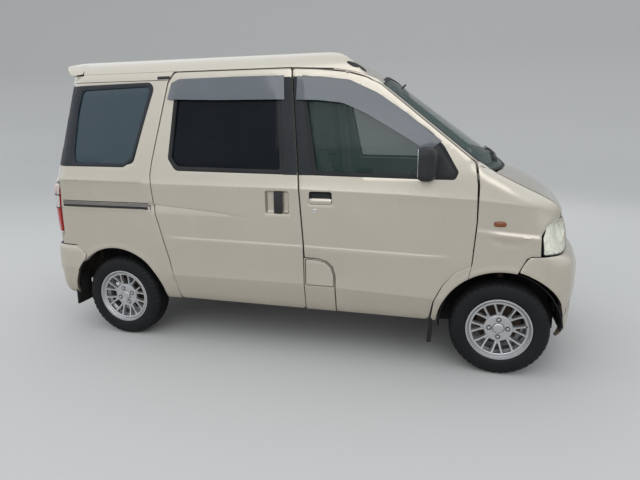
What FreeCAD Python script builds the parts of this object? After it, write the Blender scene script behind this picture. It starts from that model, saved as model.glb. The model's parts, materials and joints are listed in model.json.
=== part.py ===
import FreeCAD, Part
import math
import os

# A high-roof kei minivan, as an assembly. Millimetres.
# Frame: +X to the nose, +Y to the left, +Z up, origin on the ground under the middle of the overall box.

V = FreeCAD.Vector
os.makedirs("parts", exist_ok=True)

# ---------------------------------------------------------------- main sizes
LENGTH = 3395.0
BODY_HALF = 737.5              # half the body width
HEIGHT = 1840.0
FRONT_AXLE_X = 1255.0
REAR_AXLE_X = -1145.0
WHEEL_Z = 270.0                # wheel centre height, also the tyre's radius
WHEEL_Y = 617.0                # wheel centre plane from the middle
TYRE_R = 270.0
TYRE_W = 158.0
RIM_R = 178.0                  # rim flange radius
RIM_BEAD_R = 165.0
RIM_W = 145.0
ARCH_R = 338.0                 # wheel arch radius in the outer panels
HUB_BORE_R = 30.0
HUB_SPIGOT_R = 29.95
SHUT = 6.0                     # gap round doors and lids
SKIN = 70.0                    # thickness of a door or wall below the windows
SILL_Z = 296.0
GLASS_T = 5.0
FLOOR_Z = 380.0                # underside of the main floor
DECK_Z = 560.0                 # underside of the load floor
FLOOR_T = 20.0
RAIL_Z = 310.0                 # underside of the chassis rails

NOSE_X = LENGTH / 2
TAIL_X = -LENGTH / 2

# half section of the body, bottom to roof: half width, height
HALF_SECTION = [
    (690, 296), (706, 322), (731, 445), (737.5, 650), (737.5, 900), (733, 1020),
    (722, 1115), (628, 1693), (612, 1733), (585, 1765), (540, 1787), (420, 1807),
    (300, 1821), (150, 1834), (0, 1840)]
# the same for the hollow inside
HALF_HOLLOW = [
    (640, 372), (663, 440), (663, 1000), (672, 1110), (588, 1675), (560, 1722),
    (500, 1752), (300, 1784), (0, 1798)]
# plan outline of the body above the bumpers: distance along, half width
PLAN = [
    (1650, 0), (1645, 250), (1622, 430), (1585, 560), (1530, 650), (1450, 703),
    (1255, 728), (1000, 736.5), (900, 737.5), (-1000, 737.5), (-1400, 727),
    (-1545, 714), (-1590, 690), (-1625, 620), (-1645, 450), (-1655, 0)]
# plan outline of the two bumpers
BUMPER_PLAN = [
    (1697.5, 0), (1692, 250), (1664, 450), (1623, 570), (1562, 650), (1466, 699),
    (1255, 728), (1000, 736.5), (900, 737.5), (-1000, 737.5), (-1400, 728),
    (-1560, 715), (-1620, 690), (-1665, 620), (-1690, 450), (-1697.5, 0)]
# side outline of the upper body: along, height (rear glass line, roof, windscreen line)
SIDE = [
    (-1655, 250), (-1655, 1040), (-1640, 1120), (-1500, 1700), (-1470, 1790), (-1360, 1822),
    (-1000, 1836), (-700, 1840), (-350, 1839), (0, 1831), (200, 1813), (300, 1790), (384, 1760),
    (460, 1714), (560, 1662)]
# windscreen: centre line and the sweep back at the sides
WS_TOP = (510.0, 1700.0)
WS_BASE = (1203.0, 1190.0)
WS_SWEEP = (134.0, 3.3)        # how far the glass runs back at y = 700, at its base and at its top
WS_HALF = (640, 569)           # half width of the glass opening, low and high
WS_LOW, WS_HIGH = 1190, 1640   # the opening's heights
BONNET_LINE = [(1495, 1027), (1543, 989), (1590, 947), (1623, 900), (1643, 820), (1655, 740)]
# cross section of the nose at two places: along, then half width and height of shoulder, bonnet edge, middle
NOSE_SECTIONS = [(1090, 745, 1105, 640, 1190, 1215), (1560, 745, 890, 600, 965, 1000)]
# rear outline at two heights: height, along at the middle, at y = 560, then two corner points
TAIL_RINGS = [(1050, -1655, -1622, (-1585, 670), (-1540, 706)), (1700, -1500, -1435, (-1400, 600), (-1330, 640))]
# bonnet outline from above (half): along, half width
BONNET_PLAN = [(1258, 0), (1246, 300), (1218, 500), (1190, 636), (1440, 634), (1530, 606), (1700, 600), (1700, 0)]
# bonnet's lower edge seen from the front: half width, height
BONNET_FRONT = [(0, 866), (330, 871), (480, 884), (560, 900), (610, 930), (640, 1000)]
# how far the nose above the bumper leans back over 360 mm of height, for the points of the plan outline
NOSE_LEAN = (740, 1100, (60, 60, 75, 90, 95, 95))
BONNET_UNDER = [(1150, 1090), (1290, 1056), (1420, 998), (1525, 938), (1572, 885), (1598, 835), (1598, 600), (1150, 600)]

# door outlines in side view: along, height, corner radius
FRONT_DOOR = [
    (155, 302, 25), (870, 300, 25), (893, 420, 60), (935, 508, 60), (1003, 592, 60), (1087, 632, 25),
    (1102, 880, 0), (1097, 1070, 0), (1080, 1190, 30), (576, 1593, 60), (492, 1636, 0), (386, 1667, 60), (223, 1687, 0), (71, 1697, 15),
    (124, 1110, 0), (152, 700, 0)]
SLIDING_DOOR = [
    (146, 302, 25), (-695, 302, 25), (-738, 560, 0), (-813, 860, 0), (-834, 1090, 0), (-822, 1175, 0),
    (-712, 1640, 60), (-668, 1700, 40), (63, 1699, 15), (116, 1110, 0), (144, 700, 0)]
FRONT_WINDOW = [(216, 1122, 20), (850, 1110, 10), (850, 1332, 12), (705, 1436, 0), (548, 1541, 80), (387, 1614, 80), (126, 1648, 20)]
SLIDING_WINDOW = [(20, 1128, 20), (-655, 1140, 45), (-700, 1200, 30), (-660, 1560, 60), (-600, 1642, 60), (-14, 1650, 20)]
QUARTER_WINDOW = [(-1035, 1152, 40), (-1452, 1164, 30), (-1345, 1622, 40), (-812, 1634, 40), (-955, 1165, 40)]
TAILGATE_EDGE = [(-1570, 640), (-1542, 865), (-1526, 1052), (-1512, 1138), (-1474, 1446), (-1400, 1668), (-1320, 1700), (-1320, 1850)]
FUEL_FLAP = [(160, 468, 6), (326, 468, 6), (325, 530, 0), (312, 577, 0), (280, 606, 0), (235, 619, 0), (160, 622, 6)]
# the fixed panel that the front right door leaves free round the flap and below it
FILLER_PANEL = [(150, 300), (332, 300), (332, 530), (318, 582), (284, 613), (237, 627), (150, 629)]
TAIL_HOLLOW = [(622, 300), (622, 1060), (630, 1110), (556, 1660), (520, 1720), (470, 1760), (0, 1786)]
KING_LOW = (545.0, 187.0)      # steering axis: from the lower ball joint, half width and height
KING_TOP = (470.0, 690.0)      # to the strut's top
TOW_EYE_R = 12.0
TOW_EYES = [(1420.0, 336.0), (-1480.0, 440.0)]   # along, height


# ---------------------------------------------------------------- helpers
def save(name, shape):
    solids = shape.Solids
    if not solids:
        raise RuntimeError(name + " is empty")
    out = solids[0] if len(solids) == 1 else Part.Compound(solids)
    for s in solids:
        if not s.isValid():
            print("WARNING not valid:", name)
    out.exportStep("parts/" + name + ".step")
    b = out.BoundBox
    print("%-22s solids %2d vol %7.2f l  x %7.1f %7.1f y %7.1f %7.1f z %7.1f %7.1f" % (
        name, len(solids), out.Volume / 1e6, b.XMin, b.XMax, b.YMin, b.YMax, b.ZMin, b.ZMax))


def outline(points, make):
    """closed wire of lines, with an arc at each point that has a radius"""
    n = len(points)
    pts = [make(p) for p in points]
    start, end, edges = [], [], []
    for i, p in enumerate(points):
        r = p[2] if len(p) > 2 else 0
        here = pts[i]
        a = pts[i - 1] - here
        b = pts[(i + 1) % n] - here
        turn = math.pi - a.getAngle(b)
        if r <= 0 or turn < 0.02:
            start.append(here)
            end.append(here)
            continue
        cut = r * math.tan(turn / 2)
        cut = min(cut, 0.45 * a.Length, 0.45 * b.Length)
        r = cut / math.tan(turn / 2)
        s = here + a.normalize() * cut
        e = here + b.normalize() * cut
        bis = (a + b).normalize()
        mid = here + bis * (r / math.cos(turn / 2) - r)
        start.append(s)
        end.append(e)
        edges.append((i, Part.Arc(s, mid, e).toShape()))
    arcs = dict(edges)
    out = []
    for i in range(n):
        if i in arcs:
            out.append(arcs[i])
        j = (i + 1) % n
        if (start[j] - end[i]).Length > 1e-6:
            out.append(Part.LineSegment(end[i], start[j]).toShape())
    return Part.Wire(Part.__sortEdges__(out))


def prism_y(points, y0, y1):
    w = outline(points, lambda p: V(p[0], y0, p[1]))
    return Part.Face(w).extrude(V(0, y1 - y0, 0))


def prism_x(points, x0, x1):
    w = outline(points, lambda p: V(x0, p[0], p[1]))
    return Part.Face(w).extrude(V(x1 - x0, 0, 0))


def prism_z(points, z0, z1):
    w = outline(points, lambda p: V(p[0], p[1], z0))
    return Part.Face(w).extrude(V(0, 0, z1 - z0))


def box(x0, x1, y0, y1, z0, z1):
    return Part.makeBox(x1 - x0, y1 - y0, z1 - z0, V(x0, y0, z0))


def cyl(a, b, r):
    d = V(*b) - V(*a)
    return Part.makeCylinder(r, d.Length, V(*a), d)


def rod(points, r):
    """a bar along straight runs, with a ball at each bend"""
    out = None
    for i in range(len(points) - 1):
        c = cyl(points[i], points[i + 1], r)
        if i:
            c = c.fuse(Part.makeSphere(r, V(*points[i])))
        out = c if out is None else out.fuse(c)
    return out


def left(shape):
    return shape.mirror(V(0, 0, 0), V(0, 1, 0))


def both(shape):
    return Part.Compound([shape, left(shape)])


def fuse(shapes):
    out = shapes[0]
    if len(shapes) > 1:
        out = out.multiFuse(shapes[1:])
    return out.removeSplitter()


def cut(a, *tools):
    return a.cut(Part.Compound(list(tools)) if len(tools) > 1 else tools[0])


def offset_outline(points, d):
    """the outline moved outwards by d, corner radii grown with it"""
    n = len(points)
    area = sum(points[i - 1][0] * points[i][1] - points[i][0] * points[i - 1][1] for i in range(n))
    s = 1 if area > 0 else -1
    out = []
    for i in range(n):
        p0, p1, p2 = points[i - 1], points[i], points[(i + 1) % n]
        a = (p1[0] - p0[0], p1[1] - p0[1])
        b = (p2[0] - p1[0], p2[1] - p1[1])
        la, lb = math.hypot(*a), math.hypot(*b)
        na = (a[1] / la * s, -a[0] / la * s)
        nb = (b[1] / lb * s, -b[0] / lb * s)
        k = 1 + na[0] * nb[0] + na[1] * nb[1]
        m = ((na[0] + nb[0]) / k, (na[1] + nb[1]) / k)
        r = p1[2] if len(p1) > 2 else 0
        cross = (a[0] * b[1] - a[1] * b[0]) * s
        if r > 0:
            r = max(r + d if cross > 0 else r - d, 1)
        out.append((p1[0] + m[0] * d, p1[1] + m[1] * d, r))
    return out


def half_width(z):
    """half width of the body's section at a height"""
    for (y0, z0), (y1, z1) in zip(HALF_SECTION, HALF_SECTION[1:]):
        if z0 <= z <= z1:
            return y0 + (y1 - y0) * (z - z0) / (z1 - z0)
    return HALF_SECTION[0][0]


def closed_half(points):
    return [(y, z) for y, z in points] + [(-y, z) for y, z in reversed(points) if y > 0]


def full_plan(points):
    """the mirrored outline of a half that starts and ends on the middle line"""
    return [(x, -y) for x, y in points] + [(x, y) for x, y in reversed(points[1:-1])]


def closed_plan(points):
    return [(x, -y) for x, y in points] + [(x, y) for x, y in reversed(points) if y > 0]


# ---------------------------------------------------------------- body volumes
section = prism_x(closed_half(HALF_SECTION), TAIL_X - 10, NOSE_X + 10)
hollow_section = prism_x(closed_half(HALF_HOLLOW), -1590, 1600)
plan = prism_z(closed_plan(PLAN), 200, 1900)
bumper_plan = prism_z(closed_plan(BUMPER_PLAN), 200, 700)


def windscreen_volume(back, y_half=640.0):
    """everything behind the windscreen's outer face, moved back by a distance"""
    wires = []
    rise = WS_TOP[1] - WS_BASE[1]
    for z in (1000.0, 1900.0):
        t = (z - WS_BASE[1]) / rise
        xc = WS_BASE[0] + (WS_TOP[0] - WS_BASE[0]) * t - back
        xs = xc - (WS_SWEEP[0] + (WS_SWEEP[1] - WS_SWEEP[0]) * t) * (y_half / 700.0) ** 2
        a, m, b = V(xs, -y_half, z), V(xc, 0, z), V(xs, y_half, z)
        wires.append(closed_wire(Part.Arc(a, m, b).toShape(), [V(xs, 800, z), V(-1900, 800, z), V(-1900, -800, z), V(xs, -800, z)]))
    return Part.makeLoft(wires, True, True)


def closed_wire(arc, points):
    """an arc closed by straight runs through the points"""
    ends = [arc.Vertexes[-1].Point] + points + [arc.Vertexes[0].Point]
    return Part.Wire([arc] + [Part.LineSegment(p, q).toShape() for p, q in zip(ends, ends[1:])])


def tail_volume(ahead):
    """everything ahead of the rear face above the waist, moved forward by a distance"""
    wires = []
    (z0, c0, s0, a0, b0), (z1, c1, s1, a1, b1) = TAIL_RINGS
    for z in (1000.0, 1900.0):
        t = (z - z0) / (z1 - z0)
        xc, xs = c0 + (c1 - c0) * t + ahead, s0 + (s1 - s0) * t + ahead
        ca = (a0[0] + (a1[0] - a0[0]) * t + ahead, a0[1] + (a1[1] - a0[1]) * t)
        cb = (b0[0] + (b1[0] - b0[0]) * t + ahead, b0[1] + (b1[1] - b0[1]) * t)
        arc = Part.Arc(V(xs, -560, z), V(xc, 0, z), V(xs, 560, z)).toShape()
        side = [V(ca[0], ca[1], z), V(cb[0], cb[1], z), V(cb[0] + 130, 800, z), V(1900, 800, z)]
        wires.append(closed_wire(arc, side + [V(p.x, -p.y, p.z) for p in reversed(side)]))
    return Part.makeLoft(wires, True, True)


def nose_section(x, yw, zs, ye, ze, zc):
    pts = [(-800, 200), (-800, zs - 40), (-yw, zs), (-ye, ze), (0, zc), (ye, ze), (yw, zs), (800, zs - 40), (800, 200)]
    return Part.makePolygon([V(x, y, z) for y, z in pts + pts[:1]])


nose_shape = Part.makeLoft([nose_section(*NOSE_SECTIONS[0]),
                            nose_section(*[a + (b - a) * (1700 - NOSE_SECTIONS[0][0]) / (NOSE_SECTIONS[1][0] - NOSE_SECTIONS[0][0])
                                           for a, b in zip(*NOSE_SECTIONS)])], True, True)
nose_shape = nose_shape.fuse(box(-1800, 1090, -800, 800, 200, 1050))
# the front face leans back above the bumper
lean = []
for z, part in ((NOSE_LEAN[0], 0.0), (1300.0, (1300.0 - NOSE_LEAN[0]) / (NOSE_LEAN[1] - NOSE_LEAN[0]))):
    pts = closed_plan([(x - part * d, y) for (x, y), d in zip(PLAN[:6], NOSE_LEAN[2])] + [(1255, 800), (-1900, 800), (-1900, 0)])
    lean.append(Part.makePolygon([V(x, y, z) for x, y in pts + pts[:1]]))
front_lean = Part.makeLoft(lean, True, True).fuse(box(-1900, 1700, -800, 800, 200, NOSE_LEAN[0]))
side_upper = prism_y(SIDE + [(1900, 1655), (1900, 250)], -800, 800)
greenhouse = section.common(side_upper).common(windscreen_volume(0)).common(plan).common(tail_volume(0)).common(box(-1800, 1800, -800, 800, 1000, 1900))
lower_side = prism_y([(-1655, 250), (-1655, 1050), (1080, 1050), (1080, 1260), (1258, 1200)] + BONNET_LINE + [(1655, 250)], -800, 800)
lower = section.common(lower_side).common(plan).common(nose_shape).common(front_lean)
body = greenhouse.fuse(lower).removeSplitter()

# the hollow inside, from the firewall to the tailgate
inner_side = prism_y([(-1590, 372), (-1590, 1080), (-1455, 1660), (-1400, 1798), (0, 1789), (200, 1768), (300, 1744), (384, 1712), (470, 1666),
                      (560, 1618), (1122, 1205), (1122, 1110), (1085, 1110), (1085, 372)], -800, 800)
hollow = hollow_section.common(inner_side)
hollow = hollow.common(windscreen_volume(45)).common(tail_volume(62)).fuse(hollow.common(box(-1800, 1800, -800, 800, 300, 1001))).removeSplitter()
# engine bay hollow ahead of the firewall
bay = prism_y([(1110, 372), (1110, 1078), (1200, 1072), (1420, 990), (1525, 930), (1590, 850), (1590, 372)], -700, 700)
bay = bay.common(prism_z(closed_plan([(1600, 0), (1570, 430), (1530, 560), (1450, 640), (1255, 668), (900, 672), (900, 0)]), 300, 1200))


def wheel_space(x, r, y_in, z_top=None):
    s = cyl((x, -800, WHEEL_Z), (x, -y_in, WHEEL_Z), r)
    s = s.fuse(box(x - r, x + r, -800, -y_in, 0, WHEEL_Z))
    return s.removeSplitter()


front_space = wheel_space(FRONT_AXLE_X, ARCH_R, 300)
rear_space = wheel_space(REAR_AXLE_X, ARCH_R - 6, 500)
front_inner = wheel_space(FRONT_AXLE_X, ARCH_R + 14, 290)
rear_inner = wheel_space(REAR_AXLE_X, ARCH_R + 10, 485)
below = box(-1800, 1800, -800, 800, 0, FLOOR_Z + 36)

shell = cut(body, hollow, bay)
RIGHT = box(-1800, 1800, -800, 0, 0, 1900)
shell_r = shell.common(RIGHT)

# ---------------------------------------------------------------- openings in the right side
door_y = (-800, -560)
front_door_tool = prism_y(FRONT_DOOR, *door_y)
sliding_tool = prism_y(SLIDING_DOOR, *door_y)
front_door_hole = prism_y(offset_outline(FRONT_DOOR, SHUT), *door_y)
sliding_hole = prism_y(offset_outline(SLIDING_DOOR, SHUT), *door_y)
quarter_glass_tool = prism_y(QUARTER_WINDOW, -800, -560)
front_glass_tool = prism_y(FRONT_WINDOW, -800, -560)
sliding_glass_tool = prism_y(SLIDING_WINDOW, -800, -560)


def glass_layer(tool, grow, depth, thick):
    """a pane in a window opening, at a depth behind the outer face"""
    outer = prism_x(closed_half([(y - depth, z) if y > 0 else (0, z) for y, z in HALF_SECTION]), -1700, 1700)
    inner = prism_x(closed_half([(y - depth - thick, z - 0.001) if y > 0 else (0, z - 0.001) for y, z in HALF_SECTION]), -1700, 1700)
    return tool.common(outer).cut(inner)


# ---------------------------------------------------------------- doors
def door(tool_points, window_tool, extra=None):
    d = shell_r.common(prism_y(tool_points, *door_y))
    # the inner half stands back from the outer skin's edge
    inner_keep = prism_y(offset_outline(tool_points, -9), -800, -560)
    inner_slab = prism_x([(-BODY_HALF + 32, 200), (-BODY_HALF + 32, 1060), (-600, 1699), (-520, 1699), (-520, 200)], -1800, 1800)
    ring = inner_slab.cut(inner_keep)
    d = d.cut(ring).cut(window_tool).cut(box(-900, 1200, -664, -500, 200, 440)).cut(box(1000, 1200, -664, -500, 400, 1096))
    if extra is not None:
        d = d.cut(extra)
    return d


front_space_door = wheel_space(FRONT_AXLE_X, ARCH_R + 60, 300)
front_door_full = door(FRONT_DOOR, front_glass_tool)
filler_gap = prism_y(offset_outline(FILLER_PANEL, SHUT), -800, -560)
front_door_r = front_door_full.cut(filler_gap)
sliding_door_r = door(SLIDING_DOOR, sliding_glass_tool)

flap_back = prism_x([(-724.5, 445), (-731.5, 650), (-500, 650), (-500, 445)], -100, 500)
flap_r = body.common(prism_y(FUEL_FLAP, -800, -560)).cut(flap_back)
filler_panel = shell_r.common(prism_y(FILLER_PANEL, -800, -664))
filler_panel = filler_panel.cut(prism_y(offset_outline(FUEL_FLAP, 4), -800, -700))
filler_neck = cyl((240, -690, 540), (240, -716, 540), 30)
filler_panel = fuse([filler_panel, filler_neck])

# ---------------------------------------------------------------- roof, quarter panels, front frame
def ws_zone(side, low, high):
    """the windscreen's outline: inside the pillars, above the cowl, below the header"""
    tool = prism_x([(-side[0], low), (-side[1], high), (side[1], high), (side[0], low)], 300, 1400)
    return tool


def ws_piece(grow):
    return ws_zone((WS_HALF[0] + grow, WS_HALF[1] + grow), WS_LOW - grow, WS_HIGH + grow)


windscreen_glass = windscreen_volume(6).cut(windscreen_volume(12)).common(ws_piece(6)).common(greenhouse)
ws_hole = ws_piece(0).common(windscreen_volume(-80)).cut(windscreen_volume(75))
ws_rebate = ws_piece(8).common(windscreen_volume(-80)).cut(windscreen_volume(13))

roof = shell.common(box(-1314, 1000, -800, 800, 1707, 1900))
roof = cut(roof, ws_hole, ws_rebate)
quarter = shell_r.common(box(-1700, -560, -800, -560, 296, 1707))
tail_cut = prism_y([(x + SHUT, z) for x, z in TAILGATE_EDGE if z > 1000] + [(-1900, 1850), (-1900, 1030), (-1530, 1030)], -800, 0)
lamp_hole = prism_y([(-1900, 698), (-1543, 698), (-1543, 865), (-1528, 1030), (-1900, 1030)], -800, 0)
quarter = cut(quarter, sliding_hole, rear_space, quarter_glass_tool, tail_cut, lamp_hole, box(-1800, -1500, -578, 0, 200, 1800),
              box(-1800, -1340, -800, 0, 200, 622), box(-1800, 0, -664, 0, 200, 440))
quarter = max(quarter.Solids, key=lambda s: s.Volume)

# the rear bumper and the front bumper
bumper_vol = section.common(bumper_plan)
rear_bumper = prism_x(closed_half([(690, 268), (706, 322), (731, 445), (737.5, 616), (0, 616)]), -1700, -1340)
rear_bumper = rear_bumper.common(prism_z(closed_plan(BUMPER_PLAN), 200, 700))
rear_bumper = cut(rear_bumper, prism_z(closed_plan([(x + 45 if x < 0 else x, max(y - 45, 0)) for x, y in BUMPER_PLAN]), 200, 700),
                  wheel_space(REAR_AXLE_X, ARCH_R + 4, 300), left(wheel_space(REAR_AXLE_X, ARCH_R + 4, 300)),
                  box(-1560, -1300, -600, 600, 200, 700))
plate_hole_r = 3.25
plate_spacing = 210.0

front_lip = [(650, 215), (668, 260), (690, 300), (720, 450), (734, 600), (731, 700), (0, 700)]
front_bumper = prism_x(closed_half(front_lip), 1300, 1700).common(prism_z(closed_plan(BUMPER_PLAN), 200, 760))
seam = prism_y([(1250, 200), (1335, 616), (1372, 694), (1395, 708), (1392, 760), (1250, 760)], -800, 800)
front_bumper = cut(front_bumper, prism_z(closed_plan([(x - 42, max(y - 45, 0)) for x, y in BUMPER_PLAN]), 200, 780),
                   wheel_space(FRONT_AXLE_X, ARCH_R + 2, 300), left(wheel_space(FRONT_AXLE_X, ARCH_R + 2, 300)), seam)
lower_grille = box(1600, 1720, -330, 330, 300, 400)
upper_grille = box(1600, 1720, -250, 250, 560, 606)
front_bumper = cut(front_bumper, lower_grille, box(1694, 1720, -180, 180, 440, 560))
for sy in (-1, 1):
    front_bumper = front_bumper.cut(cyl((1640, sy * plate_spacing / 2, 500), (1710, sy * plate_spacing / 2, 500), plate_hole_r))

# ---------------------------------------------------------------- bonnet, fenders, cowl frame
HL_SIDE = [(1440, 722), (1434, 815), (1465, 868), (1500, 890), (1535, 908), (1700, 908), (1700, 722)]
def above_bonnet_edge(down):
    """everything above the bonnet's lower edge, moved down by a distance"""
    pts = [(y, z - down) for y, z in BONNET_FRONT] + [(800, 1000 - down), (800, 1300)]
    return prism_x([(-y, z) for y, z in reversed(pts[1:])] + pts, 1150, 1800)


bonnet_top = prism_z(full_plan(BONNET_PLAN), 700, 1300).common(above_bonnet_edge(0))
bonnet_under = prism_y(BONNET_UNDER, -592, 592).common(prism_z(full_plan([(1100, 0), (1100, 592), (1470, 592), (1520, 540), (1572, 400), (1600, 0)]), 500, 1200))
bonnet = body.common(bonnet_top).cut(bonnet_under).common(box(1186, 1900, -800, 800, 860, 1300))
bonnet = max(bonnet.Solids, key=lambda s: s.Volume)

bonnet_gap = prism_z(offset_outline(full_plan(BONNET_PLAN), SHUT), 840, 1300).common(above_bonnet_edge(SHUT))
headlamp_tool = prism_y(HL_SIDE, -800, -330)
headlamp = body.common(headlamp_tool).cut(prism_z([(1300, -560), (1480, -600), (1548, -500), (1572, -330), (1300, -330)], 600, 1000))
headlamp = headlamp.common(box(1400, 1720, -800, -335, 722, 932))
headlamp = cut(headlamp, bonnet_gap)
headlamp = max(headlamp.Solids, key=lambda s: s.Volume)
fender = cut(body, bay).common(box(1096, 1560, -800, -560, 380, 1250))
fender = cut(fender, front_door_hole, front_space, ws_hole, ws_rebate, prism_y(offset_outline([(x, z, 5) for x, z in HL_SIDE], 4), -800, -300), bonnet_gap,
             prism_y([(1310, 190), (1329, 621), (1366, 701), (1389, 715), (1700, 715), (1700, 190)], -800, 800))
fender = fender.common(prism_y([(1096, 380), (1096, 1200), (1200, 1200), (1600, 1030), (1600, 380)], -800, 0))
fender = max(fender.Solids, key=lambda s: s.Volume)

nose_panel = body.common(box(1500, 1700, -328, 328, 708, 880)).cut(box(1400, 1588, -800, 800, 600, 1000)).cut(bonnet_gap)
nose_panel = max(nose_panel.Solids, key=lambda s: s.Volume)

# ---------------------------------------------------------------- front frame: pillars, header, cowl and firewall
frame_zone = box(-50, 1186, -800, 800, 296, 1701)
pillar = shell_r.common(box(150, 1186, -800, 0, 1000, 1707))
pillar = cut(pillar, front_door_hole, ws_hole, ws_rebate)
pillar = pillar.common(prism_y([(300, 1707), (1186, 1707), (1186, 1196), (1093, 1196), (1086, 1184)], -800, 0))
cowl = body.common(box(1094, 1256, -646, 646, 1060, 1190))
cowl = cut(cowl, front_door_hole, left(front_door_hole), ws_hole, ws_rebate, box(1000, 1300, -600, 600, 1000, 1088), bonnet_gap)
cowl = max(cowl.Solids, key=lambda s: s.Volume)
firewall = fuse([box(1090, 1112, -602, 602, 560, 1092), box(1090, 1112, -300, 300, FLOOR_Z, 565)])
upper_rail_r = box(1108, 1425, -600, -556, 700, 745)
nose_bar = box(1380, 1425, -560, 560, 640, 700)
rail_post_r = box(1380, 1425, -600, -556, 612, 745)
kick_r = prism_y([(955, 372), (1112, 372), (1112, 1100), (1030, 1100), (1030, 640), (955, 540)], -655, -600)
kick_r = cut(kick_r, wheel_space(FRONT_AXLE_X, ARCH_R + 4, 290))
front_frame = fuse([max(pillar.Solids, key=lambda s: s.Volume), max(left(pillar).Solids, key=lambda s: s.Volume), cowl, firewall,
                    upper_rail_r, left(upper_rail_r), nose_bar, rail_post_r, left(rail_post_r), kick_r, left(kick_r)])

# sills and centre pillars, behind the doors' inner faces
sill_section = [(-657, 300), (-657, 366), (-560, 366), (-560, 300)]
sill_r = prism_x(sill_section, -700, 862)
centre_r = prism_y([(62, 360), (185, 360), (140, 1100), (100, 1690), (100, 1707), (45, 1707), (45, 1690), (72, 1100)], -666, -540)
centre_r = centre_r.common(prism_x([(-657, 300), (-657, 1000), (-666, 1110), (-582, 1675), (-573, 1690), (-563, 1707), (-540, 1707), (-552, 1675),
                                    (-636, 1110), (-612, 1000), (-612, 300)], -100, 300))
side_frame_l = fuse([sill_r, centre_r])
filler_web = box(160, 330, -666, -655, 310, 560)
side_frame_r = fuse([side_frame_l, filler_panel, filler_web])
side_frames = Part.Compound([side_frame_r, left(side_frame_l)])

# ---------------------------------------------------------------- tailgate
tail_tool = prism_y(TAILGATE_EDGE + [(-1900, 1850), (-1900, 640)], -800, 800)
tailgate = body.common(tail_tool)
tail_inner = prism_y([(-1300, 400), (-1300, 1790), (-1430, 1790), (-1466, 1690), (-1600, 1110), (-1612, 1040), (-1612, 400)], -640, 640)
tail_inner = tail_inner.common(prism_x(closed_half(TAIL_HOLLOW), -1700, -1200))
tail_inner = tail_inner.common(tail_volume(44)).fuse(tail_inner.common(box(-1700, -1200, -800, 800, 300, 1001))).removeSplitter()
tailgate = cut(tailgate, tail_inner)
lamp_tool = prism_y([(-1900, 702), (-1500, 702), (-1500, 1030), (-1900, 1030)], -800, -560)
lamp_gap = prism_y([(-1900, 640), (-1500, 640), (-1500, 1036), (-1900, 1036)], -800, -572)
tailgate = cut(tailgate, lamp_gap, left(lamp_gap))
REAR_GLASS = [(-545, 1165), (-500, 1625), (500, 1625), (545, 1165)]
tail_glass_tool = prism_x(REAR_GLASS, -1800, -1380)
tail_glass_big = prism_x([(-565, 1148), (-518, 1642), (518, 1642), (565, 1148)], -1800, -1300)
tailgate_glass = tail_volume(3).cut(tail_volume(8)).common(tail_glass_big)
tail_rebate = tail_volume(-90).cut(tail_volume(8.001)).common(prism_x([(-567, 1146), (-520, 1644), (520, 1644), (567, 1146)], -1800, -1300))
tailgate = cut(tailgate, tail_glass_tool, tail_rebate)
tailgate = max(tailgate.Solids, key=lambda s: s.Volume)
# its roof lip: the spoiler
spoiler = prism_y([(-1326, 1826), (-1326, 1790), (-1400, 1740), (-1440, 1708), (-1520, 1712), (-1536, 1740), (-1530, 1768), (-1480, 1796), (-1400, 1818)], -600, 600)
spoiler = spoiler.common(prism_z(full_plan([(-1300, 0), (-1300, 606), (-1420, 596), (-1474, 556), (-1520, 440), (-1540, 0)]), 1600, 1900))
spoiler = spoiler.common(section).cut(tail_inner)
tailgate = tailgate.fuse(spoiler).removeSplitter()
plate_recess = box(-1700, -1650, -190, 190, 700, 810)
for sy in (-1, 1):
    tailgate = tailgate.cut(cyl((-1700, sy * plate_spacing / 2, 755), (-1600, sy * plate_spacing / 2, 755), plate_hole_r))

tail_lamp = body.common(prism_y([(-1900, 700), (-1545, 700), (-1545, 865), (-1530, 1028), (-1900, 1028)], -800, -578))
tail_lamp = tail_lamp.cut(box(-1585, -1500, -670, -500, 600, 1100))
tail_lamp = max(tail_lamp.Solids, key=lambda s: s.Volume)
# corner of the body inboard of the lamps and below the tailgate
corner_r = body.common(prism_y([(-1610, 628), (-1570, 628), (-1562, 694), (-1610, 694)], -800, -578))

# ---------------------------------------------------------------- doors' glass
def side_pane(points, grow, depth):
    tool = prism_y(offset_outline(points, grow), -800, -540)
    band = [(y, z) for y, z in HALF_SECTION if 1000 < z < 1800]
    face = [(-(733 - depth), 1020), (-(722 - depth), 1115), (-(628 - depth), 1693), (-(628 - depth - GLASS_T), 1693), (-(722 - depth - GLASS_T), 1115), (-(733 - depth - GLASS_T), 1020)]
    return tool.common(prism_x(face, -1700, 1300))


PANE_DEPTH = 16.0
front_pane = side_pane(FRONT_WINDOW, 10, PANE_DEPTH)
sliding_pane = side_pane(SLIDING_WINDOW, 10, PANE_DEPTH)
quarter_pane = side_pane(QUARTER_WINDOW, 10, 6)
quarter_slot = prism_y(offset_outline(QUARTER_WINDOW, 10), -800, -540).common(
    prism_x([(-900, 1020), (-728, 1020), (-717, 1115), (-623, 1693), (-900, 1693)], -1700, 1300))
quarter_slot = quarter_slot.common(prism_x([(-760, 1020), (-722, 1115), (-628, 1693), (-617, 1693), (-711, 1115), (-722, 1020)], -1700, 1300))


def slot_for(points, depth):
    tool = prism_y(offset_outline(points, 10), -800, -540)
    g = 0.0
    face = [(-(733 - depth) - g, 1020), (-(722 - depth) - g, 1115), (-(628 - depth) - g, 1693),
            (-(628 - depth - GLASS_T) + g, 1693), (-(722 - depth - GLASS_T) + g, 1115), (-(733 - depth - GLASS_T) + g, 1020)]
    return tool.common(prism_x(face, -1700, 1300))


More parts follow.
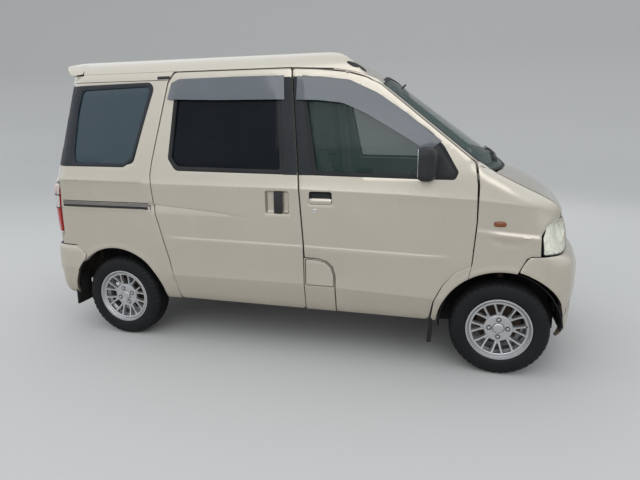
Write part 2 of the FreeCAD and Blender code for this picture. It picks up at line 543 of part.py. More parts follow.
front_door_r = cut(front_door_r, slot_for(FRONT_WINDOW, PANE_DEPTH))
front_door_full = cut(front_door_full, slot_for(FRONT_WINDOW, PANE_DEPTH))
front_door_full = max(front_door_full.Solids, key=lambda s: s.Volume)
sliding_door_r = cut(sliding_door_r, slot_for(SLIDING_WINDOW, PANE_DEPTH))
quarter = cut(quarter, slot_for(QUARTER_WINDOW, 6))
front_door_r = max(front_door_r.Solids, key=lambda s: s.Volume)
sliding_door_r = max(sliding_door_r.Solids, key=lambda s: s.Volume)
quarter = max(quarter.Solids, key=lambda s: s.Volume)

# ---------------------------------------------------------------- mirrors
mirror_arm = box(862, 892, -735, -690, 1130, 1175)
mirror_shell = prism_z([(797, -728, 12), (870, -722, 12), (899, -762, 30), (884, -850, 35), (840, -873, 20), (800, -868, 10)], 1104, 1285)
mirror_r = fuse([mirror_arm.cut(front_door_r), mirror_shell.cut(front_door_r)])
mirror_r = cut(mirror_r, box(780, 803, -860, -738, 1118, 1272), front_door_r)
mirror_r = max(mirror_r.Solids, key=lambda s: s.Volume)

# ---------------------------------------------------------------- floor, seats, dashboard
deck_step = -660.0             # where the floor steps up to the load floor
main_floor = box(deck_step, 1088, -555, 555, FLOOR_Z, FLOOR_Z + FLOOR_T)
step = box(deck_step - FLOOR_T, deck_step, -555, 555, FLOOR_Z, DECK_Z + FLOOR_T)
load_floor = box(-1585, deck_step, -555, 555, DECK_Z, DECK_Z + FLOOR_T)
side_floor_r = fuse([box(-1545, REAR_AXLE_X - 330, -655, -550, DECK_Z, DECK_Z + FLOOR_T), box(REAR_AXLE_X + 330, deck_step, -655, -550, DECK_Z, DECK_Z + FLOOR_T)])
hump = box(20, 700, -540, 540, FLOOR_Z, 600)
hump_space = box(40, 680, -520, 520, FLOOR_Z - 50, 582)
house_r = fuse([box(REAR_AXLE_X - 350, REAR_AXLE_X + 350, -655, -478, 616, 636), box(REAR_AXLE_X - 350, REAR_AXLE_X + 350, -496, -478, DECK_Z, 636)])
house_r = fuse([house_r, box(REAR_AXLE_X - 350, REAR_AXLE_X - 330, -655, -478, DECK_Z, 636), box(REAR_AXLE_X + 330, REAR_AXLE_X + 350, -655, -478, DECK_Z, 636)])
floor = cut(fuse([main_floor, step, load_floor, side_floor_r, left(side_floor_r)]), hump_space,
            box(REAR_AXLE_X - 330, REAR_AXLE_X + 330, -800, -490, 0, 600), box(REAR_AXLE_X - 330, REAR_AXLE_X + 330, 490, 800, 0, 600))
rear_panel = box(-1608, -1580, -570, 570, 420, 634)
floor_pan = fuse([floor, cut(hump, hump_space), house_r, left(house_r), rear_panel])
floor_pan = cut(floor_pan, front_space, left(front_space), rear_space, left(rear_space))

SEAT_Y = 330.0
seat_parts = []
for sy in (-1, 1):
    yc = sy * SEAT_Y
    base = box(150, 600, yc - 190, yc + 190, 601, 650)
    cushion = prism_y([(110, 650, 20), (640, 650, 30), (640, 760, 45), (560, 772, 20), (110, 742, 30)], yc - 245, yc + 245)
    back = prism_y([(118, 742, 20), (-70, 1290, 40), (-165, 1270, 50), (20, 690, 30), (110, 690, 10)], yc - 235, yc + 235)
    head = prism_y([(-90, 1330, 30), (-128, 1480, 40), (-215, 1460, 40), (-182, 1320, 30)], yc - 130, yc + 130)
    stems = fuse([cyl((-118, yc - 60, 1250), (-140, yc - 60, 1380), 7), cyl((-118, yc + 60, 1250), (-140, yc + 60, 1380), 7)])
    seat_parts.append(fuse([base, cushion, back, head, stems]))
front_seats = Part.Compound(seat_parts)
rear_cushion = prism_y([(-700, 584, 15), (-210, 584, 30), (-205, 700, 45), (-260, 712, 20), (-700, 690, 20)], -560, 560)
rear_back = prism_y([(-690, 640, 20), (-860, 1230, 40), (-950, 1210, 40), (-790, 640, 20)], -560, 560)
rear_legs = fuse([box(-630, -590, -480, 480, 400, 590), box(-330, -290, -480, 480, 400, 590)])
heads = [prism_y([(-868, 1262, 20), (-896, 1400, 30), (-965, 1386, 30), (-940, 1250, 20)], yc - 120, yc + 120) for yc in (-300, 300)]
stems = [cyl((-895, yc + d, 1190), (-915, yc + d, 1310), 7) for yc in (-300, 300) for d in (-60, 60)]
rear_seat = fuse([rear_cushion, rear_back, rear_legs] + heads + stems)

dashboard = prism_y([(1088, 720, 0), (1088, 1086, 0), (1040, 1104, 20), (900, 1082, 40), (800, 1010, 50), (790, 930, 30), (880, 850, 30), (900, 720, 20)], -590, 590)
dashboard = cut(dashboard, prism_y(offset_outline(FRONT_DOOR, 12), -800, -585), left(prism_y(offset_outline(FRONT_DOOR, 12), -800, -585)))
STEER_C = (650.0, -330.0, 1010.0)
STEER_TILT = 38.0
sd = V(-math.cos(math.radians(STEER_TILT)), 0, math.sin(math.radians(STEER_TILT)))
sc = V(*STEER_C)


def along(d):
    p = sc - sd * d
    return (p.x, p.y, p.z)


column = cyl(along(60), along(330), 34)
column_shaft = cyl(along(24), along(60), 12)
dashboard = fuse([dashboard, column, column_shaft])
rim_ring = Part.makeTorus(182, 14, sc, sd)
hub = cyl(along(22), along(-14), 62)
bars = []
for a in (0, 125, 235):
    arm = Part.makeBox(36, 126, 16, V(-18, 56, -8))
    arm.rotate(V(0, 0, 0), V(0, 0, 1), a + 90)
    pl = FreeCAD.Placement(sc, FreeCAD.Rotation(V(0, 0, 1), sd))
    arm = arm.transformGeometry(pl.toMatrix())
    bars.append(arm)
steering_wheel = fuse([rim_ring, hub] + bars)
steering_wheel = steering_wheel.cut(cyl(along(70), along(18), 12.05))

# ---------------------------------------------------------------- underbody
rail_front = [(1600, RAIL_Z), (-650, RAIL_Z), (-620, 378), (1600, 378)]
rail_rise = [(-650, RAIL_Z), (-800, 430), (-770, 500), (-620, 378)]
rail_rear = [(-800, 430), (-1636, 430), (-1636, 500), (-770, 500)]
members = []
for sy in (-1, 1):
    for k, part in enumerate((rail_front, rail_rise, rail_rear)):
        rail = [prism_y(part, sy * 325 - 25, sy * 325 + 25)]
        if k == 0:
            rail.append(box(1560, 1600, sy * 325 - 25, sy * 325 + 25, RAIL_Z, 500))
        # towing eyes on the left rail: flat tabs with an upright hole
        for x, z in TOW_EYES:
            if sy > 0 and ((x > 0 and k == 0) or (x < 0 and k == 2)):
                tab = box(x - 32, x + 32, 349, 412, z - 6, z + 6)
                rail.append(tab.cut(cyl((x, 380, z - 20), (x, 380, z + 20), TOW_EYE_R)))
        members.append(fuse(rail))
# crossmembers between the rails: along, low, high
for x, z0, z1 in ((-1560, 440, 490), (-880, 440, 490), (-40, 325, 370), (760, 318, 370), (1400, 318, 370)):
    members.append(box(x, x + 50, -300, 300, z0, z1))
members.append(box(1600, 1611, -420, 420, 430, 500))
chassis_rails = Part.Compound(members)
radiator = box(1510, 1548, -290, 290, 296, 600)
engine = prism_y([(70, 222, 30), (640, 222, 30), (640, 555, 60), (300, 574, 60), (70, 520, 40)], -290, 290)
gearbox = prism_x([(-110, 222), (110, 222), (125, 300), (60, 318), (-60, 318), (-125, 300)], -330, 75)
engine_node = fuse([engine, gearbox])
fuel_tank = prism_y([(-690, 200, 25), (-350, 200, 25), (-350, 300, 20), (-690, 300, 20)], 70, 560)
pipe_r = 19.0
muffler = prism_x([(-250, 200, 25), (-110, 200, 25), (-110, 262, 25), (-250, 262, 25)], -760, -340)
exhaust = fuse([rod([(70, -180, 238), (-330, -180, 238)], pipe_r), muffler,
                rod([(-750, -180, 232), (-940, -180, 232), (-1010, -230, 204), (-1300, -230, 204), (-1420, -230, 240), (-1660, -230, 240)], pipe_r)])
exhaust = cut(exhaust, cyl((-1700, -230, 240), (-1600, -230, 240), 16))

axle_y = WHEEL_Y
axle_tube = cyl((REAR_AXLE_X, -520, WHEEL_Z), (REAR_AXLE_X, 520, WHEEL_Z), 34)
diff = Part.makeSphere(100, V(REAR_AXLE_X, 30, WHEEL_Z)).common(box(-1300, -1000, -80, 140, 150, 400))
rear_parts = [axle_tube, diff]
for sy in (-1, 1):
    drum = cyl((REAR_AXLE_X, sy * 530, WHEEL_Z), (REAR_AXLE_X, sy * 590, WHEEL_Z), 112)
    spigot = cyl((REAR_AXLE_X, sy * 588, WHEEL_Z), (REAR_AXLE_X, sy * 618, WHEEL_Z), HUB_SPIGOT_R)
    stub = cyl((REAR_AXLE_X, sy * 500, WHEEL_Z), (REAR_AXLE_X, sy * 540, WHEEL_Z), 50)
    lo, hi = sorted((sy * 350, sy * 440))
    link = rod([(REAR_AXLE_X + 10, sy * 400, 246), (REAR_AXLE_X + 420, sy * 400, 262)], 17)
    seat = cyl((REAR_AXLE_X - 20, sy * 405, 275), (REAR_AXLE_X - 20, sy * 405, 290), 52)
    coil = cyl((REAR_AXLE_X - 20, sy * 405, 290), (REAR_AXLE_X - 20, sy * 405, 462), 44)
    top = box(REAR_AXLE_X - 80, REAR_AXLE_X + 40, lo, hi, 460, 472)
    mount = box(REAR_AXLE_X + 385, REAR_AXLE_X + 455, lo, hi, 246, 400)
    rear_parts += [drum, spigot, stub, link, seat, coil, top, mount]
rear_axle = fuse(rear_parts)
propshaft = cyl((-334, 0, 268), (REAR_AXLE_X + 101, 25, 270), 24)

# front suspension: crossmember, arms, struts
KING_Y = 560.0
cross = box(FRONT_AXLE_X - 60, FRONT_AXLE_X + 60, -300, 300, 215, 290)
fs = [cross]
for sy in (-1, 1):
    arm = prism_z([(FRONT_AXLE_X - 110, sy * 290), (FRONT_AXLE_X + 60, sy * 290), (FRONT_AXLE_X + 16, sy * 540), (FRONT_AXLE_X - 16, sy * 540)], 166, 186)
    link = box(FRONT_AXLE_X - 110, FRONT_AXLE_X + 60, sy * 290 - 20, sy * 290 + 20, 166, RAIL_Z)
    fs += [arm, link]
front_suspension = fuse(fs)
towers = []
for sy in (-1, 1):
    lo, hi = sorted((sy * 380, sy * 620))
    house = fuse([box(FRONT_AXLE_X - 160, FRONT_AXLE_X + 200, lo, hi, 690, 712)])
    towers.append(house)
front_frame = fuse([front_frame] + towers)
liner = fuse([cyl((FRONT_AXLE_X, -662, WHEEL_Z), (FRONT_AXLE_X, -385, WHEEL_Z), 332).cut(cyl((FRONT_AXLE_X, -700, WHEEL_Z), (FRONT_AXLE_X, -300, WHEEL_Z), 326))])
liner = liner.common(box(900, 1700, -800, 0, 300, 700))
liner = liner.cut(cyl((FRONT_AXLE_X, -498, 500), (FRONT_AXLE_X, -478, 700), 72))
front_liners = both(liner)
liner_space = cyl((FRONT_AXLE_X, -700, WHEEL_Z), (FRONT_AXLE_X, -380, WHEEL_Z), 334)
front_frame = cut(front_frame, liner_space, left(liner_space))
# the strip of the fender between the door and the wheel arch
strip = shell_r.common(box(876, 1140, -800, -672, 296, 660))
strip = cut(strip, front_door_hole, front_space, box(862, 899, -706, -555, 160, 406), liner_space)
strip = max(strip.Solids, key=lambda s: s.Volume)
fender = cut(fender, upper_rail_r, rail_post_r, front_frame, box(1080, 1122, -664, -500, 300, 1060))
fender = cut(fuse([fender, strip]), front_frame)
fender = max(fender.Solids, key=lambda s: s.Volume)

knuckles = []
for sy in (-1, 1):
    kd = V(0, -sy * (KING_LOW[0] - KING_TOP[0]), KING_TOP[1] - KING_LOW[1])
    kd.normalize()

    body_k = box(FRONT_AXLE_X - 35, FRONT_AXLE_X + 35, min(sy * 510, sy * 566), max(sy * 510, sy * 566), 194, 392)
    disc = cyl((FRONT_AXLE_X, sy * 566, WHEEL_Z), (FRONT_AXLE_X, sy * 590, WHEEL_Z), 118)
    spig = cyl((FRONT_AXLE_X, sy * 588, WHEEL_Z), (FRONT_AXLE_X, sy * 618, WHEEL_Z), HUB_SPIGOT_R)
    # strut: radius, height above the lower ball joint along the steering axis
    prof = [(0, 160), (22, 160), (22, 369), (58, 369), (58, 377), (46, 377), (46, 492), (11, 492), (11, 502), (0, 502)]
    strut = Part.Face(Part.makePolygon([V(r, 0, h) for r, h in prof + prof[:1]])).revolve(V(0, 0, 0), V(0, 0, 1), 360)
    strut.Placement = FreeCAD.Placement(V(FRONT_AXLE_X, sy * KING_LOW[0], KING_LOW[1]), FreeCAD.Rotation(V(0, 0, 1), kd))
    caliper = box(FRONT_AXLE_X + 60, FRONT_AXLE_X + 125, min(sy * 545, sy * 588), max(sy * 545, sy * 588), 230, 330)
    bridge = box(FRONT_AXLE_X + 30, FRONT_AXLE_X + 70, min(sy * 545, sy * 562), max(sy * 545, sy * 562), 250, 310)
    steer_arm = box(FRONT_AXLE_X - 120, FRONT_AXLE_X - 30, min(sy * 512, sy * 534), max(sy * 512, sy * 534), 225, 245)
    k = body_k.fuse(strut).fuse(disc).fuse(spig).fuse(caliper).fuse(bridge).fuse(steer_arm)
    knuckles.append(k)

# ---------------------------------------------------------------- wheels
def revolve_y(points, x, z, y0, sy):
    """points: distance outwards from the wheel plane, radius"""
    pts = [V(x, y0 + sy * a, z + r) for a, r in points]
    face = Part.Face(Part.makePolygon(pts + [pts[0]]))
    return face.revolve(V(x, y0, z), V(0, 1, 0), 360)


HALF_T = TYRE_W / 2
TYRE_PROFILE = [(-61.5, 168.3), (-64.9, 178.5), (-73.5, 178.8), (-HALF_T, 205), (-HALF_T, 228), (-68, 256), (-56, TYRE_R - 3), (-30, TYRE_R), (30, TYRE_R),
                (56, TYRE_R - 3), (68, 256), (HALF_T, 228), (HALF_T, 205), (73.5, 178.8), (64.9, 178.5), (61.5, 168.3)]
HALF_R = RIM_W / 2
RIM_PROFILE = [(-HALF_R, RIM_R), (-HALF_R + 7, RIM_R), (-HALF_R + 10.5, 168), (-42, 166), (-30, 150), (14, 150), (26, 166), (HALF_R - 10.5, 168),
               (HALF_R - 7, RIM_R), (HALF_R, RIM_R), (HALF_R, RIM_R - 5), (HALF_R - 14, 158), (34, 158), (20, 143), (-34, 143), (-48, 159), (-HALF_R + 9, 161), (-HALF_R, 170)]
TYRE_INNER = [(-62, 168.2), (62, 168.2)]
tyres, rims = {}, {}
for wname, wx, sy, turn in (("front_right", FRONT_AXLE_X, -1, 0.0), ("front_left", FRONT_AXLE_X, 1, 22.5), ("rear_right", REAR_AXLE_X, -1, 20.0), ("rear_left", REAR_AXLE_X, 1, 8.0)):
    y0 = sy * WHEEL_Y
    tyre = revolve_y(TYRE_PROFILE, wx, WHEEL_Z, y0, sy)
    barrel = revolve_y(RIM_PROFILE, wx, WHEEL_Z, y0, sy)
    disc = revolve_y([(-24, HUB_BORE_R), (-24, 75), (14, 78), (34, 150.0), (46, 156), (56, 160), (56, 148), (42, 76), (42, 0), (16, 0), (16, HUB_BORE_R)], wx, WHEEL_Z, y0, sy)
    slots = []
    for i in range(8):
        a = math.radians(45 * i + turn)
        for da, r0, w in ((0.0, 104, 17), (22.5, 92, 15)):
            b = a + math.radians(da)
            r1 = 140
            p = V(wx + r0 * math.cos(b), y0, WHEEL_Z + r0 * math.sin(b))
            q = V(wx + r1 * math.cos(b), y0, WHEEL_Z + r1 * math.sin(b))
            s = Part.makeBox(r1 - r0, 160, w, V(r0, -80, -w / 2))
            s.rotate(V(0, 0, 0), V(0, 1, 0), -math.degrees(b))
            s.translate(V(wx, y0, WHEEL_Z))
            slots.append(s)
    disc = disc.cut(Part.Compound(slots))
    rim = fuse([barrel, disc])
    tyres[wname] = tyre
    rims[wname] = rim

# mud flaps
flap_front_r = prism_y([(866, 165), (890, 165), (893, 400), (880, 400)], -700, -560)
flap_rear_r = prism_y([(-1515, 190), (-1503, 190), (-1495, 400), (-1507, 400)], -700, -560)
flap_front_r = cut(flap_front_r, side_frame_r, front_door_r)
flap_rear_r = cut(flap_rear_r, rear_bumper)
flap_rear_r = max(flap_rear_r.Solids, key=lambda s: s.Volume)
mud_flaps = Part.Compound([flap_front_r, left(flap_front_r), flap_rear_r, left(flap_rear_r)])

# ---------------------------------------------------------------- write
floor_pan = cut(floor_pan, chassis_rails)
save("floor_pan", floor_pan)
save("chassis_rails", chassis_rails)
save("roof", roof)
save("quarter_panels", both(quarter))
save("front_frame", front_frame)
save("side_frames", side_frames)
save("fenders", both(fender))
save("bonnet", bonnet)
save("nose_panel", nose_panel)
save("front_bumper", front_bumper)
save("rear_bumper", rear_bumper)
save("headlamps", both(headlamp))
save("tail_lamps", both(tail_lamp))
save("tailgate", tailgate)
save("tailgate_window", tailgate_glass)
save("windscreen", windscreen_glass)
save("side_windows", Part.Compound([sliding_pane, left(sliding_pane), quarter_pane, left(quarter_pane)]))
save("sliding_doors", both(sliding_door_r))
save("front_door_right", front_door_r)
save("front_door_left", left(front_door_full))
save("front_window_right", front_pane)
save("front_window_left", left(front_pane))
save("mirror_right", mirror_r)
save("mirror_left", left(mirror_r))
save("fuel_flap", flap_r)
save("dashboard", dashboard)
save("steering_wheel", steering_wheel)
save("front_seats", front_seats)
save("rear_seat", rear_seat)
save("engine", engine_node)
save("propshaft", propshaft)
save("fuel_tank", fuel_tank)
save("exhaust", exhaust)
save("rear_axle", rear_axle)
save("front_suspension", front_suspension)
save("front_knuckle_right", knuckles[0])
save("front_knuckle_left", knuckles[1])
for wname in ("front_right", "front_left", "rear_right", "rear_left"):
    save("tyre_" + wname, tyres[wname])
    save("rim_" + wname, rims[wname])
save("mud_flaps", mud_flaps)
save("front_liners", front_liners)
save("radiator", radiator)
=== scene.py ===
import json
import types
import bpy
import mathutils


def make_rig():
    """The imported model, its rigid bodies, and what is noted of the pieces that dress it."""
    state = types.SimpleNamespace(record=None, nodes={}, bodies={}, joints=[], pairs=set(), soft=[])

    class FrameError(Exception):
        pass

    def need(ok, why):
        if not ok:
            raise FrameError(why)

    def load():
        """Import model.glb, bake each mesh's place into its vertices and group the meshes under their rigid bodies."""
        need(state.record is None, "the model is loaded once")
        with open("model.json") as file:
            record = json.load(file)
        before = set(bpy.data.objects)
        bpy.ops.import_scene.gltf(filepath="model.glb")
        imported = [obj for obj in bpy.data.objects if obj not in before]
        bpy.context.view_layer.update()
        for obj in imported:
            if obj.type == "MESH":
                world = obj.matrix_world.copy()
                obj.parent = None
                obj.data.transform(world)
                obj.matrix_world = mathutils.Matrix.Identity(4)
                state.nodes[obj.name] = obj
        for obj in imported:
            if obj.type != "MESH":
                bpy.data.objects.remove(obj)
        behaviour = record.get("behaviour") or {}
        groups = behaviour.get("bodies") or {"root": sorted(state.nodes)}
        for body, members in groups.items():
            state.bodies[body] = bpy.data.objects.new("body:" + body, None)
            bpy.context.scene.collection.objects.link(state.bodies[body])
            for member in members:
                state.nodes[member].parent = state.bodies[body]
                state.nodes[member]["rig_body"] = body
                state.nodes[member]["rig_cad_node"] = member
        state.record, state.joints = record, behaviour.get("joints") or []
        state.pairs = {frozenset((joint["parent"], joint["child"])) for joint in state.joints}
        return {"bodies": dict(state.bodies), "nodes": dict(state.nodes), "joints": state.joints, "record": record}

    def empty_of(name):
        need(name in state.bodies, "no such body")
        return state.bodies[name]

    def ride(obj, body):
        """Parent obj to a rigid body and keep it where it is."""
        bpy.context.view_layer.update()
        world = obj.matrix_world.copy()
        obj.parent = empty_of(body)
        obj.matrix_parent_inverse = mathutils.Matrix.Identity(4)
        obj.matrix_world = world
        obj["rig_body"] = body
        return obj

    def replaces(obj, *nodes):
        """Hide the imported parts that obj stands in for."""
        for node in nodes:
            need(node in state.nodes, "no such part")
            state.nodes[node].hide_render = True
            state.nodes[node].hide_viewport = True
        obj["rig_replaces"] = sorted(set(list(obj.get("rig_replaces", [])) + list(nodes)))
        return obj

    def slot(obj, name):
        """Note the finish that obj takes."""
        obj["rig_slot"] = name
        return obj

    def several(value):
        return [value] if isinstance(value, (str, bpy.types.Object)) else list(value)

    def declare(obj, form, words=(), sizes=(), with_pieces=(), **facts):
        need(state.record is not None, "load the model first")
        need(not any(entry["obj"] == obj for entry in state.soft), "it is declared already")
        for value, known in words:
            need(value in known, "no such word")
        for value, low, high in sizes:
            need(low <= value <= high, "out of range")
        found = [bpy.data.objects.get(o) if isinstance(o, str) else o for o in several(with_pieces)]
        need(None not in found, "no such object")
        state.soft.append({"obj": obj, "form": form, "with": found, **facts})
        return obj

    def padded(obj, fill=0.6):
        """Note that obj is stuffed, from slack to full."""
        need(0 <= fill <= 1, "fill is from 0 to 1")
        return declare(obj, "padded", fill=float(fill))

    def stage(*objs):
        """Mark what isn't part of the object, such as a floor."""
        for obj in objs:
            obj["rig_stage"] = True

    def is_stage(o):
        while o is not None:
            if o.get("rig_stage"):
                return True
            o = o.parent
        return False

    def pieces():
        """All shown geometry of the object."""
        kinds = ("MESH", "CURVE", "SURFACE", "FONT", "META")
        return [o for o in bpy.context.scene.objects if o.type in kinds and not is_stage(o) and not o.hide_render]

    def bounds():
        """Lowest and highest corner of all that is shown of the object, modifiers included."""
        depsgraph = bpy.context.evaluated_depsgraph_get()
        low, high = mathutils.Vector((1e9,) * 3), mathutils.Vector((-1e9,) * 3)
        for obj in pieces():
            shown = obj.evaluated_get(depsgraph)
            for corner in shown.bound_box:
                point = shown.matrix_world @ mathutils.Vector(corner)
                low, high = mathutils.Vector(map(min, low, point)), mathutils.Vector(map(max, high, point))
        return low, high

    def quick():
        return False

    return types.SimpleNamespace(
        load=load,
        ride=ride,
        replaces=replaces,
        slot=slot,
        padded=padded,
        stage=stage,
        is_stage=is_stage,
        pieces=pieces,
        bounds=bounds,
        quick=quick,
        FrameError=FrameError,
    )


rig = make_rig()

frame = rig.load()

import json
import math
import random

import bpy
import bmesh
import numpy as np
from mathutils import Matrix, Vector
from mathutils.geometry import delaunay_2d_cdt

cad_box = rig.bounds()
random.seed(7)
rng = np.random.default_rng(7)

# ------------------------------------------------------------------ curves
def resample(points, step=0.004, closed=False):
    p = np.array(points, float)
    if closed:
        p = np.vstack([p, p[:1]])
    seg = np.linalg.norm(np.diff(p, axis=0), axis=1)
    s = np.concatenate([[0], np.cumsum(seg)])
    n = max(2, int(round(s[-1] / step)) + 1)
    t = np.linspace(0, s[-1], n)
    out = np.stack([np.interp(t, s, p[:, k]) for k in range(p.shape[1])], 1)
    return out[:-1] if closed else out


def smooth_open(points, sigma, step=0.004):
    """a polyline with its corners rounded, ends kept"""
    q = resample(points, step)
    r = int(3 * sigma / step)
    k = np.exp(-0.5 * (np.arange(-r, r + 1) * step / sigma) ** 2)
    k /= k.sum()
    pre = 2 * q[0] - q[r:0:-1]
    post = 2 * q[-1] - q[-2:-r - 2:-1]
    e = np.vstack([pre, q, post])
    return np.stack([np.convolve(e[:, i], k, "valid") for i in range(q.shape[1])], 1)


def sstep(a, b, x):
    t = np.clip((np.asarray(x, float) - a) / (b - a), 0, 1)
    return t * t * (3 - 2 * t)


def rounded(points, step=0.012):
    """closed outline with arcs at the corners that have a radius, as dense points"""
    n = len(points)
    P = [np.array(p[:2], float) for p in points]
    out = []
    for i in range(n):
        r = points[i][2] if len(points[i]) > 2 else 0
        a, b = P[i - 1] - P[i], P[(i + 1) % n] - P[i]
        la, lb = np.linalg.norm(a), np.linalg.norm(b)
        a, b = a / la, b / lb
        ang = math.pi - math.acos(np.clip(a @ b, -1, 1))
        if r <= 0 or ang < 0.02:
            out.append(P[i])
            continue
        cut = min(r * math.tan(ang / 2), 0.46 * la, 0.46 * lb)
        r = cut / math.tan(ang / 2)
        bis = (a + b) / np.linalg.norm(a + b)
        c = P[i] + bis * (r / math.cos(ang / 2))
        s, e = P[i] + a * cut, P[i] + b * cut
        va, vb = s - c, e - c
        a0, a1 = math.atan2(va[1], va[0]), math.atan2(vb[1], vb[0])
        d = (a1 - a0 + math.pi) % (2 * math.pi) - math.pi
        m = max(2, int(abs(d) / 0.22) + 1)
        for k in range(m + 1):
            t = a0 + d * k / m
            out.append(c + r * np.array([math.cos(t), math.sin(t)]))
    q = []
    for i in range(len(out)):
        p0, p1 = out[i], out[(i + 1) % len(out)]
        L = np.linalg.norm(p1 - p0)
        if L < 1e-6:
            continue
        m = max(1, int(round(L / step)))
        for k in range(m):
            q.append(p0 + (p1 - p0) * k / m)
    return np.array(q)


def area2(p):
    x, y = p[:, 0], p[:, 1]
    return 0.5 * np.sum(x * np.roll(y, -1) - np.roll(x, -1) * y)


def inset(p, d):
    """dense closed outline moved to its inside by d"""
    s = 1 if area2(p) > 0 else -1
    t0 = p - np.roll(p, 1, 0)
    t1 = np.roll(p, -1, 0) - p
    t0 /= np.maximum(np.linalg.norm(t0, axis=1, keepdims=True), 1e-9)
    t1 /= np.maximum(np.linalg.norm(t1, axis=1, keepdims=True), 1e-9)
    n0 = np.stack([-t0[:, 1], t0[:, 0]], 1) * s
    n1 = np.stack([-t1[:, 1], t1[:, 0]], 1) * s
    m = n0 + n1
    k = np.maximum(1 + np.sum(n0 * n1, 1), 0.35)[:, None]
    return p + m / k * d


def inside(pts, poly):
    x, y = pts[:, 0][:, None], pts[:, 1][:, None]
    x0, y0 = poly[:, 0][None], poly[:, 1][None]
    x1, y1 = np.roll(poly[:, 0], -1)[None], np.roll(poly[:, 1], -1)[None]
    c = ((y0 > y) != (y1 > y)) & (x < (x1 - x0) * (y - y0) / (y1 - y0 + 1e-15) + x0)
    return c.sum(1) % 2 == 1


def dist_to(pts, poly):
    d = np.full(len(pts), 1e9)
    a, b = poly, np.roll(poly, -1, 0)
    ab = b - a
    L = np.maximum((ab ** 2).sum(1), 1e-12)
    for i in range(0, len(pts), 400):
        q = pts[i:i + 400][:, None, :]
        t = np.clip(((q - a) * ab).sum(2) / L, 0, 1)
        d[i:i + 400] = np.sqrt((((q - a) - t[..., None] * ab) ** 2).sum(2)).min(1)
    return d


def fill(outer, holes, grid, offset=(0.0, 0.0), lines=(), cuts=()):
    """triangles between an outline and its holes, with a grid of points inside; lines: (points, offsets) with rows
    of points along a fold; cuts: lines that the triangles' edges follow"""
    lo, hi = outer.min(0), outer.max(0)
    gx = np.arange(lo[0] + grid * 0.5 + offset[0], hi[0], grid)
    gy = np.arange(lo[1] + grid * 0.5 + offset[1], hi[1], grid)
    G = np.stack(np.meshgrid(gx, gy), -1).reshape(-1, 2)
    keep = inside(G, outer)
    for h in holes:
        keep &= ~inside(G, h)
    G = G[keep]
    loops = [outer] + list(holes)
    for loop in loops:
        if len(G):
            G = G[dist_to(G, loop) > grid * 0.42]

    def free(q, gap):
        ok = inside(q, outer)
        for h in holes:
            ok &= ~inside(q, h)
        for l in loops:
            ok &= dist_to(q, l) > gap
        return ok

    edges = []
    k = 0
    for loop in loops:
        n = len(loop)
        edges += [(k + i, k + (i + 1) % n) for i in range(n)]
        k += n
    extra_p = []
    taken = np.zeros((0, 2))
    for kind, pts_, offs in [(0, c, (0.0,)) for c in cuts] + [(1, l, o) for l, o in lines]:
        q = resample(np.array(pts_, float), 0.012)
        t = np.gradient(q, axis=0)
        t /= np.maximum(np.linalg.norm(t, axis=1, keepdims=True), 1e-9)
        nrm = np.stack([-t[:, 1], t[:, 0]], 1)
        if len(G):
            band = grid * 0.34 + max(abs(o) for o in offs)
            G = G[dist_to(G, np.vstack([q, q[::-1]])) > band]
        mine = []
        for off in sorted(offs, key=abs):
            r = q + nrm * off
            ok = free(r, 0.0006 if kind == 0 else 0.005)
            if len(taken):
                near = np.array([np.min(((taken - a) ** 2).sum(1)) < 0.0045 ** 2 if o_ else False for a, o_ in zip(r, ok)])
                ok &= ~near
            idx = np.full(len(r), -1)
            for i in np.nonzero(ok)[0]:
                idx[i] = k
                extra_p.append(r[i])
                mine.append(r[i])
                k += 1
            if abs(off) < 1e-9:
                for i in range(len(r) - 1):
                    if idx[i] >= 0 and idx[i + 1] >= 0:
                        edges.append((idx[i], idx[i + 1]))
        if mine:
            taken = np.vstack([taken, np.array(mine)])
    pts = loops + ([np.array(extra_p)] if extra_p else []) + [G]
    allp = np.vstack(pts)
    r = delaunay_2d_cdt([Vector(p) for p in allp], edges, [], 0, 1e-7)
    v, f = np.array([tuple(p) for p in r[0]]), [tuple(t) for t in r[2]]
    F = np.array(f)
    c = v[F].mean(1)
    ok = inside(c, outer)
    for h in holes:
        ok &= ~inside(c, h)
    F = F[ok]
    # back to the given order of points
    back = {}
    for new, src in enumerate(r[3]):
        for s in src:
            back[s] = new
    order = np.full(len(v), -1)
    for s, new in back.items():
        if order[new] < 0:
            order[new] = s
    extra = [i for i in range(len(v)) if order[i] < 0]
    base = allp
    if extra:
        base = np.vstack([allp, v[extra]])
        for j, i in enumerate(extra):
            order[i] = len(allp) + j
    F = order[F]
    t = base[F]
    cr = (t[:, 1, 0] - t[:, 0, 0]) * (t[:, 2, 1] - t[:, 0, 1]) - (t[:, 1, 1] - t[:, 0, 1]) * (t[:, 2, 0] - t[:, 0, 0])
    F[cr < 0] = F[cr < 0][:, ::-1]
    return base, F[np.abs(cr) > 1e-12]


# ------------------------------------------------------------------ meshes
made = {}


def mesh_object(name, verts, faces, mats, face_mats=None, smooth=35, body="body"):
    me = bpy.data.meshes.new(name)
    me.from_pydata([tuple(v) for v in verts], [], [tuple(int(i) for i in f) for f in faces])
    for m in mats:
        me.materials.append(m)
    if face_mats is not None:
        me.polygons.foreach_set("material_index", np.array(face_mats, np.int32))
    me.validate()
    me.shade_smooth()
    me.set_sharp_from_angle(angle=math.radians(smooth))
    o = bpy.data.objects.new(name, me)
    bpy.context.scene.collection.objects.link(o)
    if body:
        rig.ride(o, body)
    made[name] = o
    return o


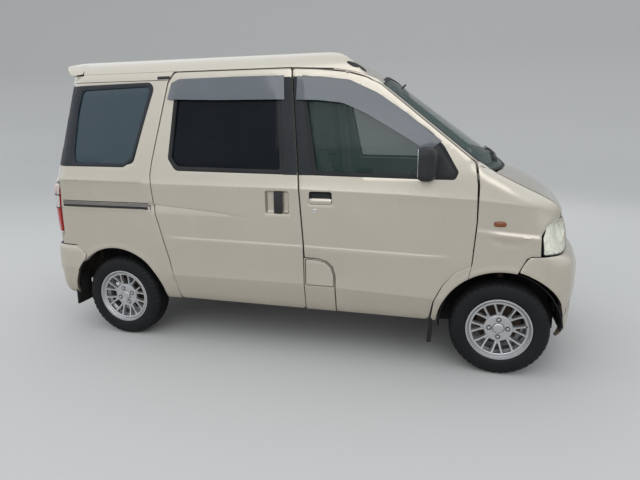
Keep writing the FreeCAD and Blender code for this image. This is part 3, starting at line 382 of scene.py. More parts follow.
def bm_object(name, bm, mats, smooth=35, body="body", normals=True):
    if normals:
        bmesh.ops.recalc_face_normals(bm, faces=bm.faces)
    me = bpy.data.meshes.new(name)
    bm.to_mesh(me)
    bm.free()
    for m in mats:
        me.materials.append(m)
    me.shade_smooth()
    me.set_sharp_from_angle(angle=math.radians(smooth))
    o = bpy.data.objects.new(name, me)
    bpy.context.scene.collection.objects.link(o)
    if body:
        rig.ride(o, body)
    made[name] = o
    return o


def normals_of(fn, uv, h=0.002):
    a = fn(uv + [h, 0]) - fn(uv - [h, 0])
    b = fn(uv + [0, h]) - fn(uv - [0, h])
    n = np.cross(a, b)
    return n / np.maximum(np.linalg.norm(n, axis=1, keepdims=True), 1e-12)


def panel(name, outer, holes, fn, thick, mats, body="body", grid=0.022, edge=0.0022, lift=0.0, step_in=0.0, smooth=35,
          flip=False, split=None, edge_mat=None, step_depth=0.011, lines=(), cuts=()):
    """a pressed panel: skin on the surface fn, rounded edge, side walls and an inner face.
    mats: outer, wall, inner."""
    outer = np.array(outer)
    holes = [np.array(h) for h in holes]
    if area2(outer) < 0:
        outer = outer[::-1]
    holes = [h if area2(h) < 0 else h[::-1] for h in holes]
    loops = [outer] + holes

    def moved(loop, d):
        return inset(loop, d if area2(loop) > 0 else -d)

    s_loops = [moved(l, edge) for l in loops]
    base, F = fill(s_loops[0], s_loops[1:], grid, lines=lines, cuts=cuts)
    N = normals_of(fn, base)
    sgn = -1.0 if flip else 1.0
    skin = fn(base) + sgn * N * lift
    verts = [skin]
    faces = [tuple(f) if not flip else tuple(f[::-1]) for f in F]
    fm = [0] * len(faces)
    if split is not None:
        c = base[F].mean(1)
        fm = list(np.where(split(c), 3, 0))
    count = len(base)
    first = []
    k = 0
    for l in s_loops:
        first.append(k)
        k += len(l)

    def ring(loop2d, depth):
        nonlocal count
        n = normals_of(fn, loop2d)
        verts.append(fn(loop2d) + sgn * n * (lift - depth))
        s = count
        count += len(loop2d)
        return s

    def join(s0, s1, n, mat, dark=None):
        for i in range(n):
            j = (i + 1) % n
            f = (s0 + i, s1 + i, s1 + j, s0 + j)
            faces.append(f if not flip else f[::-1])
            fm.append(3 if dark is not None and dark[i] else mat)

    ends = []
    for li, l in enumerate(loops):
        n = len(l)
        prev = first[li]
        for d2, dep in ((edge * 0.3, edge * 0.3), (0.0, edge)):
            s = ring(moved(l, d2), dep)
            join(prev, s, n, 0 if edge_mat is None else edge_mat, None if split is None else split(moved(l, edge)))
            prev = s
        if step_in and li == 0:
            for d2, dep in ((0.0, step_depth), (step_in, step_depth + 0.0015), (step_in, thick)):
                s = ring(moved(l, d2), dep)
                join(prev, s, n, 1)
                prev = s
        else:
            s = ring(moved(l, 0.0), thick)
            join(prev, s, n, 1)
            prev = s
        ends.append(prev)
    # inner face
    i_loops = [moved(l, step_in if (li == 0 and step_in) else 0.0) for li, l in enumerate(loops)]
    base2, F2 = fill(i_loops[0], i_loops[1:], grid * 1.6, (grid * 0.3, 0))
    n2 = normals_of(fn, base2)
    inner = fn(base2) + sgn * n2 * (lift - thick)
    nb = sum(len(l) for l in i_loops)
    remap = np.zeros(len(base2), int)
    k = 0
    for li, l in enumerate(i_loops):
        for i in range(len(l)):
            remap[k] = ends[li] + i
            k += 1
    remap[nb:] = np.arange(count, count + len(base2) - nb)
    verts.append(inner[nb:])
    for f in remap[F2]:
        faces.append(tuple(f[::-1]) if not flip else tuple(f))
        fm.append(2)
    return mesh_object(name, np.vstack(verts), faces, mats, fm, smooth, body)


def grid_mesh(bm, P, mat=0, close_u=False, close_v=False, mat_fn=None):
    """faces over an array of points, rows by columns"""
    R, C = P.shape[:2]
    vs = [[bm.verts.new(tuple(P[i, j])) for j in range(C)] for i in range(R)]
    for i in range(R - (0 if close_u else 1)):
        for j in range(C - (0 if close_v else 1)):
            a, b, c, d = vs[i][j], vs[(i + 1) % R][j], vs[(i + 1) % R][(j + 1) % C], vs[i][(j + 1) % C]
            q = []
            for v in (a, b, c, d):
                if v not in q:
                    q.append(v)
            if len(q) > 2:
                try:
                    f = bm.faces.new(q)
                    f.material_index = mat if mat_fn is None else mat_fn(i, j)
                except ValueError:
                    pass
    return vs


def sheet_object(name, P, thick, mats, body="body", mat_fn=None, smooth=35, down=None):
    """a grid of points given a thickness towards its inner side. mats: outer, wall, inner"""
    P = np.array(P)
    R, C = P.shape[:2]
    du = np.gradient(P, axis=0)
    dv = np.gradient(P, axis=1)
    N = np.cross(du, dv)
    N /= np.maximum(np.linalg.norm(N, axis=2, keepdims=True), 1e-12)
    if down is not None and (N.reshape(-1, 3).mean(0) @ np.array(down)) < 0:
        N = -N
    Q = P + N * thick
    verts = np.vstack([P.reshape(-1, 3), Q.reshape(-1, 3)])
    faces, fm = [], []
    n = R * C
    for i in range(R - 1):
        for j in range(C - 1):
            a, b, c, d = i * C + j, (i + 1) * C + j, (i + 1) * C + j + 1, i * C + j + 1
            faces.append((a, b, c, d)); fm.append(0 if mat_fn is None else mat_fn(i, j))
            faces.append((n + a, n + d, n + c, n + b)); fm.append(2 if mat_fn is None else max(2, mat_fn(i, j)))
    rim = [(0, j) for j in range(C)] + [(i, C - 1) for i in range(1, R)] + [(R - 1, j) for j in range(C - 2, -1, -1)] + [(i, 0) for i in range(R - 2, 0, -1)]
    idx = [i * C + j for i, j in rim]
    for k in range(len(idx)):
        a, b = idx[k], idx[(k + 1) % len(idx)]
        faces.append((a, b, n + b, n + a)); fm.append(1)
    o = mesh_object(name, verts, faces, mats, fm, smooth, body)
    bm = bmesh.new()
    bm.from_mesh(o.data)
    bmesh.ops.remove_doubles(bm, verts=bm.verts, dist=1e-6)
    bmesh.ops.recalc_face_normals(bm, faces=bm.faces)
    bm.to_mesh(o.data)
    bm.free()
    o.data.set_sharp_from_angle(angle=math.radians(smooth))
    return o


def sweep(name, path, section, mats, body="body", up=(0, 0, 1), closed=False, smooth=40, scale=None):
    """a section carried along a path: section is (across, up) points"""
    path = np.array(path, float)
    n = len(path)
    t = np.gradient(path, axis=0) if not closed else np.roll(path, -1, 0) - np.roll(path, 1, 0)
    t /= np.linalg.norm(t, axis=1, keepdims=True)
    u = np.array(up, float)
    if u.ndim == 1:
        u = np.tile(u, (n, 1))
    side = np.cross(t, u)
    side /= np.maximum(np.linalg.norm(side, axis=1, keepdims=True), 1e-9)
    upv = np.cross(side, t)
    sec = np.array(section, float)
    k = np.ones(n) if scale is None else np.array(scale)
    P = path[:, None, :] + (side[:, None, :] * sec[None, :, 0:1] + upv[:, None, :] * sec[None, :, 1:2]) * k[:, None, None]
    bm = bmesh.new()
    vs = grid_mesh(bm, P, close_u=closed, close_v=True)
    if not closed:
        bm.faces.new(vs[0][::-1])
        bm.faces.new(vs[-1])
    return bm_object(name, bm, mats, smooth, body)


def ring_section(r, n=12, squash=1.0):
    return [(r * math.cos(2 * math.pi * i / n), squash * r * math.sin(2 * math.pi * i / n)) for i in range(n)]


def lathe(bm, profile, centre, axis_y=1.0, seg=64, mat=0, mat_fn=None, a0=0.0, a1=2 * math.pi):
    """profile of (distance along y outwards, radius) about an axis parallel to y"""
    full = abs(a1 - a0 - 2 * math.pi) < 1e-6
    m = seg if full else seg + 1
    P = np.zeros((len(profile), m, 3))
    for i, (d, r) in enumerate(profile):
        for j in range(m):
            a = a0 + (a1 - a0) * j / seg
            P[i, j] = (centre[0] + r * math.cos(a), centre[1] + axis_y * d, centre[2] + r * math.sin(a))
    return grid_mesh(bm, P, mat, close_v=full, mat_fn=mat_fn)


def rounded_box(bm, c, size, r=0.004, rot=None, seg=2, mat=0):
    """a block with rounded edges"""
    geo = bmesh.ops.create_cube(bm, size=1.0)
    vs = geo["verts"]
    bmesh.ops.scale(bm, vec=Vector(size), verts=vs)
    es = list({e for v in vs for e in v.link_edges})
    res = bmesh.ops.bevel(bm, geom=es, offset=min(r, min(size) * 0.45), segments=seg, profile=0.5, affect="EDGES")
    vv = list({v for f in res["faces"] for v in f.verts} | {v for v in vs if v.is_valid})
    allv = set(vv)
    # every vertex of this block
    stack = list(vv)
    while stack:
        v = stack.pop()
        for e in v.link_edges:
            w = e.other_vert(v)
            if w not in allv:
                allv.add(w)
                stack.append(w)
    M = Matrix.Translation(Vector(c)) @ (rot.to_4x4() if rot is not None else Matrix.Identity(4))
    bmesh.ops.transform(bm, matrix=M, verts=list(allv))
    for v in allv:
        for f in v.link_faces:
            f.material_index = mat
    return list(allv)


# ------------------------------------------------------------------ materials
def material(name, base, rough, metal=0.0, base2=None, mix_scale=3.0, dirt=0.0, dirt_top=0.45, dirt_colour=(0.20, 0.15, 0.10), bump=0.0, bump_scale=60.0,
             rough_var=0.08, rough_scale=9.0, spots=0.0, spot_colour=(0.1, 0.05, 0.03), spot_scale=30.0, coat=0.0, coat_rough=0.05, flake=0.0, transmission=0.0,
             ior=1.45, alpha=1.0, sheen=0.0, weave=0.0, weave_scale=500.0, specular=0.5, emission=None, streak=0.0, waves=0.0, cells=0.0, cell_scale=30.0):
    m = bpy.data.materials.new(name)
    m.use_nodes = True
    nt = m.node_tree
    nt.nodes.clear()
    N = nt.nodes.new
    L = nt.links.new
    out = N("ShaderNodeOutputMaterial")
    b = N("ShaderNodeBsdfPrincipled")
    L(b.outputs[0], out.inputs[0])
    co = N("ShaderNodeTexCoord")

    def noise(scale, detail=4.0, vec=None, rough_=0.55):
        n = N("ShaderNodeTexNoise")
        n.inputs["Scale"].default_value = scale
        n.inputs["Detail"].default_value = detail
        n.inputs["Roughness"].default_value = rough_
        L(vec if vec is not None else co.outputs["Object"], n.inputs["Vector"])
        return n.outputs[0]

    def ramp(v, a, z, lo=0.0, hi=1.0):
        r = N("ShaderNodeMapRange")
        r.inputs["From Min"].default_value = a
        r.inputs["From Max"].default_value = z
        r.inputs["To Min"].default_value = lo
        r.inputs["To Max"].default_value = hi
        r.clamp = True
        L(v, r.inputs["Value"])
        return r.outputs[0]

    def mixc(f, c1, c2):
        x = N("ShaderNodeMix")
        x.data_type = "RGBA"
        for sock, val in ((x.inputs[0], f), (x.inputs[6], c1), (x.inputs[7], c2)):
            if isinstance(val, (tuple, list)):
                sock.default_value = (*val[:3], 1.0)
            elif isinstance(val, float):
                sock.default_value = val
            else:
                L(val, sock)
        return x.outputs[2]

    def math_(op, a, c=None):
        x = N("ShaderNodeMath")
        x.operation = op
        for i, v in enumerate((a, c)):
            if v is None:
                continue
            if isinstance(v, (int, float)):
                x.inputs[i].default_value = v
            else:
                L(v, x.inputs[i])
        return x.outputs[0]

    c2 = base2 if base2 is not None else tuple(min(1.0, k * 0.86) for k in base)
    col = mixc(ramp(noise(mix_scale, 5.0), 0.36, 0.66), tuple(base), tuple(c2))
    rgh = ramp(noise(rough_scale, 6.0), 0.3, 0.7, max(0.0, rough - rough_var), min(1.0, rough + rough_var))
    sep = N("ShaderNodeSeparateXYZ")
    L(co.outputs["Object"], sep.inputs[0])
    heights = []
    if flake:
        vor = N("ShaderNodeTexVoronoi")
        vor.inputs["Scale"].default_value = 2200.0
        L(co.outputs["Object"], vor.inputs["Vector"])
        g = ramp(vor.outputs["Color"], 0.0, 1.0, 1.0 - flake, 1.0 + flake)
        vm = N("ShaderNodeVectorMath")
        vm.operation = "SCALE"
        L(col, vm.inputs[0])
        L(g, vm.inputs["Scale"])
        col = vm.outputs[0]
    if weave:
        mp = N("ShaderNodeMapping")
        mp.inputs["Scale"].default_value = (1, 1, 1)
        L(co.outputs["Object"], mp.inputs[0])
        w1 = N("ShaderNodeTexWave")
        w1.inputs["Scale"].default_value = weave_scale / 20.0
        w1.bands_direction = "DIAGONAL"
        w1.inputs["Distortion"].default_value = 0.6
        L(mp.outputs[0], w1.inputs["Vector"])
        w2 = N("ShaderNodeTexWave")
        w2.inputs["Scale"].default_value = weave_scale / 20.0
        w2.bands_direction = "Y"
        w2.inputs["Distortion"].default_value = 0.6
        L(mp.outputs[0], w2.inputs["Vector"])
        ww = math_("MULTIPLY", w1.outputs[1], w2.outputs[1])
        heights.append((ww, weave))
        col = mixc(ramp(ww, 0.1, 0.8, 0.0, 0.45), col, tuple(k * 0.55 for k in base))
    if spots:
        sp = ramp(noise(spot_scale, 8.0, rough_=0.7), 0.66 - 0.12 * spots, 0.72 - 0.1 * spots)
        col = mixc(math_("MULTIPLY", sp, min(1.0, 0.6 + spots * 0.4)), col, tuple(spot_colour))
        rgh = math_("ADD", rgh, math_("MULTIPLY", sp, 0.25))
    if streak:
        mp2 = N("ShaderNodeMapping")
        mp2.inputs["Scale"].default_value = (1.0, 1.0, 0.06)
        L(co.outputs["Object"], mp2.inputs[0])
        st = ramp(noise(34.0, 3.0, mp2.outputs[0]), 0.56, 0.74, 0.0, streak)
        col = mixc(st, col, tuple(dirt_colour))
    if dirt:
        zz = ramp(sep.outputs[2], dirt_top, dirt_top * 0.45, 0.0, 1.0)
        dn = ramp(noise(14.0, 8.0, rough_=0.65), 0.32, 0.72)
        dd = math_("MULTIPLY", math_("MULTIPLY", zz, math_("ADD", dn, 0.35)), dirt)
        dd2 = math_("ADD", dd, math_("MULTIPLY", ramp(noise(5.0, 9.0, rough_=0.7), 0.55, 0.85), 0.035 * dirt))
        dcl = ramp(dd2, 0.0, 1.0, 0.0, 0.92)
        col = mixc(dcl, col, tuple(dirt_colour))
        rgh = math_("ADD", rgh, math_("MULTIPLY", dcl, 0.4))
    L(col, b.inputs["Base Color"])
    L(ramp(rgh, 0.0, 1.0), b.inputs["Roughness"])
    b.inputs["Metallic"].default_value = metal
    b.inputs["IOR"].default_value = ior
    b.inputs["Alpha"].default_value = alpha
    b.inputs["Specular IOR Level"].default_value = specular
    if coat:
        b.inputs["Coat Weight"].default_value = coat
        b.inputs["Coat Roughness"].default_value = coat_rough
    if transmission:
        b.inputs["Transmission Weight"].default_value = transmission
    if sheen:
        b.inputs["Sheen Weight"].default_value = sheen
    if emission:
        b.inputs["Emission Color"].default_value = (*emission[:3], 1)
        b.inputs["Emission Strength"].default_value = emission[3]
    if bump:
        heights.append((noise(bump_scale, 6.0), bump))
    if waves:
        heights.append((noise(2.2, 1.0), waves))
    if cells:
        vc = N("ShaderNodeTexVoronoi")
        vc.inputs["Scale"].default_value = cell_scale
        L(co.outputs["Object"], vc.inputs["Vector"])
        heights.append((vc.outputs["Distance"], cells * 8))
    last = None
    for h, amount in heights:
        bp = N("ShaderNodeBump")
        bp.inputs["Distance"].default_value = amount
        bp.inputs["Strength"].default_value = 0.7
        L(h, bp.inputs["Height"])
        if last is not None:
            L(last, bp.inputs["Normal"])
        last = bp.outputs[0]
    if last is not None:
        L(last, b.inputs["Normal"])
    return m


PAINT = material("champagne_paint", (0.500, 0.455, 0.375), 0.30, metal=0.62, base2=(0.485, 0.440, 0.362), dirt=0.42, dirt_top=0.42, dirt_colour=(0.25, 0.20, 0.14),
                 bump=0.00003, bump_scale=700.0, flake=0.07, coat=0.9, coat_rough=0.05, rough_var=0.03, streak=0.02)
PAINT_LOW = material("champagne_bumper", (0.490, 0.445, 0.368), 0.36, metal=0.50, base2=(0.46, 0.415, 0.34), dirt=0.62, dirt_top=0.46, dirt_colour=(0.22, 0.165, 0.11),
                     bump=0.00008, bump_scale=420.0, flake=0.07, coat=0.6, coat_rough=0.10, spots=0.12, spot_colour=(0.20, 0.15, 0.10), spot_scale=60.0, streak=0.05)
PAINT_IN = material("body_paint_inside", (0.40, 0.365, 0.305), 0.45, metal=0.25, dirt=0.6, dirt_top=0.6, bump=0.0003, bump_scale=200.0, flake=0.05)
TRIM_IN = material("interior_trim", (0.19, 0.185, 0.175), 0.75, base2=(0.165, 0.16, 0.15), bump=0.0005, bump_scale=900.0, spots=0.1, spot_colour=(0.12, 0.11, 0.10), specular=0.3)
HEADLINER = material("roof_lining", (0.42, 0.41, 0.38), 0.9, base2=(0.38, 0.37, 0.34), bump=0.0006, bump_scale=700.0, sheen=0.2, specular=0.2)
RUBBER = material("rubber_seal", (0.016, 0.017, 0.018), 0.66, base2=(0.024, 0.024, 0.024), bump=0.0002, bump_scale=400.0, spots=0.08, spot_colour=(0.05, 0.048, 0.045), spot_scale=60.0, specular=0.25)
PLASTIC = material("black_moulding", (0.017, 0.0175, 0.019), 0.46, base2=(0.026, 0.026, 0.026), specular=0.30, bump=0.00025, bump_scale=1100.0, dirt=0.5, dirt_top=0.5, spots=0.12, spot_colour=(0.08, 0.075, 0.07))
GLOSS_BLACK = material("black_frame", (0.014, 0.016, 0.019), 0.40, base2=(0.020, 0.022, 0.025), rough_var=0.06, bump=0.0001, bump_scale=500.0, specular=0.25)
BAND_M = material("dark_print", (0.022, 0.025, 0.029), 0.52, base2=(0.028, 0.031, 0.035), rough_var=0.06, bump=0.0001, bump_scale=500.0, specular=0.22)
RAIL_M = material("rail_cover", (0.15, 0.142, 0.132), 0.55, base2=(0.12, 0.115, 0.107), bump=0.0002, bump_scale=900.0, dirt=0.3, dirt_top=1.0, dirt_colour=(0.22, 0.19, 0.15))
GREY_PLASTIC = material("grey_moulding", (0.30, 0.285, 0.26), 0.6, bump=0.0004, bump_scale=900.0, dirt=0.5, dirt_top=0.5)
GLASS_DARK = material("privacy_glass", (0.004, 0.006, 0.009), 0.03, base2=(0.006, 0.008, 0.011), rough_var=0.015, ior=1.45, alpha=0.84, specular=0.14)
GLASS_QUARTER = material("privacy_glass_rear", (0.016, 0.038, 0.052), 0.03, base2=(0.020, 0.042, 0.056), rough_var=0.015, ior=1.5, alpha=0.88, specular=0.50, coat=0.2, coat_rough=0.02)
GLASS = material("window_glass", (0.026, 0.054, 0.047), 0.015, base2=(0.030, 0.060, 0.052), rough_var=0.01, ior=1.45, alpha=0.34, specular=0.40)
GLASS_SCREEN = material("screen_glass", (0.070, 0.125, 0.113), 0.015, base2=(0.078, 0.134, 0.122), rough_var=0.01, ior=1.45, alpha=0.30, specular=0.40)
VISOR = material("smoked_visor", (0.095, 0.108, 0.122), 0.07, base2=(0.110, 0.124, 0.138), rough_var=0.03, ior=1.5, alpha=0.72, specular=0.6, coat=0.6, coat_rough=0.06)
LENS = material("lamp_lens", (0.86, 0.86, 0.77), 0.06, base2=(0.83, 0.82, 0.68), rough_var=0.03, ior=1.5, alpha=0.30, coat=0.6, coat_rough=0.04, specular=0.5, bump=0.0002, bump_scale=60.0)
REFLECTOR = material("lamp_reflector", (0.90, 0.90, 0.80), 0.20, metal=0.9, base2=(0.84, 0.85, 0.70), mix_scale=26.0, cells=0.0022, cell_scale=34.0)
AMBER = material("amber_lens", (0.85, 0.30, 0.045), 0.16, base2=(0.80, 0.25, 0.035), transmission=0.35, ior=1.3, coat=0.7, bump=0.0004, bump_scale=300.0)
AMBER_DARK = material("repeater_lens", (0.20, 0.055, 0.008), 0.22, base2=(0.16, 0.042, 0.007), ior=1.45, coat=0.4, bump=0.0004, bump_scale=300.0)
PINK_LENS = material("indicator_lens", (0.62, 0.40, 0.34), 0.18, base2=(0.56, 0.35, 0.29), transmission=0.3, ior=1.3, coat=0.7, bump=0.0004, bump_scale=260.0)
RED = material("red_lens", (0.46, 0.012, 0.010), 0.14, base2=(0.38, 0.008, 0.008), transmission=0.25, ior=1.3, coat=0.8, bump=0.0004, bump_scale=260.0)
WHITE_LENS = material("white_lens", (0.75, 0.74, 0.70), 0.18, base2=(0.68, 0.67, 0.63), transmission=0.4, ior=1.3, coat=0.7, bump=0.0005, bump_scale=260.0)
TYRE = material("tyre_rubber", (0.0065, 0.0070, 0.0078), 0.62, base2=(0.011, 0.011, 0.0115), mix_scale=9.0, bump=0.0005, bump_scale=160.0, spots=0.15, spot_colour=(0.028, 0.026, 0.023), spot_scale=26.0, specular=0.22)
ALLOY = material("wheel_alloy", (0.50, 0.50, 0.505), 0.38, metal=0.80, base2=(0.44, 0.44, 0.44), rough_var=0.1, bump=0.0002, bump_scale=300.0, spots=0.35, spot_colour=(0.22, 0.19, 0.16), spot_scale=44.0, flake=0.06)
DARK_METAL = material("underbody_metal", (0.055, 0.052, 0.048), 0.62, metal=0.3, base2=(0.085, 0.07, 0.055), mix_scale=6.0, bump=0.0008, bump_scale=70.0, spots=0.6, spot_colour=(0.16, 0.075, 0.035), spot_scale=18.0)
CAST = material("rusty_iron", (0.050, 0.040, 0.034), 0.75, metal=0.35, base2=(0.085, 0.052, 0.034), mix_scale=12.0, bump=0.0015, bump_scale=90.0, spots=0.4, spot_colour=(0.12, 0.060, 0.030), spot_scale=22.0)
ENGINE_M = material("engine_alloy", (0.25, 0.25, 0.24), 0.55, metal=0.6, base2=(0.17, 0.16, 0.15), mix_scale=8.0, bump=0.001, bump_scale=60.0, spots=0.5, spot_colour=(0.08, 0.065, 0.05))
CLOTH = material("seat_cloth", (0.088, 0.092, 0.088), 0.92, base2=(0.070, 0.073, 0.070), mix_scale=14.0, weave=0.0006, weave_scale=1500.0, sheen=0.4, bump=0.0004, bump_scale=900.0, specular=0.2)
CLOTH2 = material("seat_cloth_centre", (0.125, 0.130, 0.125), 0.94, base2=(0.095, 0.10, 0.096), mix_scale=22.0, weave=0.0009, weave_scale=900.0, sheen=0.4, bump=0.0004, bump_scale=700.0, specular=0.2)
CARPET = material("floor_carpet", (0.075, 0.07, 0.065), 0.97, base2=(0.055, 0.05, 0.046), mix_scale=20.0, bump=0.003, bump_scale=420.0, spots=0.3, spot_colour=(0.13, 0.115, 0.09), spot_scale=12.0, specular=0.1)
DASH = material("dashboard_plastic", (0.115, 0.112, 0.105), 0.7, base2=(0.10, 0.097, 0.09), bump=0.0006, bump_scale=700.0, specular=0.3)
CHROME = material("bright_metal", (0.62, 0.62, 0.60), 0.16, metal=1.0, rough_var=0.06, bump=0.00015, bump_scale=200.0, spots=0.15, spot_colour=(0.3, 0.25, 0.2))
PLATE = material("blank_plate", (0.74, 0.73, 0.68), 0.42, base2=(0.68, 0.67, 0.61), bump=0.0003, bump_scale=200.0, dirt=0.5, dirt_top=0.8, spots=0.2, spot_colour=(0.45, 0.4, 0.32))
MIRROR_M = material("mirror_glass", (0.72, 0.74, 0.75), 0.03, metal=1.0, base2=(0.70, 0.72, 0.73), rough_var=0.02)
THREAD = material("seam_thread", (0.05, 0.052, 0.05), 0.8, base2=(0.04, 0.042, 0.04), bump=0.0003, bump_scale=1500.0)
FLAP_M = material("mud_flap_rubber", (0.012, 0.012, 0.012), 0.8, base2=(0.022, 0.020, 0.018), mix_scale=11.0, bump=0.0008, bump_scale=120.0, spots=0.3, spot_colour=(0.06, 0.050, 0.040), spot_scale=18.0, specular=0.2)

# ------------------------------------------------------------------ the body's outer surface (metres)
HALF_SECTION = [(690, 296), (706, 322), (731, 445), (737.5, 650), (737.5, 900), (733, 1020), (722, 1115), (628, 1693), (612, 1733), (585, 1765), (540, 1787),
                (420, 1807), (300, 1821), (150, 1834), (0, 1840)]
PLAN = [(1650, 0), (1645, 250), (1622, 430), (1585, 560), (1530, 650), (1450, 703), (1255, 728), (1000, 736.5), (900, 737.5), (-1000, 737.5), (-1400, 727),
        (-1545, 714), (-1590, 690), (-1625, 620), (-1645, 450), (-1655, 0)]
BUMPER_PLAN = [(1697.5, 0), (1692, 250), (1664, 450), (1623, 570), (1562, 650), (1466, 699), (1255, 728), (1000, 736.5), (900, 737.5), (-1000, 737.5),
               (-1400, 728), (-1560, 715), (-1620, 690), (-1665, 620), (-1690, 450), (-1697.5, 0)]
SIDE = [(-1655, 250), (-1655, 1040), (-1640, 1120), (-1500, 1700), (-1470, 1790), (-1360, 1822), (-1000, 1836), (-700, 1840), (-350, 1839), (0, 1831),
        (200, 1813), (300, 1790), (384, 1760), (460, 1714), (560, 1662)]
TAIL_RINGS = [(1050, -1655, -1622, (-1585, 670), (-1540, 706)), (1700, -1500, -1435, (-1400, 600), (-1330, 640))]
NOSE_LEAN = (740, 1100, (60, 60, 75, 90, 95, 95))
MM = 0.001


def mm(points):
    return [tuple([p[0] * MM, p[1] * MM] + [r * MM for r in p[2:]]) for p in points]


sec = smooth_open(np.array(HALF_SECTION, float) * MM, 0.014)
# the section curve by arc length, from the roof's middle down
sec_s = np.concatenate([[0], np.cumsum(np.linalg.norm(np.diff(sec[::-1], axis=0), axis=1))])
sec_r = sec[::-1]
sec_side = sec[sec[:, 1] < 1.80]


def section_half(z):
    return np.interp(z, sec_side[:, 1], sec_side[:, 0])


side_line = smooth_open([(x * MM, z * MM) for x, z in SIDE if z > 1700] + [(0.62, 1.631)], 0.03)


def top_line(x):
    return np.interp(x, side_line[:, 0], side_line[:, 1])


def smin(a, b, k):
    h = np.clip(0.5 + 0.5 * (b - a) / k, 0, 1)
    return b * (1 - h) + a * h - k * h * (1 - h)


def rear_ring(z):
    """x as a list with the y it belongs to, middle first"""
    if z <= 1050:
        return [(x, y) for x, y in PLAN[::-1] if x < -900]
    f = (min(z, 1760) - 1050) / 650.0
    lo, hi = TAIL_RINGS
    g = lambda a, b: a + (b - a) * f
    xc, x5 = g(lo[1], hi[1]), g(lo[2], hi[2])
    A = (g(lo[3][0], hi[3][0]), g(lo[3][1], hi[3][1]))
    B = (g(lo[4][0], hi[4][0]), g(lo[4][1], hi[4][1]))
    return [(xc, 0), (xc + (x5 - xc) * 0.22, 280), (x5, 560), A, B, (B[0] + 130, 800), (-900, 1100)]


def front_ring(z):
    f = np.clip((z - NOSE_LEAN[0]) / 360.0, 0, 1.2)
    pts = []
    for i, (x, y) in enumerate(PLAN[:10]):
        pts.append((x - (NOSE_LEAN[2][i] * f if i < 6 else 0), y))
    return pts


TX = np.arange(-1.70, 1.7001, 0.004)
TZ = np.arange(0.27, 1.8401, 0.005)
YT = np.zeros((len(TX), len(TZ)))
for j, z in enumerate(TZ):
    r = rear_ring(z * 1000)
    f = front_ring(z * 1000)
    rx = np.array([p[0] for p in r]) * MM
    ry = np.array([p[1] for p in r]) * MM
    fx = np.array([p[0] for p in f][::-1]) * MM
    fy = np.array([p[1] for p in f][::-1]) * MM
    yr = np.interp(TX, rx, ry, left=-0.2)
    yf = np.interp(TX, fx, fy, right=-0.2)
    plan = np.where(TX < -0.9, yr, np.where(TX > 0.9, yf, 0.80))
    s = section_half(z)
    YT[:, j] = smin(np.full(len(TX), s), plan, 0.03) + 0.0
# round its corners
kx = np.exp(-0.5 * (np.arange(-9, 10) * 0.004 / 0.012) ** 2)
kx /= kx.sum()
for j in range(len(TZ)):
    e = np.concatenate([np.full(9, YT[0, j]), YT[:, j], np.full(9, YT[-1, j])])
    YT[:, j] = np.convolve(e, kx, "valid")
for _ in range(2):
    YT[:, 1:-1] = 0.25 * YT[:, :-2] + 0.5 * YT[:, 1:-1] + 0.25 * YT[:, 2:]


def table(T, x, z):
    u = np.clip((x - TX[0]) / 0.004, 0, len(TX) - 1.001)
    v = np.clip((z - TZ[0]) / 0.005, 0, len(TZ) - 1.001)
    i, j = u.astype(int), v.astype(int)
    a, b = u - i, v - j
    return (T[i, j] * (1 - a) * (1 - b) + T[i + 1, j] * a * (1 - b) + T[i, j + 1] * (1 - a) * b + T[i + 1, j + 1] * a * b)


# bonnet lines: middle and edge, height by x
BON_C = np.array([(1.10, 1.215), (1.258, 1.138), (1.352, 1.103), (1.396, 1.084), (1.446, 1.060), (1.495, 1.027), (1.543, 0.989), (1.590, 0.947), (1.623, 0.900), (1.636, 0.868), (1.645, 0.82)])
BON_E = np.array([(1.09, 1.192), (1.19, 1.143), (1.26, 1.107), (1.337, 1.069), (1.413, 1.032), (1.47, 1.0), (1.50, 0.975), (1.52, 0.95), (1.535, 0.91), (1.55, 0.86)])
BON_C = smooth_open(BON_C, 0.012)
BON_E = smooth_open(BON_E, 0.008)


def edge_height(x):
    return np.interp(x, BON_E[:, 0], BON_E[:, 1])


def line(x, pts):
    p = np.array(pts)
    return np.interp(x, p[:, 0], p[:, 1])


SHOULDER = [(-1.6, 1.062), (-0.8, 1.045), (0.1, 1.035), (0.7, 1.018), (1.07, 1.000), (1.25, 0.985), (1.5, 0.95)]
EMBOSS_T = [(-0.90, 0.927), (-0.81, 0.919), (-0.47, 0.891), (-0.153, 0.859)]
EMBOSS_B = [(-0.90, 0.859), (-0.82, 0.859), (-0.153, 0.857)]
MID = [(-0.9, 0.720), (-0.643, 0.718), (0.14, 0.708), (0.989, 0.690)]
LOWER = [(-0.75, 0.467), (-0.722, 0.467), (0.147, 0.471), (0.882, 0.438)]
FENDER_FOLD = [(1.09, 0.850), (1.14, 0.846), (1.435, 0.819), (1.5, 0.812)]


def ridge(t, down, up):
    """one at the fold, falling away below (t > 0) and above it"""
    return np.where(t > 0, np.exp(-np.clip(t, 0, 1) / down), np.exp(np.clip(t, -1, 0) / up))


def ledge(t, bevel, fade):
    """nothing above the fold, a bevel that faces up, then standing out and fading downwards"""
    return np.clip(t / bevel, 0, 1) * np.exp(-np.clip(t - bevel, 0, 1) / fade)


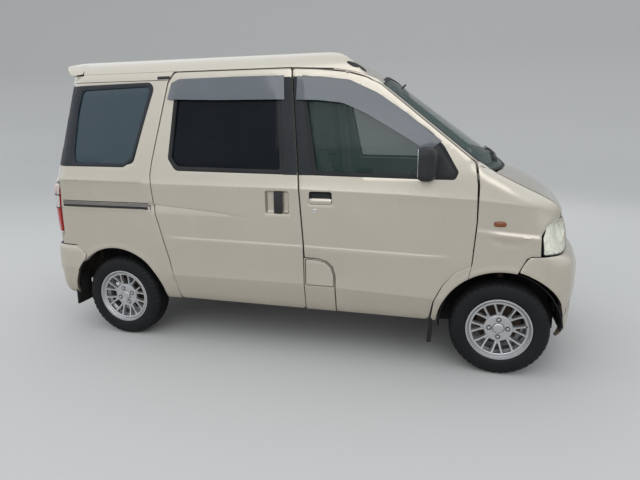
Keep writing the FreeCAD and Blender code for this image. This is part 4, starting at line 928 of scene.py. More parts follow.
def creases(x, z):
    """what stands out of or sinks into the plain side surface, metres"""
    d = np.zeros_like(x)
    # shoulder: the face under it leans in
    body_x = sstep(-1.57, -1.47, x) * (1 - sstep(1.26, 1.46, x))
    d += 0.0062 * ridge(line(x, SHOULDER) - z, 0.060, 0.042) * body_x
    # embossed wedge of the sliding door: a step at its top, a face that looks up
    zt, zb = line(x, EMBOSS_T), line(x, EMBOSS_B)
    h = np.maximum(zt - zb, 0.003)
    inner = np.clip((zt - z) / h, 0, 1)
    d += -0.16 * h * (1 - inner) * sstep(-0.0005, 0.004, zt - z) * (1 - sstep(-0.20, -0.155, x)) * (x > -0.86)
    # middle fold
    d += 0.0034 * ledge(line(x, MID) - z, 0.010, 0.055) * sstep(-0.82, -0.62, x) * (1 - sstep(0.86, 1.04, x))
    # lower fold, the face below it turns in
    d += 0.0058 * ridge(line(x, LOWER) - z, 0.035, 0.060) * sstep(-0.79, -0.72, x) * (1 - sstep(0.90, 1.0, x))
    # lips of the wheel arches
    for ax, R in ((1.255, 0.344), (-1.145, 0.346)):
        rr = np.hypot(x - ax, z - 0.27)
        d += 0.0032 * sstep(R + 0.034, R + 0.012, rr) * (z > 0.20)
        d += -0.0018 * np.clip((R + 0.010 - rr) / 0.010, 0, 1)
    # fold of the fender
    d += 0.0085 * ledge(line(x, FENDER_FOLD) - z, 0.022, 0.034) * (0.45 + 0.55 * sstep(1.14, 1.24, x)) * sstep(1.085, 1.12, x) * (1 - sstep(1.47, 1.54, x))
    return d


def arc_line(cx, r, a0=-8.0, a1=188.0):
    return [(cx + r * math.cos(math.radians(a)), 0.27 + r * math.sin(math.radians(a))) for a in np.linspace(a0, a1, 90)]


FOLDS = [(SHOULDER, (0.0, 0.004, -0.004, 0.013, -0.013)), (EMBOSS_T[1:], (0.0, 0.004, -0.004, -0.013)), (EMBOSS_B[1:], (0.0, -0.006)),
         (MID, (0.0, 0.004, -0.005, -0.011)), (LOWER, (0.0, 0.004, -0.004, 0.013, -0.013)), (FENDER_FOLD, (0.0, 0.004, -0.007, -0.014, -0.021)),
         (arc_line(1.255, 0.356), (0.0, -0.011, -0.022)), (arc_line(-1.145, 0.358), (0.0, -0.011, -0.022))]


def dent(x, z):
    # pushed in under the fold, with a short sharp edge at its lower side
    low = line(x, [(1.16, 0.775), (1.22, 0.762), (1.29, 0.752), (1.33, 0.756), (1.40, 0.772)])
    w = sstep(1.15, 1.21, x) * (1 - sstep(1.33, 1.41, x))
    d = -0.0062 * sstep(0.0, 0.018, z - low) * (1 - sstep(0.0, 0.026, z - low - 0.014)) * w
    return d


def half(x, z, right=True):
    """half width of the body at a place along and a height"""
    x = np.asarray(x, float)
    z = np.asarray(z, float)
    y = table(YT, x, z)
    # the fender's shoulder rolls over to the bonnet's edge
    ze = edge_height(x)
    zs = ze - 0.084
    t = np.clip((z - zs) / 0.084, 0, 0.985)
    roll = 1 - np.sqrt(1 - t * t)
    yy = table(YT, x, np.minimum(z, zs))
    y = np.where((x > 1.02) & (z > zs), y + (yy - (yy - 0.628) * roll - y) * sstep(1.045, 1.165, x), y)
    y = y + creases(x, z)
    if right:
        y = y + dent(x, z)
    return y


def right_side(uv):
    return np.stack([uv[:, 0], -half(uv[:, 0], uv[:, 1]), uv[:, 1]], 1)


def left_side(uv):
    return np.stack([uv[:, 0], half(uv[:, 0], uv[:, 1], False), uv[:, 1]], 1)


SIDES = (("right", right_side, False, -1.0), ("left", left_side, True, 1.0))


def arc_points(cx, cz, r, a0, a1, n=48):
    return [(cx + r * math.cos(a0 + (a1 - a0) * i / n), cz + r * math.sin(a0 + (a1 - a0) * i / n)) for i in range(n + 1)]


def cut_by_arch(outline, cx, R):
    """an outline given in mm without its arch: replaces the run inside the arch by the arc"""
    P = rounded(mm(outline), 0.010)
    c = np.array([cx, 0.27])
    r = np.hypot(P[:, 0] - cx, P[:, 1] - 0.27)
    keep = (r > R) & ((P[:, 1] > 0.27) | (np.abs(P[:, 0] - cx) > R))
    n = len(P)
    if keep.all():
        return P
    i0 = next(i for i in range(n) if not keep[i] and keep[i - 1])
    P = np.roll(P, -i0, 0)
    keep = np.roll(keep, -i0)
    m = next(i for i in range(n) if keep[i])
    a, b = P[-1], P[m]
    rest = P[m:]

    def hit(p, q):
        for _ in range(40):
            h = 0.5 * (p + q)
            if np.hypot(*(h - c)) > R:
                p = h
            else:
                q = h
        return p
    ha = hit(P[-1], P[0])
    hb = hit(P[m], P[m - 1])
    t0 = math.atan2(ha[1] - c[1], ha[0] - c[0])
    t1 = math.atan2(hb[1] - c[1], hb[0] - c[0])
    d = t1 - t0
    k = max(2, int(abs(d) * R / 0.010))
    arc = np.array([(c[0] + R * math.cos(t0 + d * i / k), c[1] + R * math.sin(t0 + d * i / k)) for i in range(k + 1)])
    return np.vstack([rest, arc])

FRONT_DOOR = [(155, 302, 25), (870, 300, 25), (893, 420, 60), (935, 508, 60), (1003, 592, 60), (1087, 632, 25), (1102, 880, 0), (1097, 1070, 0), (1080, 1190, 30),
              (576, 1593, 60), (492, 1636, 0), (386, 1667, 60), (223, 1687, 0), (71, 1697, 15), (124, 1110, 0), (152, 700, 0)]
SLIDING_DOOR = [(146, 302, 25), (-695, 302, 25), (-738, 560, 0), (-813, 860, 0), (-834, 1090, 0), (-822, 1175, 0), (-712, 1640, 60), (-668, 1700, 40), (63, 1699, 15),
                (116, 1110, 0), (144, 700, 0)]
FRONT_WINDOW = [(216, 1122, 20), (850, 1110, 10), (850, 1332, 12), (705, 1436, 0), (548, 1541, 80), (387, 1614, 80), (126, 1648, 20)]
SLIDING_WINDOW = [(20, 1128, 20), (-655, 1140, 45), (-700, 1200, 30), (-660, 1560, 60), (-600, 1642, 60), (-14, 1650, 20)]
QUARTER_WINDOW = [(-1035, 1152, 40), (-1452, 1164, 30), (-1345, 1622, 40), (-812, 1634, 40), (-955, 1165, 40)]
TAILGATE_EDGE = [(-1570, 640), (-1542, 865), (-1526, 1052), (-1512, 1138), (-1474, 1446), (-1400, 1668), (-1320, 1700)]
FUEL_FLAP = [(160, 468, 6), (326, 468, 6), (325, 530, 0), (312, 577, 0), (280, 606, 0), (235, 619, 0), (160, 622, 6)]
FILLER_PANEL = [(150, 300), (332, 300), (332, 530), (318, 582), (284, 613), (237, 627), (150, 629)]
BODY_MATS = [PAINT, PAINT_IN, TRIM_IN, GLOSS_BLACK]
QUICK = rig.quick()
G = 0.034 if QUICK else 0.022


def out_points(points, step=0.012):
    return rounded(mm(points), step)


# ------------------------------------------------------------------ doors
front_r = FRONT_DOOR
# the right door leaves room for the fuel filler's panel
FD_RIGHT = [(338, 302, 8), (870, 300, 25), (893, 420, 60), (935, 508, 60), (1003, 592, 60), (1087, 632, 25), (1102, 880, 0), (1097, 1070, 0), (1080, 1190, 30),
            (576, 1593, 60), (492, 1636, 0), (386, 1667, 60), (223, 1687, 0), (71, 1697, 15), (124, 1110, 0), (152, 700, 0), (155, 636, 6),
            (237, 633, 0), (288, 618, 0), (323, 586, 0), (338, 531, 0)]
BAND_LOW, BAND_TOP = 1.112, 1.653
FRONT_CUTS = [[(0.04, BAND_LOW), (0.213, BAND_LOW), (0.213, 1.140)], [(0.04, BAND_TOP), (0.128, BAND_TOP), (0.128, 1.630)]]
SLIDE_CUTS = [[(0.140, BAND_LOW), (0.023, BAND_LOW), (0.023, 1.140)], [(0.090, BAND_TOP), (-0.016, BAND_TOP), (-0.016, 1.630)]]
FRONT_CUP = [(0.186, 0.948, 0.014), (0.319, 0.948, 0.014), (0.319, 1.022, 0.014), (0.186, 1.022, 0.014)]
SLIDE_CUP = [(-0.080, 0.887, 0.012), (0.064, 0.887, 0.012), (0.064, 1.020, 0.012), (-0.080, 1.020, 0.012)]


def front_band(c):
    """the black print between the front window and the seam"""
    x, z = c[:, 0], c[:, 1]
    return (z > BAND_LOW) & (z < BAND_TOP) & (x < line(z, [(1.12, 0.213), (1.14, 0.213), (1.630, 0.128), (1.66, 0.128)]))


def slide_band(c):
    x, z = c[:, 0], c[:, 1]
    return (z > BAND_LOW) & (z < BAND_TOP) & (x > line(z, [(1.12, 0.023), (1.14, 0.023), (1.630, -0.016), (1.66, -0.016)]))


for side, fn, flip, s in SIDES:
    panel("front_door_%s_skin" % side, out_points(FD_RIGHT if side == "right" else FRONT_DOOR), [out_points(FRONT_WINDOW), rounded(FRONT_CUP, 0.006)], fn, 0.056, BODY_MATS,
          "front_door_" + side, grid=G, flip=flip, split=front_band, step_in=0.010, lines=FOLDS, cuts=FRONT_CUTS)
    panel("sliding_door_%s_skin" % side, out_points(SLIDING_DOOR), [out_points(SLIDING_WINDOW), rounded(SLIDE_CUP, 0.006)], fn, 0.056, BODY_MATS, "body", grid=G, flip=flip,
          split=slide_band, step_in=0.010, lines=FOLDS, cuts=SLIDE_CUTS)

# ------------------------------------------------------------------ side panes with their rubber frames and visors
def pane_fn(fn, s, depth):
    def f(uv):
        y = table(YT, uv[:, 0], uv[:, 1])
        return np.stack([uv[:, 0], s * (y - depth), uv[:, 1]], 1)
    return f


def pane(name, outline, depth, s, flip, body, mat, grow=0.008):
    o = out_points(outline)
    o = inset(o, -grow)
    return panel(name, o, [], pane_fn(None, s, depth), 0.004, [mat, mat, mat], body, grid=0.05, edge=0.0006, flip=flip, smooth=50)


def frame_band(name, outline, width, inner_w, depth, s, flip, body, mat, thick=0.012):
    """a band round a window: from width outside the outline to inner_w inside it"""
    o = out_points(outline)
    return panel(name, inset(o, -width), [inset(o, inner_w)], pane_fn(None, s, depth), thick, [mat, mat, mat], body, grid=0.03, edge=0.0022, flip=flip, smooth=50)


def band(name, outer, inner, depth, s, flip, body, mat, thick=0.016, edge=0.0022):
    return panel(name, outer, [inner], pane_fn(None, s, depth), thick, [mat, mat, mat], body, grid=0.03, edge=edge, flip=flip, smooth=50)


FW_OUT = [(204, 1111, 12), (800, 1101, 0), (984, 1100, 24), (999, 1142, 16), (921, 1273, 12), (858, 1341, 0), (711, 1449, 0), (552, 1557, 80), (393, 1629, 80), (116, 1660, 16)]
FW_IN = [(229, 1134, 16), (842, 1123, 8), (842, 1328, 10), (701, 1429, 0), (544, 1533, 80), (384, 1605, 80), (138, 1638, 14)]
SW_OUT = [(32, 1113, 14), (-662, 1124, 48), (-713, 1196, 34), (-672, 1566, 64), (-607, 1655, 64), (-4, 1662, 16)]
SW_IN = [(10, 1140, 14), (-648, 1152, 36), (-688, 1204, 24), (-649, 1556, 52), (-594, 1630, 52), (-26, 1638, 12)]
QW_OUT = [(-1026, 1141, 46), (-1498, 1144, 8), (-1466, 1430, 0), (-1392, 1640, 14), (-797, 1650, 40), (-957, 1185, 30)]
QW_IN = [(-1016, 1164, 34), (-1383, 1167, 22), (-1386, 1240, 0), (-1352, 1495, 60), (-1316, 1611, 34), (-832, 1624, 26), (-966, 1205, 34)]
for side, fn, flip, s in SIDES:
    pane("front_window_glass_" + side, FRONT_WINDOW, 0.012, s, flip, "front_door_" + side, GLASS)
    pane("sliding_window_glass_" + side, SLIDING_WINDOW, 0.010, s, flip, "body", GLASS_DARK)
    pane("quarter_window_glass_" + side, QUARTER_WINDOW, 0.0045, s, flip, "body", GLASS_QUARTER)
    band("front_window_rubber_" + side, out_points(FW_OUT), out_points(FW_IN), -0.0018, s, flip, "front_door_" + side, RUBBER, 0.018)
    band("sliding_window_rubber_" + side, out_points(SW_OUT), out_points(SW_IN), -0.0018, s, flip, "body", RUBBER, 0.018)
    band("quarter_window_print_" + side, out_points(QW_OUT), out_points(QW_IN), -0.0034, s, flip, "body", BAND_M, 0.006, 0.0036)

# quarter panel
QP = [(-1565, 630, 0), (-1535, 700, 4), (-1535, 865, 0), (-1519, 1040, 0)] + [(x + 6, z) for x, z in TAILGATE_EDGE[3:]] + [(-1314, 1706.5, 3), (-672, 1706.5, 3), (-680, 1702, 0), (-719, 1648, 60),
      (-828, 1176, 0), (-840, 1090, 0), (-819, 858, 0), (-744, 558, 0), (-712, 402, 0), (-700, 298, 6), (-905, 298, 4), (-1380, 470, 0), (-1440, 622, 4), (-1565, 624, 3)]
qp = cut_by_arch([(x, z) if len(p) < 3 else p for p in QP for x, z in [p[:2]]], -1.145, 0.346)


def quarter_black(c):
    x, z = c[:, 0], c[:, 1]
    return (z > 1.147) & (z < 1.640) & (x < line(z, [(1.138, -1.506), (1.446, -1.468), (1.668, -1.394)]) + 0.022)


for side, fn, flip, s in SIDES:
    panel("quarter_panel_%s" % side, qp, [out_points(QUARTER_WINDOW)], fn, 0.045, [PAINT, PAINT_IN, TRIM_IN, BAND_M], "body", grid=G, flip=flip, lines=FOLDS, split=quarter_black)

# fender with the strip behind its arch
FE = [(1093, 1190, 6), (1108, 1070, 0), (1108, 880, 0), (1093, 640, 20), (1007, 598, 50), (941, 512, 50), (899, 420, 50), (884, 310, 10), (880, 298, 2), (925, 298, 2),
      (1000, 290, 0), (1300, 560, 0), (1332, 622, 0), (1366, 692, 0), (1390, 705, 4), (1434, 706, 3), (1428, 816, 0), (1460, 872, 0), (1497, 895, 0), (1524, 903, 4)]
FE += [(x * 1000, z * 1000 - 4) for x, z in ((1.520, 0.946), (1.50, 0.972), (1.47, 0.997), (1.413, 1.029), (1.337, 1.066), (1.26, 1.104), (1.19, 1.140))]
FE += [(1150, 1162, 0), (1098, 1196, 3)]
fe = cut_by_arch(FE, 1.255, 0.344)
for side, fn, flip, s in SIDES:
    panel("fender_%s" % side, fe, [], fn, 0.016, [PAINT, PAINT_IN, DARK_METAL, GLOSS_BLACK], "body", grid=G * 0.8, flip=flip, lines=FOLDS)

for side, fn, flip, s in SIDES:
    rows = []
    for x_, z_ in resample([(1.0905, 0.640), (1.0865, 0.622), (1.0800, 0.592), (1.0775, 0.5675)], 0.004):
        ring = []
        for dx, o_ in ((-0.0014, -0.002), (-0.0014, 0.0006), (0.0014, 0.0006), (0.0014, -0.002)):
            y_ = float(half(np.array([x_ + dx]), np.array([z_]), s < 0)[0])
            ring.append((x_ + dx, s * (y_ + o_), z_))
        rows.append(ring)
    bm = bmesh.new()
    vs = grid_mesh(bm, np.array(rows), close_v=True)
    bm.faces.new(vs[0]); bm.faces.new(vs[-1][::-1])
    bm_object("fender_seam_" + side, bm, [RUBBER], smooth=30)

# fuel flap and filler panel, right side
panel("fuel_flap_skin", out_points(FUEL_FLAP), [], right_side, 0.012, [PAINT, PAINT_IN, PAINT_IN, GLOSS_BLACK], "fuel_flap", grid=G, lines=FOLDS)
fp_out = rounded(mm([(x, z, 3) for x, z in FILLER_PANEL]), 0.010)
fp_hole = inset(out_points(FUEL_FLAP), -0.0045)
panel("filler_panel_skin", fp_out, [fp_hole], right_side, 0.050, [PAINT, PAINT_IN, PAINT_IN, GLOSS_BLACK], "body", grid=G, lines=FOLDS)
bm = bmesh.new()
rounded_box(bm, (0.243, -0.7145, 0.545), (0.17, 0.004, 0.160), 0.002)
bm_object("filler_bowl", bm, [DARK_METAL])
bm = bmesh.new()
lathe(bm, [(0.0, 0.0001), (0.0, 0.030), (0.006, 0.034), (0.012, 0.034), (0.014, 0.030), (0.014, 0.012), (0.018, 0.010), (0.018, 0.0001)], (0.245, -0.7125, 0.545), -1.0, 32)
bm_object("filler_cap", bm, [PLASTIC])

# ------------------------------------------------------------------ bumpers: mapped by the length along the plan
def plan_curve(points, x_end, lean=None):
    p = [(x * MM, y * MM) for x, y in points]
    p = [(x, -y) for x, y in p[1:][::-1]] + p
    c = smooth_open(p, 0.018)
    return c


def bumper_fn(plan_pts, front, low_lip, crease=None, grow=0.0, shelf=None):
    half_pts = [(x * MM, y * MM) for x, y in plan_pts]
    pts = [(x, -y) for x, y in half_pts[1:][::-1]] + half_pts
    c = smooth_open(pts, 0.02)
    mid = int(np.argmin(np.abs(c[:, 1])))
    seg = np.concatenate([[0], np.cumsum(np.linalg.norm(np.diff(c, axis=0), axis=1))])
    s0 = np.interp(0, c[mid - 3:mid + 4, 1], seg[mid - 3:mid + 4])
    ss = seg - s0
    t = np.gradient(c, axis=0)
    t /= np.linalg.norm(t, axis=1, keepdims=True)
    nrm = np.stack([t[:, 1], -t[:, 0]], 1) * (1 if front else -1)
    lip = smooth_open([(d * MM, z * MM) for d, z in low_lip], 0.010)

    def f(uv):
        s, z = uv[:, 0], uv[:, 1]
        x = np.interp(s, ss, c[:, 0])
        y = np.interp(s, ss, c[:, 1])
        nx = np.interp(s, ss, nrm[:, 0])
        ny = np.interp(s, ss, nrm[:, 1])
        q = -np.interp(z, lip[:, 1], lip[:, 0]) + grow
        if shelf is not None:
            z0, reach, rise, width = shelf
            t = np.clip((z - z0) / reach, -0.2, 1.25)
            q = q - np.where(t > 0, np.interp(np.abs(s), width[0], width[1]) * (1 - np.cos(np.clip(t, 0, 1.25) * math.pi / 2)), 0)
            z = np.where(t > 0, z0 + rise * np.sin(np.clip(t, 0, 1.25) * math.pi / 2), z)
        if crease is not None:
            q = q + crease(s, z, x, y)
        return np.stack([x + nx * q, y + ny * q, z], 1)
    return f, ss, c


def s_at_x(ss, c, x, right=True):
    k = c[:, 1] < 0 if right else c[:, 1] > 0
    xs, s = c[k, 0], ss[k]
    o = np.argsort(xs)
    return np.interp(x, xs[o], s[o])


FRONT_HALF = [(1697.5, 0), (1692, 250), (1664, 450), (1623, 570), (1562, 650), (1466, 699), (1255, 728), (1100, 734)]


FOG = 0.520


def front_crease(s, z, x, y):
    d = np.zeros_like(s)
    a = np.abs(s)
    # fold at the corners, sunken field round the lower openings
    d += 0.0055 * ridge(0.505 - z, 0.050, 0.070) * sstep(0.42, 0.60, a) * (1 - sstep(0.88, 1.02, a))
    zc = 0.432
    d += -0.0065 * sstep(0.0, 0.014, zc - z) * (1 - sstep(0.62, 0.70, a)) * sstep(0.262, 0.285, z)
    d += -0.012 * sstep(0.075, 0.055, a_dist(a - FOG, (z - 0.352) * 1.35))
    rr = np.hypot(x - 1.255, z - 0.27)
    d += 0.003 * sstep(0.372, 0.356, rr)
    return d


def a_dist(a, b):
    return np.hypot(a, b)


fb_fn, fb_s, fb_c = bumper_fn(FRONT_HALF, True, [(50, 212), (30, 232), (14, 262), (8, 300), (4, 400), (0, 470), (0, 620), (0, 800)], front_crease,
                              shelf=(0.592, 0.147, 0.109, ([0, 0.1, 0.2, 0.3, 0.4, 0.5, 0.58, 0.68, 0.79, 0.90], [0.046, 0.052, 0.064, 0.072, 0.074, 0.068, 0.056, 0.034, 0.006, 0.0])))


def fb_outline():
    """half outline by (s, z): upper edge, rear edge along the seam, arch, lower edge"""
    up = []
    for x in np.linspace(1.392, 1.60, 16):
        up.append((s_at_x(fb_s, fb_c, x), 0.723 if x < 1.40 else (0.733 if x < 1.45 else 0.739)))
    seam = [(s_at_x(fb_s, fb_c, x), z) for x, z in ((1.384, 0.7124), (1.375, 0.693), (1.355, 0.655), (1.338, 0.618))]
    r = 0.352
    arch = []
    for i in range(28):
        a = math.radians(76) + (math.radians(-9) - math.radians(76)) * i / 27
        arch.append((s_at_x(fb_s, fb_c, 1.255 + r * math.cos(a)), 0.27 + r * math.sin(a)))
    low = [(s_at_x(fb_s, fb_c, 1.612), 0.216)]
    right = low[::-1] + arch[::-1] + seam[::-1] + up
    # s is negative on the right side
    right = [(s_, z_) for s_, z_ in right]
    # from bottom middle: go right-low ... up ... middle top
    left_ = [(-s_, z_) for s_, z_ in right[::-1]]
    pts = right + left_
    return rounded([(a, b, 0) for a, b in pts], 0.012)


fb_out = fb_outline()
grille = rounded([(-0.335, 0.302, 0.02), (0.335, 0.302, 0.02), (0.318, 0.398, 0.02), (-0.318, 0.398, 0.02)], 0.012)
upper = rounded([(-0.250, 0.562, 0.012), (0.250, 0.562, 0.012), (0.245, 0.604, 0.012), (-0.245, 0.604, 0.012)], 0.012)
fogr = rounded([(-FOG - 0.046, 0.318, 0.02), (-FOG + 0.046, 0.314, 0.02), (-FOG + 0.046, 0.388, 0.02), (-FOG - 0.046, 0.390, 0.02)], 0.012)
fogl = np.array([(-a, b) for a, b in fogr])[::-1]
panel("front_bumper_skin", fb_out, [grille, upper, fogr, fogl], fb_fn, 0.020, [PAINT_LOW, PLASTIC, PLASTIC, PLASTIC], "body", grid=G)
# mesh and slats behind the openings
bm = bmesh.new()
for i in range(3):
    z = 0.325 + 0.025 * i
    for k in range(24):
        y0, y1 = -0.33 + 0.66 * k / 24, -0.33 + 0.66 * (k + 1) / 24
        x0, x1 = 1.668 - 0.10 * (y0 / 0.4) ** 2 * 0.4, 1.668 - 0.10 * (y1 / 0.4) ** 2 * 0.4
        rounded_box(bm, ((x0 + x1) / 2, (y0 + y1) / 2, z), (0.014, (y1 - y0) * 1.02, 0.006), 0.0015, seg=1)
for k in range(23):
    y = -0.32 + 0.64 * k / 22
    rounded_box(bm, (1.662 - 0.04 * (y / 0.4) ** 2, y, 0.35), (0.008, 0.005, 0.094), 0.001, seg=1)
for i in range(2):
    rounded_box(bm, (1.662, 0, 0.575 + 0.016 * i), (0.014, 0.50, 0.005), 0.0015, seg=1)
bm_object("front_grille_bars", bm, [PLASTIC])
bm = bmesh.new()
rounded_box(bm, (1.640, 0, 0.35), (0.004, 0.68, 0.11), 0.001)
rounded_box(bm, (1.645, 0, 0.583), (0.004, 0.52, 0.05), 0.001)
for sgn in (-1, 1):
    p_ = fb_fn(np.array([[sgn * FOG, 0.352]]))[0]
    n_ = normals_of(fb_fn, np.array([[sgn * FOG, 0.352]]))[0]
    n_ = n_ * (1 if n_[0] > 0 else -1)
    c_ = p_ - n_ * 0.012
    ang = math.atan2(n_[1], n_[0])
    rounded_box(bm, tuple(c_), (0.006, 0.100, 0.085), 0.002, Matrix.Rotation(ang, 3, "Z"))
    for k in range(4):
        rounded_box(bm, tuple(c_ + n_ * 0.004 + np.array([0, 0, -0.024 + 0.016 * k])), (0.005, 0.088, 0.004), 0.0012, Matrix.Rotation(ang, 3, "Z"), seg=1)
bm_object("front_bumper_blanks", bm, [PLASTIC])
bm = bmesh.new()
rounded_box(bm, (1.6965, 0, 0.500), (0.003, 0.33, 0.165), 0.002, seg=2)
for a, b, sx, sz in ((0, 0.077, 0.326, 0.004), (0, -0.077, 0.326, 0.004)):
    rounded_box(bm, (1.698, a, 0.500 + b), (0.003, sx, sz), 0.0012, seg=1)
for sgn in (-1, 1):
    rounded_box(bm, (1.698, sgn * 0.161, 0.500), (0.003, 0.004, 0.155), 0.0012, seg=1)
bm_object("front_plate", bm, [PLATE])
bm = bmesh.new()
for sgn in (-1, 1):
    for r_, d_ in ((0.0085, 0.002),):
        P = []
        for dd, rr in ((0.0, 0.0001), (0.0, 0.0085), (0.002, 0.0085), (0.0032, 0.0065), (0.0032, 0.0001)):
            P.append([(1.698 + (0.0032 - dd) * 0 + dd * 0 + (0.0 if dd == 0 else dd), sgn * 0.105 + rr * math.cos(t), 0.500 + rr * math.sin(t)) for t in np.linspace(0, 2 * math.pi, 16, endpoint=False)])
        grid_mesh(bm, np.array(P), close_v=True)
bm_object("front_plate_screws", bm, [CHROME])

# rear bumper
REAR_HALF = [(-1697.5, 0), (-1690, 450), (-1665, 620), (-1620, 690), (-1560, 715), (-1400, 728), (-1250, 733)]


def rear_crease(s, z, x, y):
    d = 0.005 * np.exp(-((z - 0.455) / 0.012) ** 2) * (np.abs(s) < 0.9) * 0
    d = d - 0.010 * sstep(0.585, 0.61, z) * (np.abs(s) < 0.60)
    zc = 0.44
    d = d + 0.006 * np.exp(-np.clip(z - zc, 0, 1) / 0.06) * (z >= zc) - 0.003 * (z < zc)
    rr = np.hypot(x + 1.145, z - 0.27)
    d = d + 0.003 * sstep(0.372, 0.356, rr)
    return d


rb_fn, rb_s, rb_c = bumper_fn(REAR_HALF, False, [(45, 262), (28, 276), (14, 300), (4, 350), (0, 440), (0, 560), (4, 600), (12, 618)], rear_crease)
SGN = 1.0


def rb_outline():
    up = [(s_at_x(rb_s, rb_c, x), 0.6155) for x in (-1.62, -1.575)]
    up = up + [(s_at_x(rb_s, rb_c, x), z) for x, z in ((-1.56, 0.616), (-1.44, 0.616))]
    r = 0.350
    arch = []
    for i in range(26):
        a = math.radians(180 - 48.0) + (math.radians(180 - 3) - math.radians(180 - 48.0)) * i / 25
        arch.append((s_at_x(rb_s, rb_c, -1.145 + r * math.cos(a)), 0.27 + r * math.sin(a)))
    top_x = -1.145 + r * math.cos(math.radians(132))
    up = [(s_at_x(rb_s, rb_c, top_x - 0.004), 0.568)] if False else up
    arch = [p for p in arch if p[1] < 0.610]
    low = [(s_at_x(rb_s, rb_c, -1.50), 0.268), (s_at_x(rb_s, rb_c, -1.60), 0.266)]
    right = low[::-1] + arch[::-1] + [(s_at_x(rb_s, rb_c, -1.372), 0.560), (s_at_x(rb_s, rb_c, -1.42), 0.600)] + up[::-1]
    left_ = [(-s_, z_) for s_, z_ in right[::-1]]
    return rounded([(a, b, 0) for a, b in right + left_], 0.012)


panel("rear_bumper_skin", rb_outline(), [], rb_fn, 0.020, [PAINT_LOW, PLASTIC, PLASTIC, PLASTIC], "body", grid=G, flip=True)

# ------------------------------------------------------------------ bonnet
Y_EDGE = 0.622


def bonnet_height(x, y):
    a = np.clip(np.abs(y) / Y_EDGE, 0, 1.06)
    w = a ** 2.3
    zc = np.interp(x, BON_C[:, 0], BON_C[:, 1])
    ze = np.interp(x, BON_E[:, 0], BON_E[:, 1])
    z = zc * (1 - w) + ze * w
    # two soft ridges run forward from the screen
    z = z + 0.0035 * np.exp(-((np.abs(y) - (0.40 - 0.10 * (x - 1.2))) / 0.03) ** 2) * (1 - sstep(1.40, 1.52, x))
    return z


BON_W = [(1.19, 0.6565), (1.28, 0.6555), (1.32, 0.6525), (1.36, 0.6492), (1.40, 0.6420), (1.44, 0.631), (1.50, 0.631)]
NOSE_X = [(0, 1.636), (0.1, 1.627), (0.2, 1.606), (0.3, 1.587), (0.4, 1.569), (0.5, 1.553), (0.56, 1.541), (0.59, 1.531), (0.602, 1.522)]


# the bonnet as rows across: parameter v runs from the rear edge to the lower front edge along a profile
def bonnet_rows(nu, nv):
    ys = np.linspace(-1, 1, nu)
    P = np.zeros((nv, nu, 3))
    for j, u in enumerate(ys):
        y_rear = 0.631 * abs(u)
        # profile at this share of the half width
        prof = []
        a = abs(u)
        xr = line(np.array(a * 0.631), [(0, 1.258), (0.300, 1.246), (0.500, 1.218), (0.631, 1.190)])
        zl = line(np.array(a * 0.62), [(0, 0.866), (0.330, 0.871), (0.480, 0.884), (0.560, 0.900), (0.590, 0.915), (0.62, 0.945)])
        x_stop = np.interp(float(zl), BON_C[::-1, 1], BON_C[::-1, 0]) if a < 0.01 else None
        zz = []
        xs = np.linspace(float(xr), 1.66, 500)
        yv = line(xs, BON_W) * a - np.clip((xs - 1.44) / 0.12, 0, 1) * 0.029 * a
        h = bonnet_height(xs, yv)
        # nose of the profile: shifted by the plan's curve
        k = np.argmax(h <= zl) if (h <= zl).any() else len(xs) - 1
        seg = np.stack([xs[:k + 1], np.sign(u) * yv[:k + 1], h[:k + 1]], 1)
        seg[-1, 2] = float(zl)
        back = seg[-1, 0] - float(line(np.array(a * 0.602), NOSE_X))
        seg[:, 0] -= back * np.clip((seg[:, 0] - 1.40) / (seg[-1, 0] - 1.40), 0, 1) ** 2
        d = np.concatenate([[0], np.cumsum(np.linalg.norm(np.diff(seg, axis=0), axis=1))])
        t = np.linspace(0, d[-1], nv)
        for c in range(3):
            P[:, j, c] = np.interp(t, d, seg[:, c])
    # evened out inside, its edges stay
    wu = np.clip((1 - np.abs(ys)) / 0.06, 0, 1)
    wv = np.clip(np.minimum(np.arange(nv) / (0.05 * nv), (nv - 1 - np.arange(nv)) / (0.05 * nv)), 0, 1)
    w = (wv[:, None] * wu[None, :])[1:-1, 1:-1, None]
    for _ in range(int(0.5 * nu * nu / 60) + 20):
        q = (P[:-2, 1:-1] + P[2:, 1:-1] + P[1:-1, :-2] + P[1:-1, 2:]) / 4
        P[1:-1, 1:-1] += (q - P[1:-1, 1:-1]) * w * 0.5
    return P


BP = bonnet_rows(61 if not QUICK else 31, 44 if not QUICK else 24)
# rolled edge: an extra ring just inside and below
def with_edges(P, r=0.0035, depth=0.006):
    R, C = P.shape[:2]
    du = np.gradient(P, axis=0)
    dv = np.gradient(P, axis=1)
    N = np.cross(du, dv)
    N /= np.maximum(np.linalg.norm(N, axis=2, keepdims=True), 1e-12)
    if N[R // 2, C // 2, 2] < 0 and abs(N[R // 2, C // 2, 2]) > 0.3:
        N = -N
    Q = np.zeros((R + 2, C + 2, 3))
    Q[1:-1, 1:-1] = P
    Q[0, 1:-1] = P[0] - N[0] * depth
    Q[-1, 1:-1] = P[-1] - N[-1] * depth
    Q[1:-1, 0] = P[:, 0] - N[:, 0] * depth
    Q[1:-1, -1] = P[:, -1] - N[:, -1] * depth
    for a, b in ((0, 0), (0, -1), (-1, 0), (-1, -1)):
        Q[a, b] = P[a, b] - N[a, b] * depth
    # the outer ring of the skin stays where it is; the line below adds nothing
    Q[1, 1:-1] += (P[1] - P[0]) * 0
    return Q


sheet_object("bonnet_skin", with_edges(BP), 0.009, [PAINT, PAINT_IN, PAINT_IN], "bonnet", down=(0, 0, -1), smooth=50)
